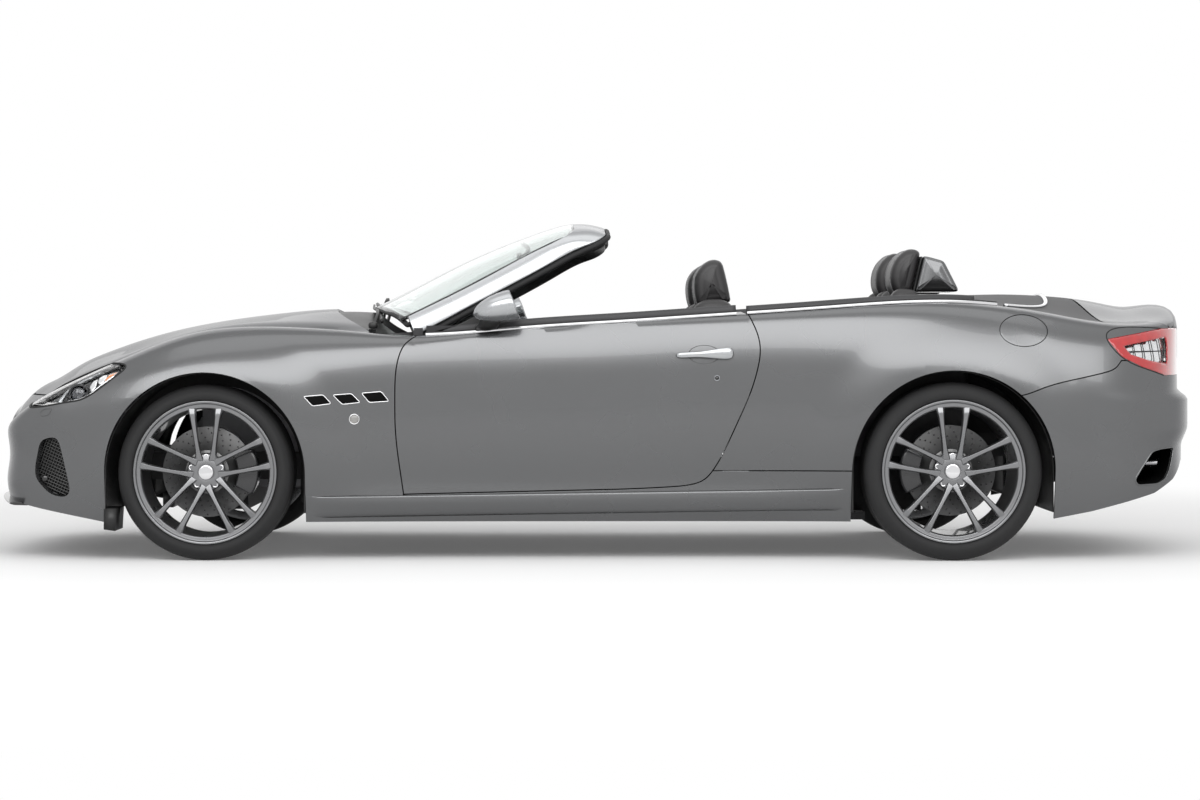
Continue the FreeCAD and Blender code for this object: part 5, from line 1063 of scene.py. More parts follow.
def make_panels():
    """Every painted outer panel, trimmed from the one outer form."""
    look = body_paint()
    skin = setting("panel_step")
    low_front = ("side", block(-3.0, AXLE_FRONT, UNDER, BUMPER_TOP))
    fender = panel_mesh("side", (-2.38, -0.66), (-0.33, 0.733), skin, cut=[
        ARCHES[0], ("side", door_loop(GAP)), ("side", HEADLAMP), ("plan", bonnet_loop()), low_front,
        ("side", block(-3.0, 0.0, UNDER, 0.255)), ("plan", block(-3.0, 0.0, -0.572, 0.6)),
        ("plan", block(-0.905, 0.0, -0.745, 0.6)), ("side", block(-0.778, 0.0, UNDER, 0.41))])
    body_piece("fender_panels", fender, "chassis", look, ("fenders",))
    bonnet = panel_mesh("hood", (-0.726, 0.0), (0.122, 1.83), skin, keep=[("plan", bonnet_loop(-GAP))], cut=[
        ("side", grow(HEADLAMP, 0.003)), ("side", block(-FAR, 0.0, UNDER, 0.6445))])
    body_piece("bonnet_panel", bonnet, "bonnet_body", look, ("bonnet",))
    bumper = panel_mesh("nose", (-1.2217, 0.0), (0.150, 0.6455), skin, cut=[
        ("side", block(-FAR, 0.0, BUMPER_TOP, 2.0)), ("side", block(AXLE_FRONT, 0.0, UNDER, 2.0)),
        ("front", MOUTH), ARCHES[0], ("side", HEADLAMP), ("side", INTAKE), ("side", CHIN)])
    body_piece("front_bumper_panel", bumper, "chassis", look, ("front_bumper",))
    for word, side, extra in (("left", 1.0, [("side", grow(FLAP, GAP / 2))]), ("right", -1.0, [])):
        points, faces = panel_mesh("side", (0.38, 2.36), (-0.33, 0.733), skin, cut=extra + [
            ARCHES[1], ("side", door_loop(GAP)), ("side", TAIL_LAMP),
            ("side", block(0.0, FAR, UNDER, SILL_FOOT)), ("side", block(0.0, AXLE_REAR, UNDER, 0.355)),
            ("plan", block(0.0, 2.017, -COVER_HALF_WIDTH, 0.6)),
            ("plan", block(2.016, FAR, -LID_HALF_WIDTH, 0.6)),
            ("plan", lid_loop()), ("side", rear_bumper_loop(GAP))])
        if side < 0:
            points, faces = points * OTHER_SIDE, faces[:, ::-1]
        body_piece("quarter_panel_" + word, (points, faces), "chassis", look, ("quarter_panels",), both=False)
    rear = panel_mesh("tail", (0.0, 1.29), (0.161, 0.952), skin, keep=[("side", rear_bumper_loop())], cut=[
        ("side", block(0.0, AXLE_REAR, UNDER, 2.0)), ARCHES[1], ("side", TAIL_LAMP), ("side", EXHAUST),
        ("side", in_metres(TAIL_UNDER))])
    body_piece("rear_bumper_panel", rear, "chassis", look, ("rear_bumper",))
    lid = panel_mesh("deck", (0.0, 0.726), (0.026, 1.22), skin, keep=[("plan", lid_loop(-GAP))], cut=[
        ("side", block(0.0, FAR, UNDER, 0.7955)), ("front", block(-0.70, -0.401, 0.60, 0.9215))])
    body_piece("boot_lid_panel", lid, "boot_lid_body", look, ("boot_lid",))
    cover = panel_mesh("deck", (0.0, 0.726), (0.026, 1.22), skin, keep=[("plan", cover_loop(-GAP))])
    body_piece("roof_cover_panel", cover, "soft_top_cover_body", cover_leatherette(), ("soft_top_cover",))
    sill = panel_mesh("side", (-1.555, 1.387), (-0.654, 0.262), skin, keep=[
        ("side", block(-1.6, 1.4, SILL_FOOT, 0.350))], cut=[ARCHES[0], ARCHES[1], ("side", door_loop(GAP)),
        ("side", block(-1.7, -0.773, 0.2547, 1.0))])
    body_piece("sill_panels", sill, "chassis", look, ("sills",))
    for word, side in (("left", 1.0), ("right", -1.0)):
        points, faces = panel_mesh("side", (-0.865, 0.684), (-0.66, 0.75), skin, keep=[("side", DOOR)])
        if side < 0:
            points, faces = points * OTHER_SIDE, faces[:, ::-1]
        body_piece("door_skin_" + word, (points, faces), "door_%s_body" % word, look, ("door_" + word,),
            both=False)
    flap = panel_mesh("side", (1.55, 1.78), (0.1, 0.733), 0.010, keep=[("side", FLAP)])
    body_piece("fuel_flap_panel", flap, "fuel_flap_body", look, ("fuel_flap",), both=False)


# Wheels: end, side, axle's place, offset, hub's height, tyre's width.
WHEELS = (
    ("front", "left", AXLE_FRONT, -0.793, HUB_FRONT, 0.245),
    ("front", "right", AXLE_FRONT, 0.793, HUB_FRONT, 0.245),
    ("rear", "left", AXLE_REAR, -0.795, HUB_REAR, 0.285),
    ("rear", "right", AXLE_REAR, 0.795, HUB_REAR, 0.285),
)
SPOKE_SET_BACK = 0.0145
SPOKE_FOOT, SPOKE_END = 0.046, 0.2520
SPOKE_TURNS = [math.radians(90.0 + 72.0 * k) for k in range(5)]


def tyre_profile(radius, width):
    """Closed (radius, y) loop: beads, rounded side walls, shoulders and a tread with two grooves."""
    half = width / 2
    out = [(0.2545, 0.0), (0.2545, half - 0.0245), (0.2815, half - 0.0240), (0.2860, half - 0.0090),
           (0.2900, half - 0.0045), (0.2960, half - 0.0015), (0.3040, half), (0.3130, half - 0.0005),
           (radius - 0.0260, half - 0.0050), (radius - 0.0170, half - 0.0100),
           (radius - 0.0090, half - 0.0180), (radius - 0.0035, half - 0.0290),
           (radius - 0.0010, half - 0.0420)]
    grooves = []
    for middle in (0.60, 0.20):
        y = middle * (half - 0.045)
        grooves += [(radius, y + 0.0065), (radius - 0.0065, y + 0.0050), (radius - 0.0065, y - 0.0050),
            (radius, y - 0.0065)]
    right = out + grooves
    left = [(r, -y) for r, y in right[::-1] if y > 0]
    return np.array(right + left)


def rim_profile(width):
    """Closed loop of the rim: bright outer flange, a step inside it, the barrel and inner flange."""
    half = width / 2
    return np.array([
        (0.2812, half - 0.0235), (0.2825, half - 0.0160), (0.2822, half - 0.0120), (0.2790, half - 0.0112),
        (0.2735, half - 0.0125), (0.2705, half - 0.0170), (0.2690, half - 0.0200), (0.2660, half - 0.0203),
        (0.2560, half - 0.0215), (0.2525, half - 0.0260), (0.2500, half - 0.0350), (0.2440, -half + 0.0500),
        (0.2440, -half + 0.0160), (0.2700, -half + 0.0120), (0.2810, -half + 0.0125),
        (0.2810, -half + 0.0240), (0.2535, -half + 0.0245), (0.2535, half - 0.0245),
    ])


def spoke_mesh(width, side):
    """Five pairs of spokes. Each is a hexagonal section carried from the hub to the rim: its middle
    line runs straight while its offset, width, front and depth follow smooth curves of the radius."""
    face = width / 2 - SPOKE_SET_BACK
    r = np.linspace(SPOKE_FOOT, SPOKE_END, 26)
    s = (r - SPOKE_FOOT) / (SPOKE_END - SPOKE_FOOT)
    off = 0.0245 + (0.0530 - 0.0245) * s ** 0.9
    waist = 0.0128 - 0.0030 * np.sin(np.pi * np.clip(s * 1.15, 0, 1))
    half = waist + 0.0035 * ramp(s, 0.80, 1.0) + 0.004 * (1 - ramp(s, 0.0, 0.25))
    front = face - 0.0300 * (1 - s) ** 1.6 - 0.0065 * ramp(s, 0.88, 1.0) + 0.001
    deep = 0.0300 - 0.0040 * s
    parts = []
    section = np.array([(-1.0, -1.0), (-1.0, -0.25), (-0.62, 0.0), (0.62, 0.0), (1.0, -0.25), (1.0, -1.0)])
    for turn in SPOKE_TURNS:
        for lean in (-1.0, 1.0):
            along = np.repeat(r[:, None], 6, 1)
            across = lean * off[:, None] + half[:, None] * section[None, :, 0]
            y = front[:, None] + deep[:, None] * section[None, :, 1]
            x = along * math.cos(turn) - across * math.sin(turn)
            z = along * math.sin(turn) + across * math.cos(turn)
            points = np.stack([x, side * y, z], -1)
            parts.append((points.reshape(-1, 3), capped(26, 6, grid_faces(26, 6, False, True))))
    return joined(*parts)


# Turned profiles of (radius, distance behind the spokes' face).
HUB_RING = [
    (0.0, 0.060), (0.075, 0.060), (0.0765, 0.046), (0.070, 0.038), (0.050, 0.0335), (0.0335, 0.0325),
    (0.0320, 0.0345), (0.0, 0.0345),
]
HUB_CAP = [(0.0, 0.034), (0.0285, 0.034), (0.0295, 0.0310), (0.0280, 0.0285), (0.0240, 0.0275), (0.0, 0.0265)]
BOLT = [
    (0.0, 0.044), (0.0118, 0.044), (0.0122, 0.0385), (0.0108, 0.0365), (0.0070, 0.0360), (0.0060, 0.0400),
    (0.0, 0.0400),
]
BOLT_CIRCLE = 0.0610
# Turned profiles of (radius, y) about the disc's own middle.
# The hole is a thin black dot on the disc's face: painted shade for the drilled hole.
DISC_HOLE_SHADE = [(0.0, 0.0078), (0.0034, 0.0078), (0.0034, 0.0086), (0.0, 0.0086)]
DISC_HOLE_ROWS = (0.118, 0.136, 0.154, 0.170)
DISC = [
    (0.0290, 0.0180), (0.0290, 0.0317), (0.0850, 0.0317), (0.0880, 0.0290), (0.0880, 0.0080),
    (0.1790, 0.0080), (0.1800, 0.0070), (0.1800, -0.0230), (0.1790, -0.0240), (0.0740, -0.0240),
    (0.0740, 0.0180),
]


def turned(rows, face, count, side):
    """A turned form whose profile is given as distances behind a face."""
    return lathe([(radius, face - back) for radius, back in rows], count, side=side)


def make_wheels():
    """Tyres, rims with spoke pairs, hub caps with bolts, and discs at each corner, their drilled holes shown
    as black dots of painted shade.
    """
    for end, word, axle, y, hub_z, width in WHEELS:
        side = 1.0 if y > 0 else -1.0
        tag = "%s_%s" % (end, word)
        body = "wheel_" + tag
        centre = np.array([axle, y, hub_z])
        face = width / 2 - SPOKE_SET_BACK
        tyre = lathe(tyre_profile(hub_z, width), 112, centre)
        solid("tyre_rubber_" + tag, tyre, body, rubber(), "tyre", ("tyre_" + tag,))
        rim = joined(lathe(rim_profile(width), 112, side=side), spoke_mesh(width, side),
                     turned(HUB_RING, face, 64, side))
        soften(solid("rim_metal_" + tag, moved(rim, centre), body, wheel_metal(), "wheel_metal",
                     ("rim_" + tag,)), 0.0012, 2, 35)
        bolts = [moved(turned(BOLT, face, 18, side), np.array([BOLT_CIRCLE * math.cos(turn), 0.0,
                                                               BOLT_CIRCLE * math.sin(turn)]))
                 for turn in SPOKE_TURNS]
        cap = joined(turned(HUB_CAP, face, 48, side), *bolts)
        solid("hub_cap_" + tag, moved(cap, centre), body, chrome(), "wheel_metal")
        # Black dots on the disc's face stand for the shade in its drilled holes: painted shade.
        hole_shades = []
        for row, radius in enumerate(DISC_HOLE_ROWS):
            for k in range(24):
                t = 2 * np.pi * (k + 0.32 * row) / 24
                hole_shades.append(moved(lathe(DISC_HOLE_SHADE, 8, side=side),
                                   np.array([radius * math.cos(t), 0.0, radius * math.sin(t)])))
        solid("disc_holes_" + tag, moved(joined(*hole_shades), centre), body, gloss_black(), "brake_iron")
        solid("disc_steel_" + tag, lathe(DISC, 96, centre, side), body, disc_metal(), "brake_iron",
              ("brake_disc_" + tag,))


def caliper_mesh(centre, side, turn, span=27.0):
    """Block over the disc's edge: an arc of (radius, y) section with raised bosses, in polar steps."""
    t = np.radians(turn + np.linspace(-span, span, 26))
    s = np.linspace(-1, 1, 26)
    fat = 1.0 - 0.35 * np.abs(s) ** 3
    section = np.array([(0.120, 0.0095), (0.120, 0.0300), (0.128, 0.0360), (0.190, 0.0360), (0.203, 0.0280),
                        (0.203, -0.0450), (0.190, -0.0520), (0.128, -0.0520), (0.120, -0.0460),
                        (0.120, -0.0255), (0.1815, -0.0255), (0.1815, 0.0095)])
    grow_r = section[:, 0] + (section[:, 0] > 0.186) * (fat[:, None] - 1) * 0.018
    y = np.where(np.abs(section[:, 1]) > 0.027, section[:, 1] * (0.75 + 0.25 * fat[:, None]), section[:, 1])
    points = np.stack([grow_r * np.cos(t)[:, None], side * y, grow_r * np.sin(t)[:, None]], -1)
    faces = capped(26, 12, grid_faces(26, 12, False, True))
    return points.reshape(-1, 3) + centre, faces


def make_calipers():
    """A caliper over each disc: one a side in front, which steers, and both rear ones as one piece."""
    for end, word, axle, y, hub_z, _ in WHEELS:
        side = 1.0 if y > 0 else -1.0
        mesh = caliper_mesh(np.array([axle, y, hub_z]), side, 0.0 if end == "front" else 180.0)
        if end == "front":
            name, body, node = "caliper_body_front_" + word, "steer_" + word, "caliper_front_" + word
        elif word == "left":
            mesh = joined(mesh, caliper_mesh(np.array([axle, -y, hub_z]), -side, 180.0))
            name, body, node = "caliper_bodies_rear", "chassis", "calipers_rear"
        else:
            continue
        soften(solid(name, mesh, body, caliper_enamel(), "caliper_paint", (node,)), 0.002)


# Windscreen, mirrors, trim.
FRAME_OUTER = [
    (-0.7365, -0.745, 0.884), (-0.552, -0.712, 0.985), (-0.368, -0.667, 1.084), (-0.209, -0.628, 1.171),
    (-0.080, -0.598, 1.240), (-0.010, -0.580, 1.272), (0.018, -0.545, 1.292), (0.024, -0.480, 1.304),
    (0.022, -0.300, 1.326), (0.014, 0.0, 1.342),
]
FRAME_INNER = [
    (-0.768, -0.722, 0.962), (-0.610, -0.692, 1.040), (-0.420, -0.648, 1.140), (-0.270, -0.610, 1.222),
    (-0.170, -0.586, 1.272), (-0.130, -0.560, 1.296), (-0.112, -0.525, 1.310), (-0.106, -0.460, 1.323),
    (-0.116, -0.300, 1.343), (-0.130, 0.0, 1.354),
]
GLASS_MIDDLE = [
    (-0.935, 1.004), (-0.780, 1.081), (-0.584, 1.181), (-0.390, 1.265), (-0.200, 1.332), (-0.110, 1.352),
]
GLASS_EDGE = [
    (-0.790, -0.728, 0.945), (-0.610, -0.690, 1.033), (-0.420, -0.646, 1.133), (-0.270, -0.608, 1.215),
    (-0.170, -0.580, 1.266), (-0.105, -0.562, 1.292),
]


def whole_width(left):
    """A left-hand line that ends on the middle plane, joined with its mirror image."""
    return np.concatenate([left, left[-2::-1] * OTHER_SIDE])


def band_section(inner, outer, thickness, bulge=0.006, count=9):
    """A closed tube between two edge lines: the outer face bulges by a sine over the width, and
    the inner face is the same face moved in by the thickness."""
    tangent = np.gradient((inner + outer) / 2, axis=0)
    normal = np.cross(tangent, outer - inner)
    normal /= np.linalg.norm(normal, axis=1, keepdims=True)
    normal *= np.where(normal[:, 2:3] > 0, 1, -1)
    k = np.linspace(0, 1, count)
    face = inner[:, None] + (outer - inner)[:, None] * k[None, :, None]
    face = face + normal[:, None] * (bulge * np.sin(np.pi * k))[None, :, None]
    under = face[:, ::-1] - normal[:, None] * thickness
    points = np.concatenate([face, under], axis=1)
    m, n = points.shape[:2]
    return points.reshape(-1, 3), capped(m, n, grid_faces(m, n, False, True))


def glass_point(u, v):
    """Screen surface: the middle line blended to the edge line by a power of the offset."""
    places = np.linspace(0, 1, len(GLASS_MIDDLE))
    middle = [curve(list(zip(places, [row[k] for row in GLASS_MIDDLE])))(u) for k in (0, 1)]
    edge = [curve(list(zip(places, [row[k] for row in GLASS_EDGE])))(u) for k in range(3)]
    bow = np.abs(v) ** 2.4
    drop = np.abs(v) ** 3.2
    return np.stack([middle[0] + (edge[0] - middle[0]) * bow, -edge[1] * v,
        middle[1] + (edge[2] - middle[1]) * drop], -1)


SCREEN_BANDS = (
    ("screen_band_top", (0.955, 1.0), (-1, 1)), ("screen_band_left", (0.0, 1.0), (-1, -0.955)),
    ("screen_band_right", (0.0, 1.0), (0.955, 1)), ("screen_band_foot", (0.0, 0.045), (-1, 1)),
)
SCREEN_FOOT = [
    (-0.940, 0.0, 1.000), (-0.905, -0.35, 0.992), (-0.850, -0.56, 0.975), (-0.795, -0.690, 0.950),
    (-0.765, -0.735, 0.925),
]


def make_screen():
    """Windscreen glass with its dark border, the painted frame, its seals and the inside mirror."""
    u, v = np.meshgrid(np.linspace(0, 1, 40), np.linspace(-1, 1, 61), indexing="ij")
    glass = add_piece("screen_glass", glass_point(u, v), grid_faces(40, 61), "chassis",
                      clear("screen_tint", (0.86, 0.92, 0.90)), replaces=("windscreen_glass",), slot="glass")
    thicken(glass, 0.005, offset=0.0)
    for name, us, vs in SCREEN_BANDS:
        u, v = np.meshgrid(np.linspace(*us, 30), np.linspace(*vs, 41), indexing="ij")
        band = add_piece(name, glass_point(u, v) - np.array([0, 0, 0.0042]), grid_faces(30, 41), "chassis",
                         gloss_black(), slot="black_trim")
        thicken(band, 0.0012, offset=0.0)
    inner = whole_width(smooth_line(FRAME_INNER, 60))
    outer = whole_width(smooth_line(FRAME_OUTER, 60))
    band = band_section(inner, outer, setting("frame_wall"), 0.008)
    soften(solid("screen_frame", band, "chassis", bright_paint(), "silver_paint", ("windscreen_frame",)),
        0.004, 3)
    inner_in = inner + np.array([0.0, 0.0, -0.022])
    drop = outer + (outer - inner) / np.linalg.norm(outer - inner, axis=1, keepdims=True) * 0.004
    drop = drop * np.array([1, 0.985, 1]) + np.array([0.004, 0.0, -0.024])
    lining = band_section(inner_in * np.array([1, 0.985, 1]), drop, 0.016, 0.0)
    soften(solid("screen_frame_lining", lining, "chassis", black_plastic(), "black_trim"), 0.004)
    seal_path = outer * np.array([1, 0.99, 1]) + np.array([0.010, 0.0, -0.014])
    solid("screen_frame_seal", sweep(seal_path, round_profile(0.011, 10), (0, 0, 1)), "chassis", rubber(),
        "black_trim")
    foot = whole_width(smooth_line(SCREEN_FOOT, 40)[::-1])
    solid("screen_foot_seal", sweep(foot, round_profile(0.008, 8, 1.8), (0, 0, 1)), "chassis", rubber(),
        "black_trim")
    mirror = rounded_slab((0.030, 0.235, 0.072), (-0.330, 0.0, 1.205), 3.2, (20, 36),
        turn_about((0, 1, 0), -16))
    stalk = sweep(smooth_line([(-0.318, 0, 1.225), (-0.300, 0, 1.255), (-0.330, 0, 1.285)], 12),
        round_profile(0.009, 10), (0, 1, 0))
    solid("inside_mirror", joined(mirror, stalk), "chassis", black_plastic(), "interior_trim")


MIRROR_SAIL = [
    (-0.700, 0.893), (-0.560, 0.930), (-0.470, 0.975), (-0.395, 0.985), (-0.380, 0.920), (-0.540, 0.898),
]


def housing(side):
    """Mirror shell: ellipse sections along the length whose centre and radii follow power curves
    from the low front tip to the upright rear rim, then a rolled lip and the glass."""
    s = np.linspace(0.0, 1.0, 26)[:, None]
    t = np.linspace(0, 2 * np.pi, 40, endpoint=False)[None, :]
    swell = (1 - (1 - s) ** 2.1) ** 0.52
    x = -0.500 + 0.160 * s - 0.022 * s * np.sin(t)
    y = -0.928 + 0.012 * s + 0.100 * swell * np.cos(t) * (1 + 0.06 * np.sin(t))
    z = 0.968 + 0.039 * s ** 0.8 + (0.058 * swell) * np.sign(np.sin(t)) * np.abs(np.sin(t)) ** 0.86
    shell = np.stack([x, y, z], -1)
    rim_x = shell[-1:].copy()
    rings = [shell]
    centre = shell[-1].mean(axis=0)
    for shrink, back in ((0.975, 0.004), (0.93, 0.0045), (0.90, -0.004), (0.885, -0.012)):
        ring_points = centre + (rim_x - centre) * np.array([1.0, shrink, shrink]) + np.array([back, 0, 0])
        rings.append(ring_points)
    points = np.concatenate(rings)
    m, n = points.shape[:2]
    faces = capped(m, n, grid_faces(m, n, False, True))
    flat = points.reshape(-1, 3)
    glass = centre + (rim_x[0] - centre) * np.array([1.0, 0.87, 0.87]) + np.array([-0.006, 0, 0])
    flip = np.array([1.0, 1.0 if side < 0 else -1.0, 1.0])
    return (flat * flip, faces), glass * flip


def make_mirrors():
    """On each door: the shell, its glass, and an arm on a corner plate made between two outlines."""
    for word, side in SIDES:
        body = "door_%s_body" % word
        shell, glass = housing(side)
        solid("mirror_shell_" + word, shell, body, bright_paint(), "silver_paint", ("mirror_" + word,))
        solid("mirror_glass_" + word, prism(glass, np.array([-0.003, 0, 0])), body, mirror_silver(), "glass")
        flip = np.array([1, 1 if side < 0 else -1, 1])
        arm = smooth_line([(-0.430, -0.905, 0.952), (-0.440, -0.870, 0.930), (-0.455, -0.820, 0.915)],
            14) * flip
        sail = spread(MIRROR_SAIL, 0.02)
        n = len(sail)
        plate = [np.stack([sail[:, 0], np.full(n, y), sail[:, 1]], -1) for y in (-0.800, -0.775)]
        walls = [(i, (i + 1) % n, n + (i + 1) % n, n + i) for i in range(n)]
        plate = np.concatenate(plate) * flip, [tuple(range(n)), tuple(range(2 * n - 1, n - 1, -1))] + walls
        arm = joined(sweep(arm, round_profile(0.017, 14, 2.6)), plate)
        soften(solid("mirror_arm_" + word, arm, body, black_plastic(), "black_trim"), 0.003)


def on_top(x, y, lift=0.0):
    """Points of the form's upper side over plan points, raised along the slope."""
    x, y = np.broadcast_arrays(np.asarray(x, float), np.asarray(y, float))
    start = np.stack([x, -np.abs(y), np.full_like(x, 0.45)], -1)
    found = reach(start, np.array([0.0, 0.0, 1.0]))
    found = found + outward(found) * lift
    found[..., 1] = np.where(y > 0, -found[..., 1], found[..., 1])
    return found


def on_side(x, z, lift=0.0, side=-1.0):
    """Points of the form's flank at side-view points, moved out along the slope."""
    x, z = np.broadcast_arrays(np.asarray(x, float), np.asarray(z, float))
    start = np.stack([x, np.full_like(x, INSIDE_Y), z], -1)
    found = reach(start, np.array([0.0, -1.0, 0.0]))
    found = found + outward(found) * lift
    found[..., 1] = found[..., 1] * -side
    return found


BELT = [
    (-0.690, -0.835), (-0.460, -0.838), (0.070, -0.842), (0.565, -0.850), (1.000, -0.845), (1.300, -0.815),
    (1.520, -0.748), (1.690, -0.640), (1.800, -0.480), (1.850, -0.250), (1.862, 0.0),
]


BELT_LIFT = 0.0035
BELT_SECTION = np.array([(-0.009, -0.004), (-0.009, 0.002), (-0.005, 0.006), (0.004, 0.007), (0.008, 0.003),
    (0.008, -0.004)])


def belt_path(low, high, lift=BELT_LIFT):
    """The belt line between two lengths, laid on the left side of the form and lifted off it."""
    line = smooth_line([(x, y, 0.0) for x, y in BELT], 150)
    part = line[(line[:, 0] > low) & (line[:, 0] < high)]
    return on_top(part[:, 0], part[:, 1], lift)


def make_belt():
    """Bright strip along the cockpit's edge and round its rear, with a dark seal inside it."""
    for word, side, low, high, body in (
        ("door_left", 1, -0.72, 0.556, "door_left_body"),
        ("door_right", -1, -0.72, 0.556, "door_right_body"),
        ("quarter_left", 1, 0.566, 1.60, "chassis"),
        ("quarter_right", -1, 0.566, 1.60, "chassis"),
    ):
        path = belt_path(low, high)
        path[:, 1] *= side
        strip = sweep(path, BELT_SECTION * np.array([side, 1]))
        soften(solid("belt_strip_" + word, strip, body, chrome(), "chrome"), 0.0012, 2, 30)
        seal = sweep(path + np.array([0, 0.020 * side, 0.004]), round_profile(0.009, 10, 1.3))
        solid("belt_seal_" + word, seal, body, rubber(), "black_trim")
    rear = sweep(whole_width(belt_path(1.61, math.inf)), BELT_SECTION)
    solid("belt_strip_cover", rear, "soft_top_cover_body", chrome(), "chrome")


VENT_PIXELS = (
    ((302.9, 396.2), (323.2, 394.5), (331.9, 404.0), (312.4, 406.5)),
    ((331.9, 394.8), (351.4, 393.3), (360.9, 402.8), (341.8, 404.9)),
    ((360.5, 392.9), (381.2, 391.2), (389.5, 401.6), (368.8, 403.0)),
)
FLANK_DEPTH = -0.93
REPEATER_PIXEL, CUP_PIXEL, KEY_PIXEL = (354.0, 419.2), (704.5, 354.5), (717.3, 378.1)
HANDLE_PIXELS = ((676.2, 355.4), (733.9, 353.0))
SILL_RIDGE = ((-1.150, 0.2525), (0.975, 0.2830))


def make_side_trim():
    """Fender vents, repeaters, door handles with their recess, and the key lock. The vents' mouths and the
    handles' recesses are painted dark as shade, and the handles are painted lighter as a highlight.
    """
    for word, side in SIDES:
        body = "door_%s_body" % word
        rims, mouths = [], []
        for pixels in VENT_PIXELS:
            corners = view_loop(pixels, FLANK_DEPTH)
            loop = smooth_loop(grow(corners, -0.0015), 0.008)
            path = on_side(loop[:, 0], loop[:, 1], 0.0015, side)
            rims.append(sweep(path, round_profile(0.0021, 8), (0, side, 0), closed=True))
            # Each vent's mouth is a near-black plug standing for the shade inside it: painted shade.
            core = smooth_loop(grow(corners, -0.003), 0.008)
            mouths.append(prism(on_side(core[:, 0], core[:, 1], 0.0010, side),
                np.array([0, -side * 0.004, 0])))
        solid("vent_frames_" + word, joined(*rims), "chassis", chrome(), "chrome")
        solid("vent_mouths_" + word, joined(*mouths), "chassis", vent_shade(), "black_trim")
        x, z = view_point(*REPEATER_PIXEL, FLANK_DEPTH)
        rim_line = ring(x, z, 0.019, 0.019, 28)
        path = on_side(rim_line[:, 0], rim_line[:, 1], 0.002, side)
        solid("repeater_ring_" + word, sweep(path, round_profile(0.0022, 8), (0, side, 0), closed=True),
            "chassis", chrome(), "chrome")
        centre = on_side(np.array([x]), np.array([z]), 0.002, side)[0]
        lens = rounded_slab((0.034, 0.010, 0.034), centre, 2.0, (12, 28))
        solid("repeater_lens_" + word, lens, "chassis", pale_lens(), "headlamp_lens")
        (x0, z0), (x1, z1) = view_loop(HANDLE_PIXELS, FLANK_DEPTH)
        s = np.linspace(0.003, 0.997, 44)
        path = on_side(x0 + (x1 - x0) * s, z0 + (z1 - z0) * s, 0.0, side)
        path[:, 1] += side * (0.008 + 0.017 * np.sin(np.pi * s) ** 0.7)
        round_end = (1 - np.abs(2 * s - 1) ** 14) ** 0.5
        taper = (0.42 + 0.58 * ramp(s, 0.30, 0.95)) * round_end
        pull = sweep(path, round_profile(setting("handle_radius"), 20, 0.36), scale=taper)
        # The pull takes the lighter screen paint rather than the body's colour: a painted highlight.
        solid("door_pull_" + word, pull, body, bright_paint(), "body_paint")
        # The recess behind the pull, in a darker finish than the body: painted shade.
        xc, zc = view_point(*CUP_PIXEL, FLANK_DEPTH)
        cup = ring(xc, zc, 0.064, 0.037, 48)
        face = on_side(cup[:, 0], cup[:, 1], 0.0008, side)
        centre = on_side(np.array([xc]), np.array([zc]), 0.0, side)[0]
        rows = []
        for shrink, deep in ((1.0, 0.0), (0.96, 0.0006), (0.88, -0.004), (0.6, -0.011), (0.25, -0.014)):
            row = centre + (face - centre) * np.array([shrink, 1.0, shrink])
            row[:, 1] += side * deep
            rows.append(row)
        cup = np.stack(rows), floored(len(rows), 48)
        solid("door_pull_cup_" + word, cup, body, cup_shade(), "body_paint", closed=False)
        x, z = view_point(*KEY_PIXEL, FLANK_DEPTH)
        spot = on_side(np.array([x]), np.array([z]), 0.0, side)[0]
        key_ring = lathe([(0.0080, 0.0), (0.0116, 0.0), (0.0116, 0.0022), (0.0098, 0.0034), (0.0080, 0.0024)],
            28, spot, side)
        solid("key_ring_" + word, key_ring, body, lamp_trim(), "chrome")
        key_core = lathe([(0.0, 0.0), (0.0084, 0.0), (0.0084, 0.0014), (0.0, 0.0018)], 28, spot, side)
        solid("key_core_" + word, key_core, body, gloss_black(), "black_trim")


SILL_SECTION = [
    (0.0, -0.001), (0.003, 0.0085), (0.008, 0.0105), (0.034, 0.0095), (0.070, 0.0045), (0.094, -0.001),
]


def make_sill_ridges():
    """A raised blade along each sill: rows of points that leave the flank at the upper line, stand
    out by a fixed lift, and return to it at the foot, with the lift ramped to nothing at both ends."""
    x = np.linspace(SILL_RIDGE[0][0], SILL_RIDGE[1][0], 150)
    share = (x - x[0]) / (x[-1] - x[0])
    line = SILL_RIDGE[0][1] + (SILL_RIDGE[1][1] - SILL_RIDGE[0][1]) * share
    taper = ramp(share, 0.0, 0.04) * (1 - ramp(share, 0.96, 1.0))
    for word, side in SIDES:
        rows = []
        for down, lift in SILL_SECTION:
            row = on_side(x, line - down, 0.0, side)
            row[:, 1] += side * (lift * taper - 0.0005)
            rows.append(row)
        faces = grid_faces(len(rows), len(x))
        thicken(add_piece("sill_ridge_" + word, np.stack(rows), faces if side < 0 else faces[:, ::-1],
                          "chassis", body_paint(), slot="body_paint"), 0.003)


def both_sides(mesh):
    """A left-hand mesh joined with its mirror image."""
    points, faces = mesh
    points = np.asarray(points, float).reshape(-1, 3)
    return joined((points, faces), (points * OTHER_SIDE, [tuple(f)[::-1] for f in faces]))


def inlay(name, family, loop, depth, look, cut=(), keep=(), wall=0.003, spacing=0.011, replaces=(),
          slot=None, reach_of=None):
    """A piece of the outer form inside a side-view loop, moved in along the slope by a depth."""
    u_range, v_range = reach_of or LAMP_REACH[family]
    mesh = panel_mesh(family, u_range, v_range, spacing, keep=[("side", loop)] + list(keep), cut=list(cut))
    mesh = mirrored(mesh[0] - outward(mesh[0]) * depth, mesh[1])
    return thicken(solid(name, mesh, "chassis", look, slot, replaces, closed=False), wall)


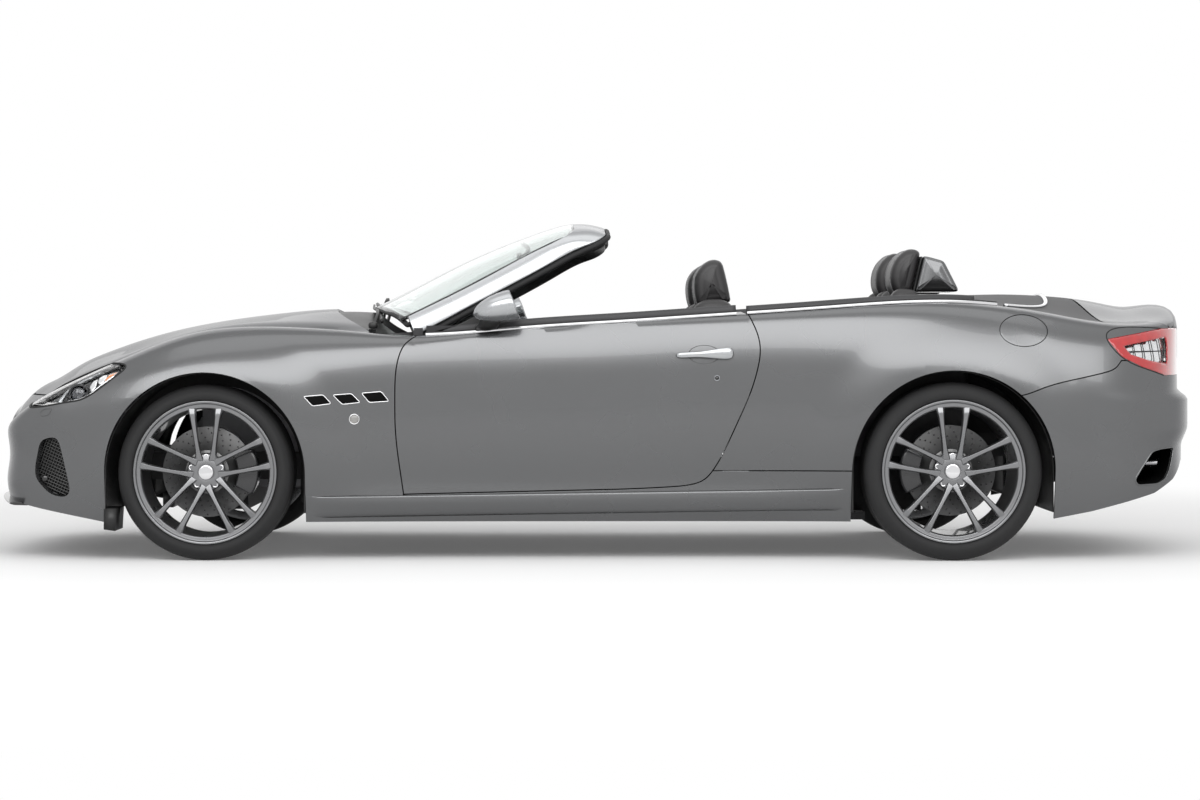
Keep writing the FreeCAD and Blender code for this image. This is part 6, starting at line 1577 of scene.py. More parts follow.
def sunk(line, depth):
    """A side-view line laid on the outer form and moved in along the slope by a depth."""
    path = on_form("side", line)
    return path - outward(path) * depth


def edge_path(loop, depth=0.0, spacing=0.010):
    """A side-view loop at an even spacing, laid on the outer form and moved in by a depth."""
    return sunk(spread(loop, spacing), depth)


def lamp_place(pixel, depth):
    """The point of the form behind a photograph pixel at the lamps' depth, moved in by a depth."""
    return sunk(np.array([view_point(*pixel, LAMP_DEPTH)]), depth)[0]


def edge_cord(name, loop, radius, look, depth=0.0, closed=True, slot=None):
    """A thin cord of round or oval section along a side-view line on the form."""
    path = edge_path(loop, depth) if closed else sunk(loop, depth)
    mesh = sweep(path, round_profile(radius, 8), (0, -1, 0), closed=closed)
    return solid(name, both_sides(mesh), "chassis", look, slot)


LOWER_STRIP_PIXELS = [(66, 403.0), (78, 400.5), (92, 396.0), (104, 386.5), (116, 377.0), (126.5, 368.5)]
CURVED_STRIP_PIXELS = [(61.5, 400.5), (68, 389), (78, 380), (90, 373), (99, 369.5)]
UPPER_REFLECTOR_PIXELS = [(99, 375), (101, 370.5), (108.5, 369.5), (106.5, 376.5), (101.5, 381)]
LOWER_REFLECTOR_PIXELS = [(91.5, 384), (93.5, 376.5), (98.5, 373.5), (98.5, 383), (94, 389)]
AMBER_PIXELS = [(107, 377.5), (111.5, 370.5), (120, 368), (127, 366.8), (120.5, 373.5), (111, 380)]
WASHER_PIXELS = [(44.5, 412), (49, 408.5), (57.5, 408.2), (53.5, 414.5), (46, 416)]
TAIL_CELL_PIXELS = [
    (1119, 345.8), (1168, 336.6), (1169.5, 345), (1168.5, 364.2), (1147, 360.5), (1126, 354.2),
]
TAIL_RIB_PIXELS = [
    ((1124, 350.5), (1169, 350.5)), ((1131, 343.5), (1133, 357)), ((1141, 341.8), (1144, 360)),
    ((1151, 340), (1155, 362)), ((1161, 338), (1166, 363.5)),
]


def lamp_loop(pixels, radius, spacing):
    """A lamp part's outline from its photograph pixels, its corners rounded, at an even spacing."""
    return spread(smooth_loop(view_loop(pixels, LAMP_DEPTH), radius), spacing)


def make_headlamps():
    """Lens, dark bezel, projector, reflector, bright lower strip, curved strip and amber tip."""
    inlay("headlamp_bezel", "nose", HEADLAMP, 0.034, lamp_dark(), replaces=("headlamps",),
        slot="headlamp_lens")
    edge_cord("headlamp_seal", HEADLAMP, setting("seal_radius"), rubber(), 0.0008, slot="black_trim")
    low = view_loop(LOWER_STRIP_PIXELS, LAMP_DEPTH)
    low = smooth_line(low, 40) + np.array([0.0, 0.006])
    size = 0.35 + 0.65 * np.sin(np.pi * np.linspace(0.06, 0.94, 40)) ** 0.6
    strip = sweep(sunk(low, 0.012), round_profile(0.0125, 12, 0.45), (0, -1, 0), scale=size)
    solid("headlamp_lower_strip", both_sides(strip), "chassis", lamp_bright())
    bow = smooth_line(view_loop(CURVED_STRIP_PIXELS, LAMP_DEPTH), 30)
    strip = sweep(sunk(bow, 0.020), round_profile(0.0045, 10, 1.6), (0, -1, 0))
    solid("headlamp_curved_strip", both_sides(strip), "chassis", lamp_trim())
    for name, pixels in (("headlamp_reflector_upper", UPPER_REFLECTOR_PIXELS),
                         ("headlamp_reflector_lower", LOWER_REFLECTOR_PIXELS)):
        inlay(name, "nose", lamp_loop(pixels, 0.010, 0.006), 0.024, lamp_bright(), spacing=0.007)
    tip = lamp_loop(AMBER_PIXELS, 0.008, 0.006)
    inlay("headlamp_amber", "nose", tip, 0.018, amber(), spacing=0.007)
    at = lamp_place(PROJECTOR_PIXEL, 0.034)
    ring_mesh = lathe([(0.030, -0.004), (0.040, -0.004), (0.042, 0.004), (0.038, 0.012), (0.032, 0.010),
        (0.030, 0.002)], 48, at, -1.0)
    solid("headlamp_projector_ring", both_sides(ring_mesh), "chassis", lamp_dark())
    t = np.linspace(0.0, np.pi / 2, 10)
    dome = np.stack([0.031 * np.cos(t), 0.018 * np.sin(t)], -1)
    dome_mesh = lathe(np.concatenate([dome, [(0.0, -0.004), (0.031, -0.004)]]), 48, at, -1.0)
    solid("headlamp_projector", both_sides(dome_mesh), "chassis", projector_glass())
    inlay("headlamp_lens", "nose", grow(HEADLAMP, -0.003), 0.001, lens_glass(), wall=0.0025)
    edge_cord("washer_cover_line", lamp_loop(WASHER_PIXELS, 0.008, 0.005), 0.0009, gloss_black(), 0.0002)


def make_tail_lamps():
    """Red ring, clear inner cells with their ribs, and a dark seal round the lamp."""
    inner = lamp_loop(TAIL_CELL_PIXELS, 0.010, 0.006)
    limit = [("plan", block(0.0, 4.0, -1.2, -0.402))]
    inlay("tail_lamp_ring", "tail", TAIL_LAMP, 0.0005, red_lens(), cut=[("side", inner)], keep=limit,
        wall=0.006,
          spacing=0.008, replaces=("tail_lamps",), slot="tail_lamp_lens")
    inlay("tail_lamp_cells", "tail", grow(inner, 0.004), 0.016, lamp_bright(), keep=limit, wall=0.004)
    inlay("tail_lamp_lens", "tail", inner, 0.0012, lens_glass(), keep=limit, wall=0.002)
    ribs = []
    for pixels in TAIL_RIB_PIXELS:
        line = spread(view_loop(pixels, LAMP_DEPTH), 0.008, closed=False)
        ribs.append(sweep(sunk(line, 0.011), round_profile(0.0022, 6, 0.8), (0, -1, 0)))
    solid("tail_lamp_ribs", both_sides(joined(*ribs)), "chassis", lamp_dark())
    outline = smooth_line(in_metres(TAIL_LAMP_SHARES)[[4, 5, 6, 0, 1]], 60)
    outline = outline[outline[:, 0] < 2.30]
    edge_cord("tail_lamp_seal", outline, 0.0026, rubber(), 0.0006, closed=False, slot="black_trim")


DEFLECTOR = [(-1.949, 0.124), (-1.905, 0.118), (-1.900, 0.205), (-1.949, 0.205)]
LIP_SECTION = [
    (0.046, 0.004), (0.050, 0.000), (0.046, -0.006), (0.020, -0.013), (-0.060, -0.016), (-0.080, -0.012),
    (-0.080, 0.000), (0.0, 0.006),
]


def make_front():
    """Mouth ring, side intakes with crossed wires, and the black splitter."""
    path = on_form("front", ring(0.0, 0.470, 0.463, 0.133, 160))
    path[:, 0] += 0.012
    solid("mouth_ring", sweep(path, round_profile(0.0060, 12, 1.5), (1, 0, 0), closed=True), "chassis",
        chrome(), "chrome")
    inlay("intake_backs", "nose", grow(INTAKE, 0.004), 0.030, black_plastic(), reach_of=INTAKE_REACH,
        replaces=("intake_meshes",), slot="black_trim")
    wires = []
    low, high = INTAKE.min(axis=0), INTAKE.max(axis=0)
    for lean, pitch in ((-0.42, 0.0125), (2.2, 0.0125)):
        way = np.array([1.0, lean]) / math.hypot(1.0, lean)
        cross = np.array([-way[1], way[0]])
        middle = (low + high) / 2
        for k in np.arange(-14, 15):
            line = middle + cross * k * pitch + way * np.linspace(-0.16, 0.16, 65)[:, None]
            line = line[inside(line, grow(INTAKE, 0.001))]
            if len(line) > 3:
                path = sunk(line, 0.022 if lean < 0 else 0.024)
                wires.append(sweep(path, round_profile(0.0024, 5), (0, -1, 0)))
    solid("intake_wires", both_sides(joined(*wires)), "chassis", gloss_black(), "black_trim")
    walls = edge_path(INTAKE, 0.0), edge_path(INTAKE, 0.034)
    tube = np.concatenate(walls), grid_faces(2, len(walls[0]), False, True)
    solid("intake_walls", both_sides(tube), "chassis", body_paint(), "body_paint", closed=False)
    button = lathe([(0.0, -0.01), (0.012, -0.01), (0.012, 0.006), (0.009, 0.009), (0.0, 0.009)], 24,
                   lamp_place(SENSOR_PIXEL, 0.022), -1.0)
    solid("distance_sensors", both_sides(button), "chassis", gloss_black())
    y = np.linspace(-0.735, 0.735, 90)
    x = nose_x(y, 0.245)
    z = CHIN_HEIGHT + (CHIN_REAR_X - x) * CHIN_SLOPE
    path = np.stack([x + 0.020, y, z - 0.006], -1)
    size = 0.35 + 0.65 * np.sin(np.pi * np.linspace(0.03, 0.97, 90)) ** 0.35
    points, faces = sweep(path, np.array(LIP_SECTION) * np.array([-1, 1]), scale=size)
    points[:, 0] = np.maximum(points[:, 0], CAD_BOX[0][0] + 0.002)
    soften(solid("splitter_lip", (points, faces), "chassis", gloss_black(), "black_trim", ("splitter",)),
        0.002)
    flaps = []
    for side in (-1.0, 1.0):
        loop = np.array(DEFLECTOR)
        front = np.stack([loop[:, 0], np.full(4, side * 0.925), loop[:, 1]], -1)
        flaps.append(prism(front, np.array([0.0, -side * 0.20, 0.0])))
    solid("wheel_deflectors", joined(*flaps), "chassis", black_plastic(), "black_trim")


LINER_SECTION = [
    (-0.905, 0.0), (-0.86, 0.004), (-0.70, 0.006), (-0.53, 0.006), (-0.475, 0.0), (-0.470, -0.055),
]


def make_arches():
    """Dark liners inside the wheel openings: a shallow channel carried over each wheel."""
    liners = []
    for axle, hub, radius in ((AXLE_FRONT, HUB_FRONT, ARCH_FRONT), (AXLE_REAR, HUB_REAR, ARCH_REAR)):
        t = np.linspace(np.radians(-24), np.radians(204), 70)
        r = radius - 0.004
        across = np.where(t > np.pi, -1.0, np.where(t < 0.0, 1.0, np.cos(t)))
        out = np.stack([axle + r * across, np.zeros_like(t), hub + r * np.sin(t)], -1)
        rows = []
        for y, grow_by in LINER_SECTION:
            row = out.copy()
            row[:, 1] = y
            row[:, 0] += grow_by * across
            row[:, 2] += grow_by * np.sin(t)
            rows.append(row)
        points = np.stack(rows)
        liners.append((points.reshape(-1, 3), [tuple(f) for f in grid_faces(len(rows), 70)]))
    thicken(add_piece("wheel_arch_liners", *both_sides(joined(*liners)), "chassis", black_plastic(),
                      slot="black_trim"), 0.0025, offset=0.0)


PIPES = ((-0.632, 2.238), (-0.545, 2.272))
PIPE_HEIGHT, PIPE_HALF_WIDTH, PIPE_HALF_HEIGHT = 0.374, 0.036, 0.027


def pipe_ring(x, y, by):
    """Forty points of a pipe's oval at a length, its radii changed by a distance."""
    t = np.linspace(0, 2 * np.pi, 40, endpoint=False)
    return np.stack([np.full(40, x), y + (PIPE_HALF_WIDTH + by) * np.cos(t),
                     PIPE_HEIGHT + (PIPE_HALF_HEIGHT + by) * np.sin(t)], -1)


def make_exhaust():
    """Two oval tips a side with rolled bright lips, near-black caps in their bores as painted shade, and the
    dark recess round them, partly black trim and partly painted shade.
    """
    tips, bores = [], []
    for y, end in PIPES:
        rings = [pipe_ring(x, y, by) for x, by in (
            (2.02, 0.0), (end - 0.02, 0.0), (end - 0.004, 0.001), (end, 0.0), (end - 0.001, -0.0035),
            (end - 0.012, -0.005), (2.10, -0.006))]
        tips.append((np.concatenate(rings), grid_faces(7, 40, False, True)))
        bores.append((pipe_ring(2.11, y, -0.006), [tuple(range(40))]))
    solid("exhaust_tips", both_sides(joined(*tips)), "chassis", pipe_steel(), "chrome", ("tail_pipes",),
        closed=False)
    # Flat near-black caps inside the pipes stand for the shade down the bores: painted shade.
    add_piece("exhaust_bores", *both_sides(joined(*bores)), "chassis", vent_shade())
    # The recess round the tips: partly black trim, partly painted shade.
    edge = edge_path(EXHAUST, 0.0, 0.008)
    inner = edge.copy()
    inner[:, 1] = -0.50 + (edge[:, 1] - edge[:, 1].mean()) * 0.1
    inner[:, 0] -= 0.04
    recess = np.concatenate([edge, edge * 0.4 + inner * 0.6, inner]), floored(3, len(edge))
    solid("exhaust_recess", both_sides(recess), "chassis", vent_shade(), "black_trim", closed=False)
    edge_cord("exhaust_recess_rim", EXHAUST, 0.0035, body_paint(), 0.001, slot="body_paint")


def pillow(loop, middle, half, corner, dome=0.012, bolster=0.0, inner=0.6, groove=0.0, rows=46):
    """A stuffed form: a side-view loop carried across the car, drawn in by a quarter round at both
    ends and closed with a shallow dome; bolsters swell its front near the ends and a groove marks them."""
    loop = np.asarray(loop, float)
    centre = loop.mean(axis=0)
    size = np.max(np.linalg.norm(loop - centre, axis=1))
    v = np.sin(np.linspace(-np.pi / 2, np.pi / 2, rows))
    from_end = np.clip((1 - np.abs(v)) * half / corner, 0, 1)
    inset = corner * (1 - np.sqrt(np.clip(1 - (1 - from_end) ** 2, 0, 1)))
    turn = np.roll(loop, -1, axis=0) - np.roll(loop, 1, axis=0)
    way = np.stack([turn[:, 1], -turn[:, 0]], -1)
    way = way / np.linalg.norm(way, axis=1, keepdims=True)
    if np.sum(way * (loop - centre)) < 0:
        way = -way
    front = np.clip(-way[:, 0] * 0.8 + way[:, 1] * 0.6, 0, 1)
    swell = bolster * ramp(np.abs(v), inner, inner + 0.14) * (1 - ramp(np.abs(v), 0.90, 1.0))
    seam = groove * np.exp(-((np.abs(v) - inner) / 0.028) ** 2)
    out = (swell - seam)[:, None] * front[None] - inset[:, None]
    points = np.empty((rows, len(loop), 3))
    flat = loop[None] + way[None] * out[..., None]
    points[..., 0], points[..., 2] = flat[..., 0], flat[..., 1]
    points[..., 1] = middle + half * v[:, None]
    caps = []
    for end, sign in ((points[0], -1.0), (points[-1], 1.0)):
        mid = end.mean(axis=0)
        rings = []
        for share in (0.85, 0.6, 0.3, 0.02):
            ring_points = mid + (end - mid) * share
            ring_points[:, 1] += sign * dome * (1 - share ** 2) * min(1.0, size / 0.1)
            rings.append(ring_points)
        caps.append(np.stack(rings))
    points = np.concatenate([caps[0][::-1], points, caps[1]])
    n = len(loop)
    faces = grid_faces(len(points), n, False, True)
    return points.reshape(-1, 3), capped(len(points), n, faces, flip=True)


def flutes(mesh, low, high, middle, wide, pitch, depth, along):
    """Sewn channels pressed into the middle of a pad's front at even steps along one direction."""
    points = mesh[0].copy()
    s = points @ np.asarray(along)
    inner = 1 - ramp(np.abs(points[:, 1] - middle), wide * 0.86, wide)
    within_range = ramp(s, low, low + 0.02) * (1 - ramp(s, high - 0.02, high))
    line = np.exp(-(((s - low) % pitch - pitch / 2) / 0.0045) ** 2)
    push = np.array([along[2], 0.0, -along[0]])
    return points + push * (depth * inner * within_range * line)[:, None], mesh[1]


def rounded_loop(corners, radius, spacing=0.012):
    """A closed outline with its corners rounded, at an even spacing."""
    return spread(smooth_loop(np.asarray(corners, float), radius, 9), spacing)


def seam_cord(loop, y, radius=0.0013, by=0.0005):
    """A stitched seam: a thin cord round a side-view loop at one place across the car."""
    loop = grow(loop, by)
    return sweep(np.stack([loop[:, 0], np.full(len(loop), y), loop[:, 1]], -1), round_profile(radius, 6),
        (0, 1, 0), closed=True)


FRONT_CUSHION = [
    (-0.415, 0.300), (-0.422, 0.385), (-0.400, 0.428), (-0.300, 0.440), (-0.100, 0.418), (0.060, 0.402),
    (0.094, 0.380), (0.094, 0.275), (0.020, 0.264), (-0.380, 0.264),
]
FRONT_BACK = [
    (0.108, 0.430), (0.130, 0.395), (0.190, 0.372), (0.262, 0.380), (0.300, 0.430), (0.545, 0.960),
    (0.540, 1.000), (0.500, 1.013), (0.445, 1.008), (0.405, 0.982), (0.370, 0.900), (0.250, 0.690),
    (0.165, 0.560),
]
FRONT_REST = [
    (0.404, 0.994), (0.388, 1.048), (0.384, 1.094), (0.390, 1.134), (0.412, 1.168), (0.440, 1.189),
    (0.466, 1.195), (0.488, 1.190), (0.500, 1.176), (0.512, 1.130), (0.522, 1.085), (0.534, 1.022),
    (0.480, 1.020), (0.440, 1.014),
]
REAR_CUSHION = [
    (0.710, 0.425), (0.706, 0.490), (0.722, 0.528), (0.800, 0.540), (0.930, 0.520), (1.000, 0.500),
    (1.004, 0.470), (1.004, 0.408), (0.980, 0.402), (0.730, 0.402),
]
REAR_BACK = [
    (1.012, 0.530), (1.016, 0.450), (1.040, 0.422), (1.110, 0.420), (1.150, 0.450), (1.290, 0.930),
    (1.306, 1.040), (1.285, 1.062), (1.230, 1.064), (1.200, 1.040), (1.150, 0.900), (1.085, 0.720),
]
REAR_REST = [
    (1.214, 1.052), (1.196, 1.088), (1.191, 1.124), (1.197, 1.166), (1.216, 1.203), (1.245, 1.230),
    (1.270, 1.240), (1.296, 1.238), (1.314, 1.226), (1.300, 1.160), (1.278, 1.070), (1.260, 1.058),
]
FAIRING = [
    (1.290, 1.066), (1.3236, 1.206), (1.330, 1.212), (1.352, 1.208), (1.404, 1.1936), (1.414, 1.184),
    (1.468, 1.078), (1.466, 1.066),
]


FAIRING_TRIM = [(1.281, 1.066), (1.313, 1.210), (1.3225, 1.210), (1.291, 1.066)]
CHANNEL_PITCH = 0.055


def seat(row, word, middle, loops, corner, sizes, channels, nodes, rest_seam, back_seam):
    """One seat: pillows over the loops of cushion, back and rest, channels in the first two. Gives back the
    seams' cords."""
    lines = [rounded_loop(loops[0], corner), rounded_loop(loops[1], corner),
        rounded_loop(loops[2], 0.018, 0.008)]
    meshes = [pillow(line, middle, *size) for line, size in zip(lines, sizes)]
    for k, (low, high, wide, depth, along) in enumerate(channels):
        meshes[k] = flutes(meshes[k], low, high, middle, wide, CHANNEL_PITCH, depth, along)
    for part, mesh, fill, node in zip(("cushion", "back", "rest"), meshes, (0.75, 0.8, 0.9), nodes):
        piece = solid("%s_%s_%s" % (row, part, word), mesh, "chassis", dark_leather(), "leather", node)
    cords = [seam_cord(lines[2], middle + y, 0.0011, 0.0006) for y in (-rest_seam, rest_seam)]
    return cords + [seam_cord(lines[1], middle + y, 0.0012, -0.0035) for y in (-back_seam, back_seam)]


def make_seats():
    """Front and rear seats with their rests' posts, the fairings behind the rear rests, and seams."""
    threads = []
    for word, middle in (("left", -0.375), ("right", 0.375)):
        threads += seat(
            "front", word, middle, (FRONT_CUSHION, FRONT_BACK, FRONT_REST), 0.05,
            ((0.252, 0.045, 0.014, 0.026, 0.60, 0.006), (0.250, 0.050, 0.014, 0.034, 0.60, 0.006),
             (0.140, 0.034, 0.010, 0.0, 0.70, 0.005)),
            ((-0.36, 0.06, 0.145, 0.006, (1.0, 0.0, 0.0)), (0.50, 0.92, 0.140, 0.006, (0.375, 0.0, 0.927))),
            (("seat_cushions",), ("seat_backs",), ()), 0.099, 0.166)
        posts = [sweep(np.array([(0.470, middle + y, 0.985), (0.478, middle + y, 1.045)]),
                       round_profile(0.006, 10), (0, 1, 0)) for y in (-0.055, 0.055)]
        solid("front_rest_posts_" + word, joined(*posts), "chassis", chrome(), "chrome")
    for word, middle in (("left", -0.303), ("right", 0.303)):
        threads += seat(
            "rear", word, middle, (REAR_CUSHION, REAR_BACK, REAR_REST), 0.04,
            ((0.246, 0.040, 0.012, 0.018, 0.62, 0.006), (0.244, 0.045, 0.012, 0.022, 0.60, 0.006),
             (0.132, 0.032, 0.010, 0.0, 0.70, 0.005)),
            ((0.74, 0.98, 0.140, 0.005, (1.0, 0.0, 0.0)), (0.80, 1.20, 0.138, 0.005, (0.242, 0.0, 0.970))),
            (("rear_cushions",), ("rear_backs",), ()), 0.093, 0.160)
        shell = pillow(rounded_loop(FAIRING, 0.012, 0.008), middle, 0.136, 0.020, 0.010, 0.0, 0.7, 0.0, 40)
        solid("headrest_fairing_" + word, shell, "chassis", body_paint(), "body_paint")
        trim = pillow(rounded_loop(FAIRING_TRIM, 0.003, 0.008), middle, 0.128, 0.006, 0.001, 0.0, 0.7, 0.0,
            24)
        solid("fairing_trim_" + word, trim, "chassis", black_plastic(), "black_trim")
    solid("seat_stitching", joined(*threads), "chassis", thread_look(), "leather")


DASH_SECTION = [
    (-0.900, 0.700), (-0.900, 0.872), (-0.860, 0.892), (-0.740, 0.902), (-0.620, 0.902), (-0.548, 0.890),
    (-0.525, 0.866), (-0.522, 0.830), (-0.532, 0.790), (-0.575, 0.760), (-0.590, 0.700), (-0.610, 0.655),
    (-0.700, 0.645), (-0.860, 0.650),
]


CONSOLE = [
    (-0.590, 0.372), (-0.560, 0.640), (-0.500, 0.650), (-0.300, 0.520), (-0.080, 0.490), (0.300, 0.500),
    (0.330, 0.470), (0.330, 0.372),
]
VENT_PLACES, VENT_HEIGHT = (-0.630, -0.110, 0.110, 0.630), 0.828


def make_dashboard():
    """Dashboard roll with its hood over the dials, screen, vents, console and steering column."""
    section = rounded_loop(DASH_SECTION, 0.022, 0.014)
    y = np.linspace(-0.695, 0.695, 90)
    points = np.empty((90, len(section), 3))
    hood = np.exp(-((y + 0.370) / 0.165) ** 4)
    front = ramp(section[:, 0], -0.75, -0.55)[None] * ramp(section[:, 1], 0.70, 0.90)[None]
    bow = 0.055 * (1 - (y / 0.695) ** 2)
    back = ramp(section[:, 0], -0.9, -0.6)[None]
    points[..., 0] = section[None, :, 0] + front * (0.045 * hood)[:, None] + (bow * 0.25)[:, None] * back
    points[..., 1] = y[:, None]
    points[..., 2] = section[None, :, 1] + front * (0.024 * hood)[:, None]
    faces = capped(90, len(section), grid_faces(90, len(section), False, True), flip=True)
    soften(solid("dashboard_roll", (points, faces), "chassis", trim_leather(), "interior_trim",
        ("dashboard",)), 0.004, 2, 50)
    vents = [rounded_slab((0.016, 0.105, 0.052), (-0.520, y0, VENT_HEIGHT), 4.0, (14, 28))
             for y0 in VENT_PLACES]
    solid("dashboard_vents", joined(*vents), "chassis", gloss_black(), "black_trim")
    loop = np.array([(0.0, 0.054, 0.0), (0.0, 0.048, 0.024), (0.0, -0.048, 0.024), (0.0, -0.054, 0.0),
                     (0.0, -0.048, -0.024), (0.0, 0.048, -0.024)])
    rims = [sweep(loop + np.array([-0.513, y0, VENT_HEIGHT]), round_profile(0.0028, 8), (1, 0, 0),
        closed=True)
            for y0 in VENT_PLACES]
    solid("dashboard_vent_rims", joined(*rims), "chassis", chrome(), "chrome")
    screen = rounded_slab((0.012, 0.200, 0.118), (-0.512, 0.0, 0.728), 7.0, (16, 32),
        turn_about((0, 1, 0), -14))
    solid("centre_screen", screen, "chassis", gloss_black(), "interior_trim")
    dial, dial_faces = lathe([(0.0, -0.004), (0.052, -0.004), (0.054, 0.004), (0.050, 0.006), (0.0, 0.002)],
        40)
    dial = dial @ turn_about((0, 0, 1), 90).T @ turn_about((0, 1, 0), 12).T
    placed = [(dial + np.array([-0.485, y0, 0.868]), dial_faces) for y0 in (-0.440, -0.300)]
    solid("dials", joined(*placed), "chassis", gloss_black(), "interior_trim")
    solid("console", pillow(rounded_loop(CONSOLE, 0.03, 0.014), 0.0, 0.105, 0.018, 0.002, 0.0, 0.7, 0.0, 30),
        "chassis", trim_leather(), "interior_trim")
    plate = rounded_slab((0.220, 0.150, 0.012), (-0.190, 0.0, 0.512), 6.0, (14, 30), turn_about((0, 1, 0), 8))
    solid("console_plate", plate, "chassis", gloss_black(), "interior_trim")
    knob = lathe([(0.0, -0.010), (0.012, -0.010), (0.010, 0.030), (0.020, 0.045), (0.024, 0.070),
        (0.016, 0.085), (0.0, 0.088)], 28)
    lever = knob[0] @ turn_about((1, 0, 0), 90).T + np.array([-0.230, 0.0, 0.520]), knob[1]
    solid("gear_lever", lever, "chassis", gloss_black(), "interior_trim")
    axis = np.array([-math.cos(math.radians(22)), 0.0, -math.sin(math.radians(22))])
    centre = np.array([-0.330, -0.370, 0.885])
    column = sweep(np.array([centre + axis * 0.055, centre + axis * 0.16, centre + axis * 0.23]),
        round_profile(0.042, 20), (0, 1, 0), scale=[0.8, 1.0, 1.05])
    solid("column_shroud", column, "chassis", black_plastic(), "interior_trim")


GRIP = [
    (-0.250, -0.745, 0.770), (-0.230, -0.712, 0.772), (-0.130, -0.705, 0.780), (-0.040, -0.712, 0.785),
    (-0.020, -0.745, 0.786),
]
SPEAKER = [(0.0, -0.003), (0.078, -0.003), (0.080, 0.003), (0.074, 0.007), (0.070, 0.004), (0.0, 0.005)]


def make_door_casings():
    """Inner casing of each door: a padded top roll, a shaped panel, an armrest, a pull and a speaker."""
    for side, word, body in ((1, "left", "door_left_body"), (-1, "right", "door_right_body")):
        path = belt_path(-0.66, 0.545)
        path[:, 1] = (path[:, 1] + 0.046) * side
        path[:, 2] += 0.010
        t = np.linspace(0, 2 * np.pi, 18, endpoint=False)
        way = np.stack([np.cos(t), np.sin(t)], -1)
        roll = np.copysign(np.abs(way) ** 0.8, way) * np.array([0.017, 0.026])
        grow_in = np.clip(np.linspace(0, 1, len(path)) * 12, 0.35, 1) ** 0.5
        solid("door_top_roll_" + word, sweep(path, roll, scale=grow_in), body, trim_leather(),
            "interior_trim")
        loop = grow(DOOR, -0.035)
        loop[:, 1] = np.minimum(loop[:, 1], 0.925)
        outer = np.stack([loop[:, 0], np.full(len(loop), -0.800 * side), loop[:, 1]], -1)
        n = len(loop)
        inner = outer.copy()
        inner[:, 1] = -0.758 * side
        shrink = inner.mean(axis=0)
        face = shrink + (inner - shrink) * 0.97
        face[:, 1] = -0.7535 * side
        casing = np.concatenate([outer, inner, face]), [tuple(range(n))[::-1]] + floored(3, n)
        solid("door_casing_" + word, casing, body, trim_leather(), "interior_trim")
        arm = rounded_slab((0.560, 0.075, 0.070), (-0.060, -0.728 * side, 0.660), 4.5, (20, 40),
            turn_about((0, 1, 0), 4))
        solid("door_armrest_" + word, arm, body, dark_leather(), "leather")
        pull = smooth_line(np.array(GRIP) * np.array([1, side, 1]), 30)
        solid("door_grip_" + word, sweep(pull, round_profile(0.009, 12)), body, chrome(), "chrome")
        speaker = lathe(SPEAKER, 48, (-0.430, -0.7520 * side, 0.430), side)
        solid("door_speaker_" + word, speaker, body, black_plastic(), "interior_trim")
    for side, word in ((1, "left"), (-1, "right")):
        path = belt_path(0.575, 1.500)
        path[:, 1] = (path[:, 1] + 0.046) * side
        path[:, 2] += 0.006
        solid("quarter_top_roll_" + word, sweep(path, round_profile(0.024, 18, 0.75)), "chassis",
            trim_leather(), "interior_trim")


REAR_CASING_SECTION = [(0.0, 0.055), (0.06, 0.070), (0.20, 0.130), (0.45, 0.190), (0.75, 0.220), (1.0, 0.225)]


def make_rear_casings():
    """Inner side casings beside the rear seats: a sheet from the door's rear edge to the rear bulkhead."""
    top = belt_path(0.600, 1.500, 0.0)
    rows = []
    for share, inner in REAR_CASING_SECTION:
        row = top.copy()
        row[:, 1] = np.minimum(top[:, 1] + inner, -0.566)
        row[:, 2] = top[:, 2] * (1 - share) + 0.400 * share
        rows.append(row)
    sheet = np.concatenate(rows), grid_faces(len(rows), len(top))
    thicken(add_piece("rear_side_casings", *both_sides(sheet), "chassis", trim_leather(),
                      slot="interior_trim"), 0.004, offset=0.0)
    arm = rounded_slab((0.300, 0.070, 0.050), (0.840, -0.600, 0.640), 4.0, (16, 30))
    solid("rear_armrests", both_sides(arm), "chassis", dark_leather(), "leather")


WIPER_ARM = [(-0.008, -0.004), (-0.006, 0.003), (0.006, 0.003), (0.008, -0.004)]
WIPER_BLADE = [(-0.004, -0.012), (-0.007, 0.002), (0.0, 0.006), (0.007, 0.002), (0.004, -0.012)]


def make_wipers():
    """Two wipers parked along the screen's foot: spindle cap, arm, blade and rubber."""
    parts = []
    for y0, y1 in ((-0.560, -0.060), (0.060, 0.560)):
        a = on_top(-0.905, y0, 0.030)[None].reshape(-1, 3)[0]
        b = on_top(-0.968 + 0.02, y1, 0.022)[None].reshape(-1, 3)[0]
        middle = (a + b) / 2
        arm = smooth_line([a + np.array([-0.012, 0, -0.014]), a + np.array([-0.004, 0.03, 0.010]),
                           middle + np.array([0, 0, 0.016]), b], 30)
        parts.append(sweep(arm, WIPER_ARM, scale=np.linspace(1.0, 0.55, 30)))
        blade = smooth_line([a + np.array([0.026, -0.05, 0.004]), middle + np.array([0.022, 0, 0.010]),
                             b + np.array([0.012, 0.02, 0.004])], 30)
        parts.append(sweep(blade, WIPER_BLADE))
        parts.append(rounded_slab((0.040, 0.040, 0.030), a + np.array([-0.012, 0.0, -0.016]), 3.0, (12, 24)))
    solid("wipers", joined(*parts), "chassis", black_plastic(), "black_trim")


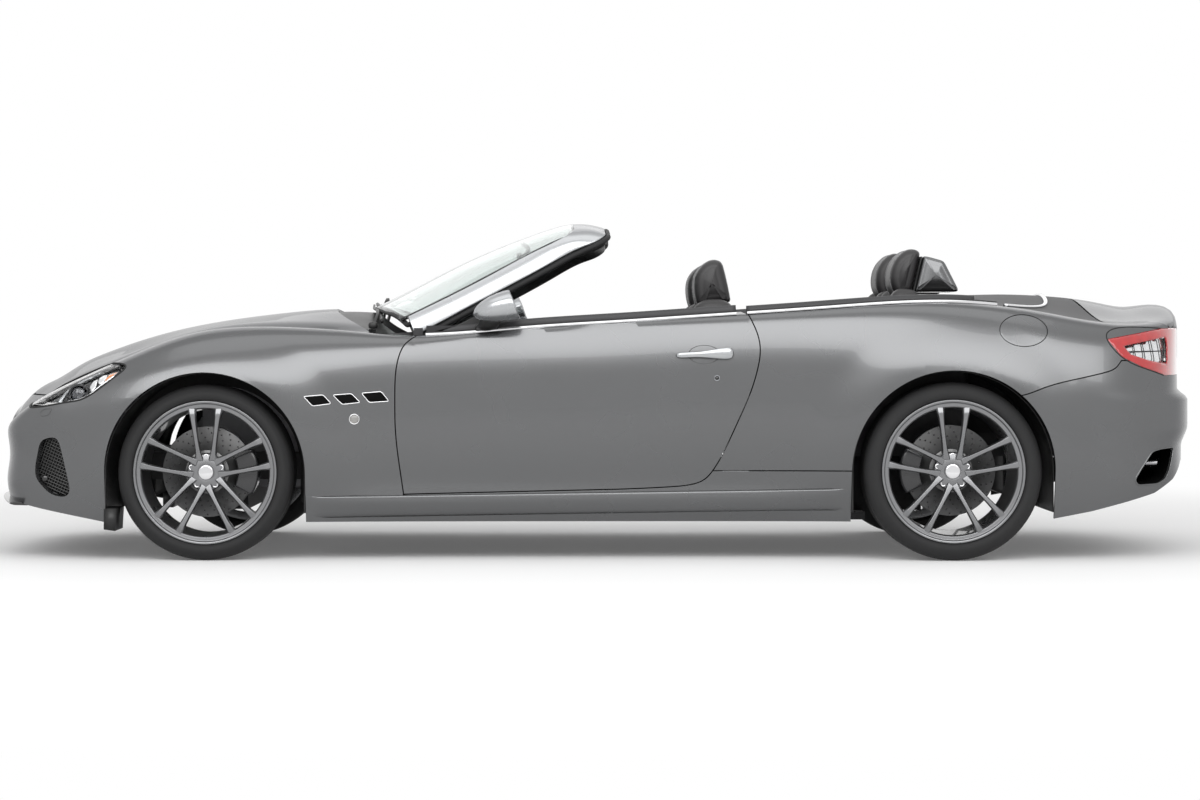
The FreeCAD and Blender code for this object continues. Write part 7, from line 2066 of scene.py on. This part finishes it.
def floor_look():
    """Pale floor: diffuse near the car, blending by distance into plain white light far away."""
    material, tree, shader, place = new_look("studio_floor")
    set_inputs(shader, Base_Color=(0.87, 0.87, 0.87, 1.0), Emission_Color=(1.0, 1.0, 1.0, 1.0),
               Emission_Strength=0.10)
    length = add_node(tree, "VectorMath", place)
    length.operation = "LENGTH"
    far = add_node(tree, "MapRange", length.outputs["Value"], From_Min=3.2, From_Max=6.5)
    far.interpolation_type = "SMOOTHSTEP"
    drift(tree, add_node(tree, "TexNoise", place, Scale=3.0).outputs["Fac"], 0.80, 0.88)
    mix = add_node(tree, "MixShader", far.outputs["Result"])
    tree.links.new(shader.outputs["BSDF"], mix.inputs[1])
    tree.links.new(add_node(tree, "Emission").outputs["Emission"], mix.inputs[2])
    tree.links.new(mix.outputs["Shader"], tree.nodes["Material Output"].inputs["Surface"])
    return material


def make_stage():
    """Camera opposite the wheelbase, a pale floor, a white backdrop and plain soft lamps."""
    scene = bpy.context.scene
    scene.view_settings.view_transform = "Standard"
    camera = bpy.data.cameras.new("camera")
    camera.lens = setting("lens_length")
    camera.sensor_width = 36.0
    camera.shift_x = 21.0 / 1200
    camera.shift_y = -58.0 / 1200
    camera.clip_end = 200.0
    eye = bpy.data.objects.new("camera", camera)
    eye.location = (-0.084, -12.5, 0.86)
    eye.rotation_euler = (math.radians(90), 0, 0)
    scene.collection.objects.link(eye)
    scene.camera = eye
    world = bpy.data.worlds.new("studio")
    scene.world = world
    world.use_nodes = True
    tree = world.node_tree
    path = tree.nodes.new("ShaderNodeLightPath").outputs
    seen = add_node(tree, "Math", path["Is Camera Ray"])
    tree.links.new(path["Is Glossy Ray"], seen.inputs[1])
    seen_or_clear = add_node(tree, "Math", seen.outputs[0])
    seen_or_clear.use_clamp = True
    tree.links.new(path["Is Transmission Ray"], seen_or_clear.inputs[1])
    level = add_node(tree, "MapRange", seen_or_clear.outputs[0], To_Min=0.45, To_Max=1.0)
    tree.links.new(level.outputs[0], tree.nodes["Background"].inputs["Strength"])
    set_inputs(tree.nodes["Background"], Color=(1.0, 1.0, 1.0, 1.0))
    floor_mesh = bpy.data.meshes.new("floor")
    floor_mesh.from_pydata([(-30, -30, 0), (30, -30, 0), (30, 30, 0), (-30, 30, 0)], [], [(0, 1, 2, 3)])
    floor = bpy.data.objects.new("floor", floor_mesh)
    scene.collection.objects.link(floor)
    floor_mesh.materials.append(floor_look())
    for name, place, size, power in (
        ("top_light", (0.0, -0.5, 6.0), (8.0, 4.0), setting("top_power")),
        ("front_light", (0.0, -9.0, 6.2), (16.0, 6.5), setting("front_power")),
        ("back_light", (0.0, 9.0, 5.5), (14.0, 5.0), setting("back_power")),
    ):
        light = bpy.data.lights.new(name, "AREA")
        light.shape = "RECTANGLE"
        light.size, light.size_y = size
        light.energy = power
        lamp = bpy.data.objects.new(name, light)
        lamp.location = place
        aim = Vector((0.0, 0.0, 0.8)) - Vector(place)
        lamp.rotation_euler = aim.to_track_quat("-Z", "Y").to_euler()
        lamp.visible_camera = False
        scene.collection.objects.link(lamp)


def node_looks():
    """The material of each CAD node that still shows, by the start of its name."""
    return (
        ("floor_pan", carpet()), ("tunnel", carpet()), ("bulkheads", trim_leather()),
        ("seat_bases", black_plastic()), ("steering_wheel", trim_leather()), ("boot_tub", carpet()),
        ("cowl", black_plastic()), ("soft_top_cover", cover_cloth()), ("grille", gloss_black()),
        ("filler_plate", black_plastic()), ("seat_box", carpet()), ("tyre", rubber()),
        ("rim", wheel_metal()), ("brake_disc", disc_metal()), ("hinge_pillars", trim_leather()),
        ("engine_block", engine_metal()), ("calipers", disc_metal()), ("caliper", disc_metal()),
        ("knuckle", under_metal()), ("tail_pipes", chrome()),
    )


def dress_nodes():
    """Gives every CAD node a procedural material by its kind."""
    looks = node_looks()
    for name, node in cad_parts.items():
        look = next((item for start, item in looks if name.startswith(start)), under_metal())
        for slot_item in node.material_slots:
            slot_item.material = look


class CarPanels(bpy.types.Operator):
    """Bonnet, fenders, doors, quarters, sills, bumpers, lid, cover and flap"""
    bl_idname = "car.panels"
    bl_label = "Body panels"

    def execute(self, context):
        make_panels()
        return {"FINISHED"}


class CarWheels(bpy.types.Operator):
    """Tyres, rims, caps, bolts, and discs with their holes as dots of painted shade"""
    bl_idname = "car.wheels"
    bl_label = "Wheels"

    def execute(self, context):
        make_wheels()
        return {"FINISHED"}


class CarCalipers(bpy.types.Operator):
    """The block over each disc's edge"""
    bl_idname = "car.calipers"
    bl_label = "Brake calipers"

    def execute(self, context):
        make_calipers()
        return {"FINISHED"}


class CarScreen(bpy.types.Operator):
    """Glass, dark border, frame, seals and inside mirror"""
    bl_idname = "car.screen"
    bl_label = "Windscreen"

    def execute(self, context):
        make_screen()
        return {"FINISHED"}


class CarMirrors(bpy.types.Operator):
    """Shell, glass, arm and corner plate on each door"""
    bl_idname = "car.mirrors"
    bl_label = "Door mirrors"

    def execute(self, context):
        make_mirrors()
        return {"FINISHED"}


class CarBelt(bpy.types.Operator):
    """Bright strips and seals along the cockpit's edge"""
    bl_idname = "car.belt"
    bl_label = "Belt strips"

    def execute(self, context):
        make_belt()
        return {"FINISHED"}


class CarSideTrim(bpy.types.Operator):
    """Fender vents, repeaters, door handles and key locks"""
    bl_idname = "car.side_trim"
    bl_label = "Side trim"

    def execute(self, context):
        make_side_trim()
        return {"FINISHED"}


class CarSillRidges(bpy.types.Operator):
    """A raised blade along each sill"""
    bl_idname = "car.sill_ridges"
    bl_label = "Sill ridges"

    def execute(self, context):
        make_sill_ridges()
        return {"FINISHED"}


class CarHeadlamps(bpy.types.Operator):
    """Lens, bezel, projector, reflectors and amber tip"""
    bl_idname = "car.headlamps"
    bl_label = "Head lamps"

    def execute(self, context):
        make_headlamps()
        return {"FINISHED"}


class CarTailLamps(bpy.types.Operator):
    """Red ring, cells, ribs and lens"""
    bl_idname = "car.tail_lamps"
    bl_label = "Tail lamps"

    def execute(self, context):
        make_tail_lamps()
        return {"FINISHED"}


class CarFront(bpy.types.Operator):
    """Mouth ring, intakes, splitter and deflectors"""
    bl_idname = "car.front"
    bl_label = "Front fittings"

    def execute(self, context):
        make_front()
        return {"FINISHED"}


class CarArches(bpy.types.Operator):
    """Dark liners over the wheels"""
    bl_idname = "car.arches"
    bl_label = "Arch liners"

    def execute(self, context):
        make_arches()
        return {"FINISHED"}


class CarExhaust(bpy.types.Operator):
    """Oval tips, painted-shade caps in their bores, and the recess round them"""
    bl_idname = "car.exhaust"
    bl_label = "Exhaust tips"

    def execute(self, context):
        make_exhaust()
        return {"FINISHED"}


class CarSeats(bpy.types.Operator):
    """Padded seats, rests, fairings and stitching"""
    bl_idname = "car.seats"
    bl_label = "Seats"

    def execute(self, context):
        make_seats()
        return {"FINISHED"}


class CarDashboard(bpy.types.Operator):
    """Roll, vents, dials, screen, console and lever"""
    bl_idname = "car.dashboard"
    bl_label = "Dashboard and console"

    def execute(self, context):
        make_dashboard()
        return {"FINISHED"}


class CarDoorCasings(bpy.types.Operator):
    """Inner panels, rolls, armrests, grips and speakers"""
    bl_idname = "car.door_casings"
    bl_label = "Door casings"

    def execute(self, context):
        make_door_casings()
        return {"FINISHED"}


class CarRearCasings(bpy.types.Operator):
    """Side casings and armrests by the rear seats"""
    bl_idname = "car.rear_casings"
    bl_label = "Rear casings"

    def execute(self, context):
        make_rear_casings()
        return {"FINISHED"}


class CarWipers(bpy.types.Operator):
    """Two wipers parked at the screen's foot"""
    bl_idname = "car.wipers"
    bl_label = "Wipers"

    def execute(self, context):
        make_wipers()
        return {"FINISHED"}


class CarStage(bpy.types.Operator):
    """Camera, pale floor, white surroundings and soft lamps"""
    bl_idname = "car.stage"
    bl_label = "Stage"

    def execute(self, context):
        make_stage()
        return {"FINISHED"}


class CarNodeLooks(bpy.types.Operator):
    """A procedural material on every solid that still shows"""
    bl_idname = "car.node_looks"
    bl_label = "Looks of the solids"

    def execute(self, context):
        dress_nodes()
        return {"FINISHED"}


BUILD_STEPS = (
    CarPanels, CarWheels, CarCalipers, CarScreen, CarMirrors, CarBelt, CarSideTrim, CarSillRidges,
    CarHeadlamps, CarTailLamps, CarFront, CarArches, CarExhaust, CarSeats, CarDashboard,
    CarDoorCasings, CarRearCasings, CarWipers, CarStage, CarNodeLooks,
)


class CarPanel(bpy.types.Panel):
    """Colours, sizes and one button for each group of pieces"""
    bl_idname = "CAR_PT_dressing"
    bl_label = "Car"
    bl_space_type = "VIEW_3D"
    bl_region_type = "UI"
    bl_category = "Car"

    def draw(self, context):
        for group in (context.scene.car_colours, context.scene.car_sizes):
            box = self.layout.box()
            for name in type(group).__annotations__:
                box.prop(group, name)
        for step in BUILD_STEPS:
            self.layout.operator(step.bl_idname)


CLASSES = (CarColours, CarSizes) + BUILD_STEPS + (CarPanel,)


def register():
    """Registers the classes and hangs the settings on the scene."""
    for item in CLASSES:
        bpy.utils.register_class(item)
    bpy.types.Scene.car_colours = bpy.props.PointerProperty(type=CarColours)
    bpy.types.Scene.car_sizes = bpy.props.PointerProperty(type=CarSizes)


def unregister():
    """Takes the settings off the scene and the classes away."""
    del bpy.types.Scene.car_sizes
    del bpy.types.Scene.car_colours
    for item in reversed(CLASSES):
        bpy.utils.unregister_class(item)


def main():
    """Registers the add-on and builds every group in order."""
    register()
    bpy.ops.car.panels()
    bpy.ops.car.wheels()
    bpy.ops.car.calipers()
    bpy.ops.car.screen()
    bpy.ops.car.mirrors()
    bpy.ops.car.belt()
    bpy.ops.car.side_trim()
    bpy.ops.car.sill_ridges()
    bpy.ops.car.headlamps()
    bpy.ops.car.tail_lamps()
    bpy.ops.car.front()
    bpy.ops.car.arches()
    bpy.ops.car.exhaust()
    bpy.ops.car.seats()
    bpy.ops.car.dashboard()
    bpy.ops.car.door_casings()
    bpy.ops.car.rear_casings()
    bpy.ops.car.wipers()
    bpy.ops.car.stage()
    bpy.ops.car.node_looks()


if __name__ == "__main__":
    main()
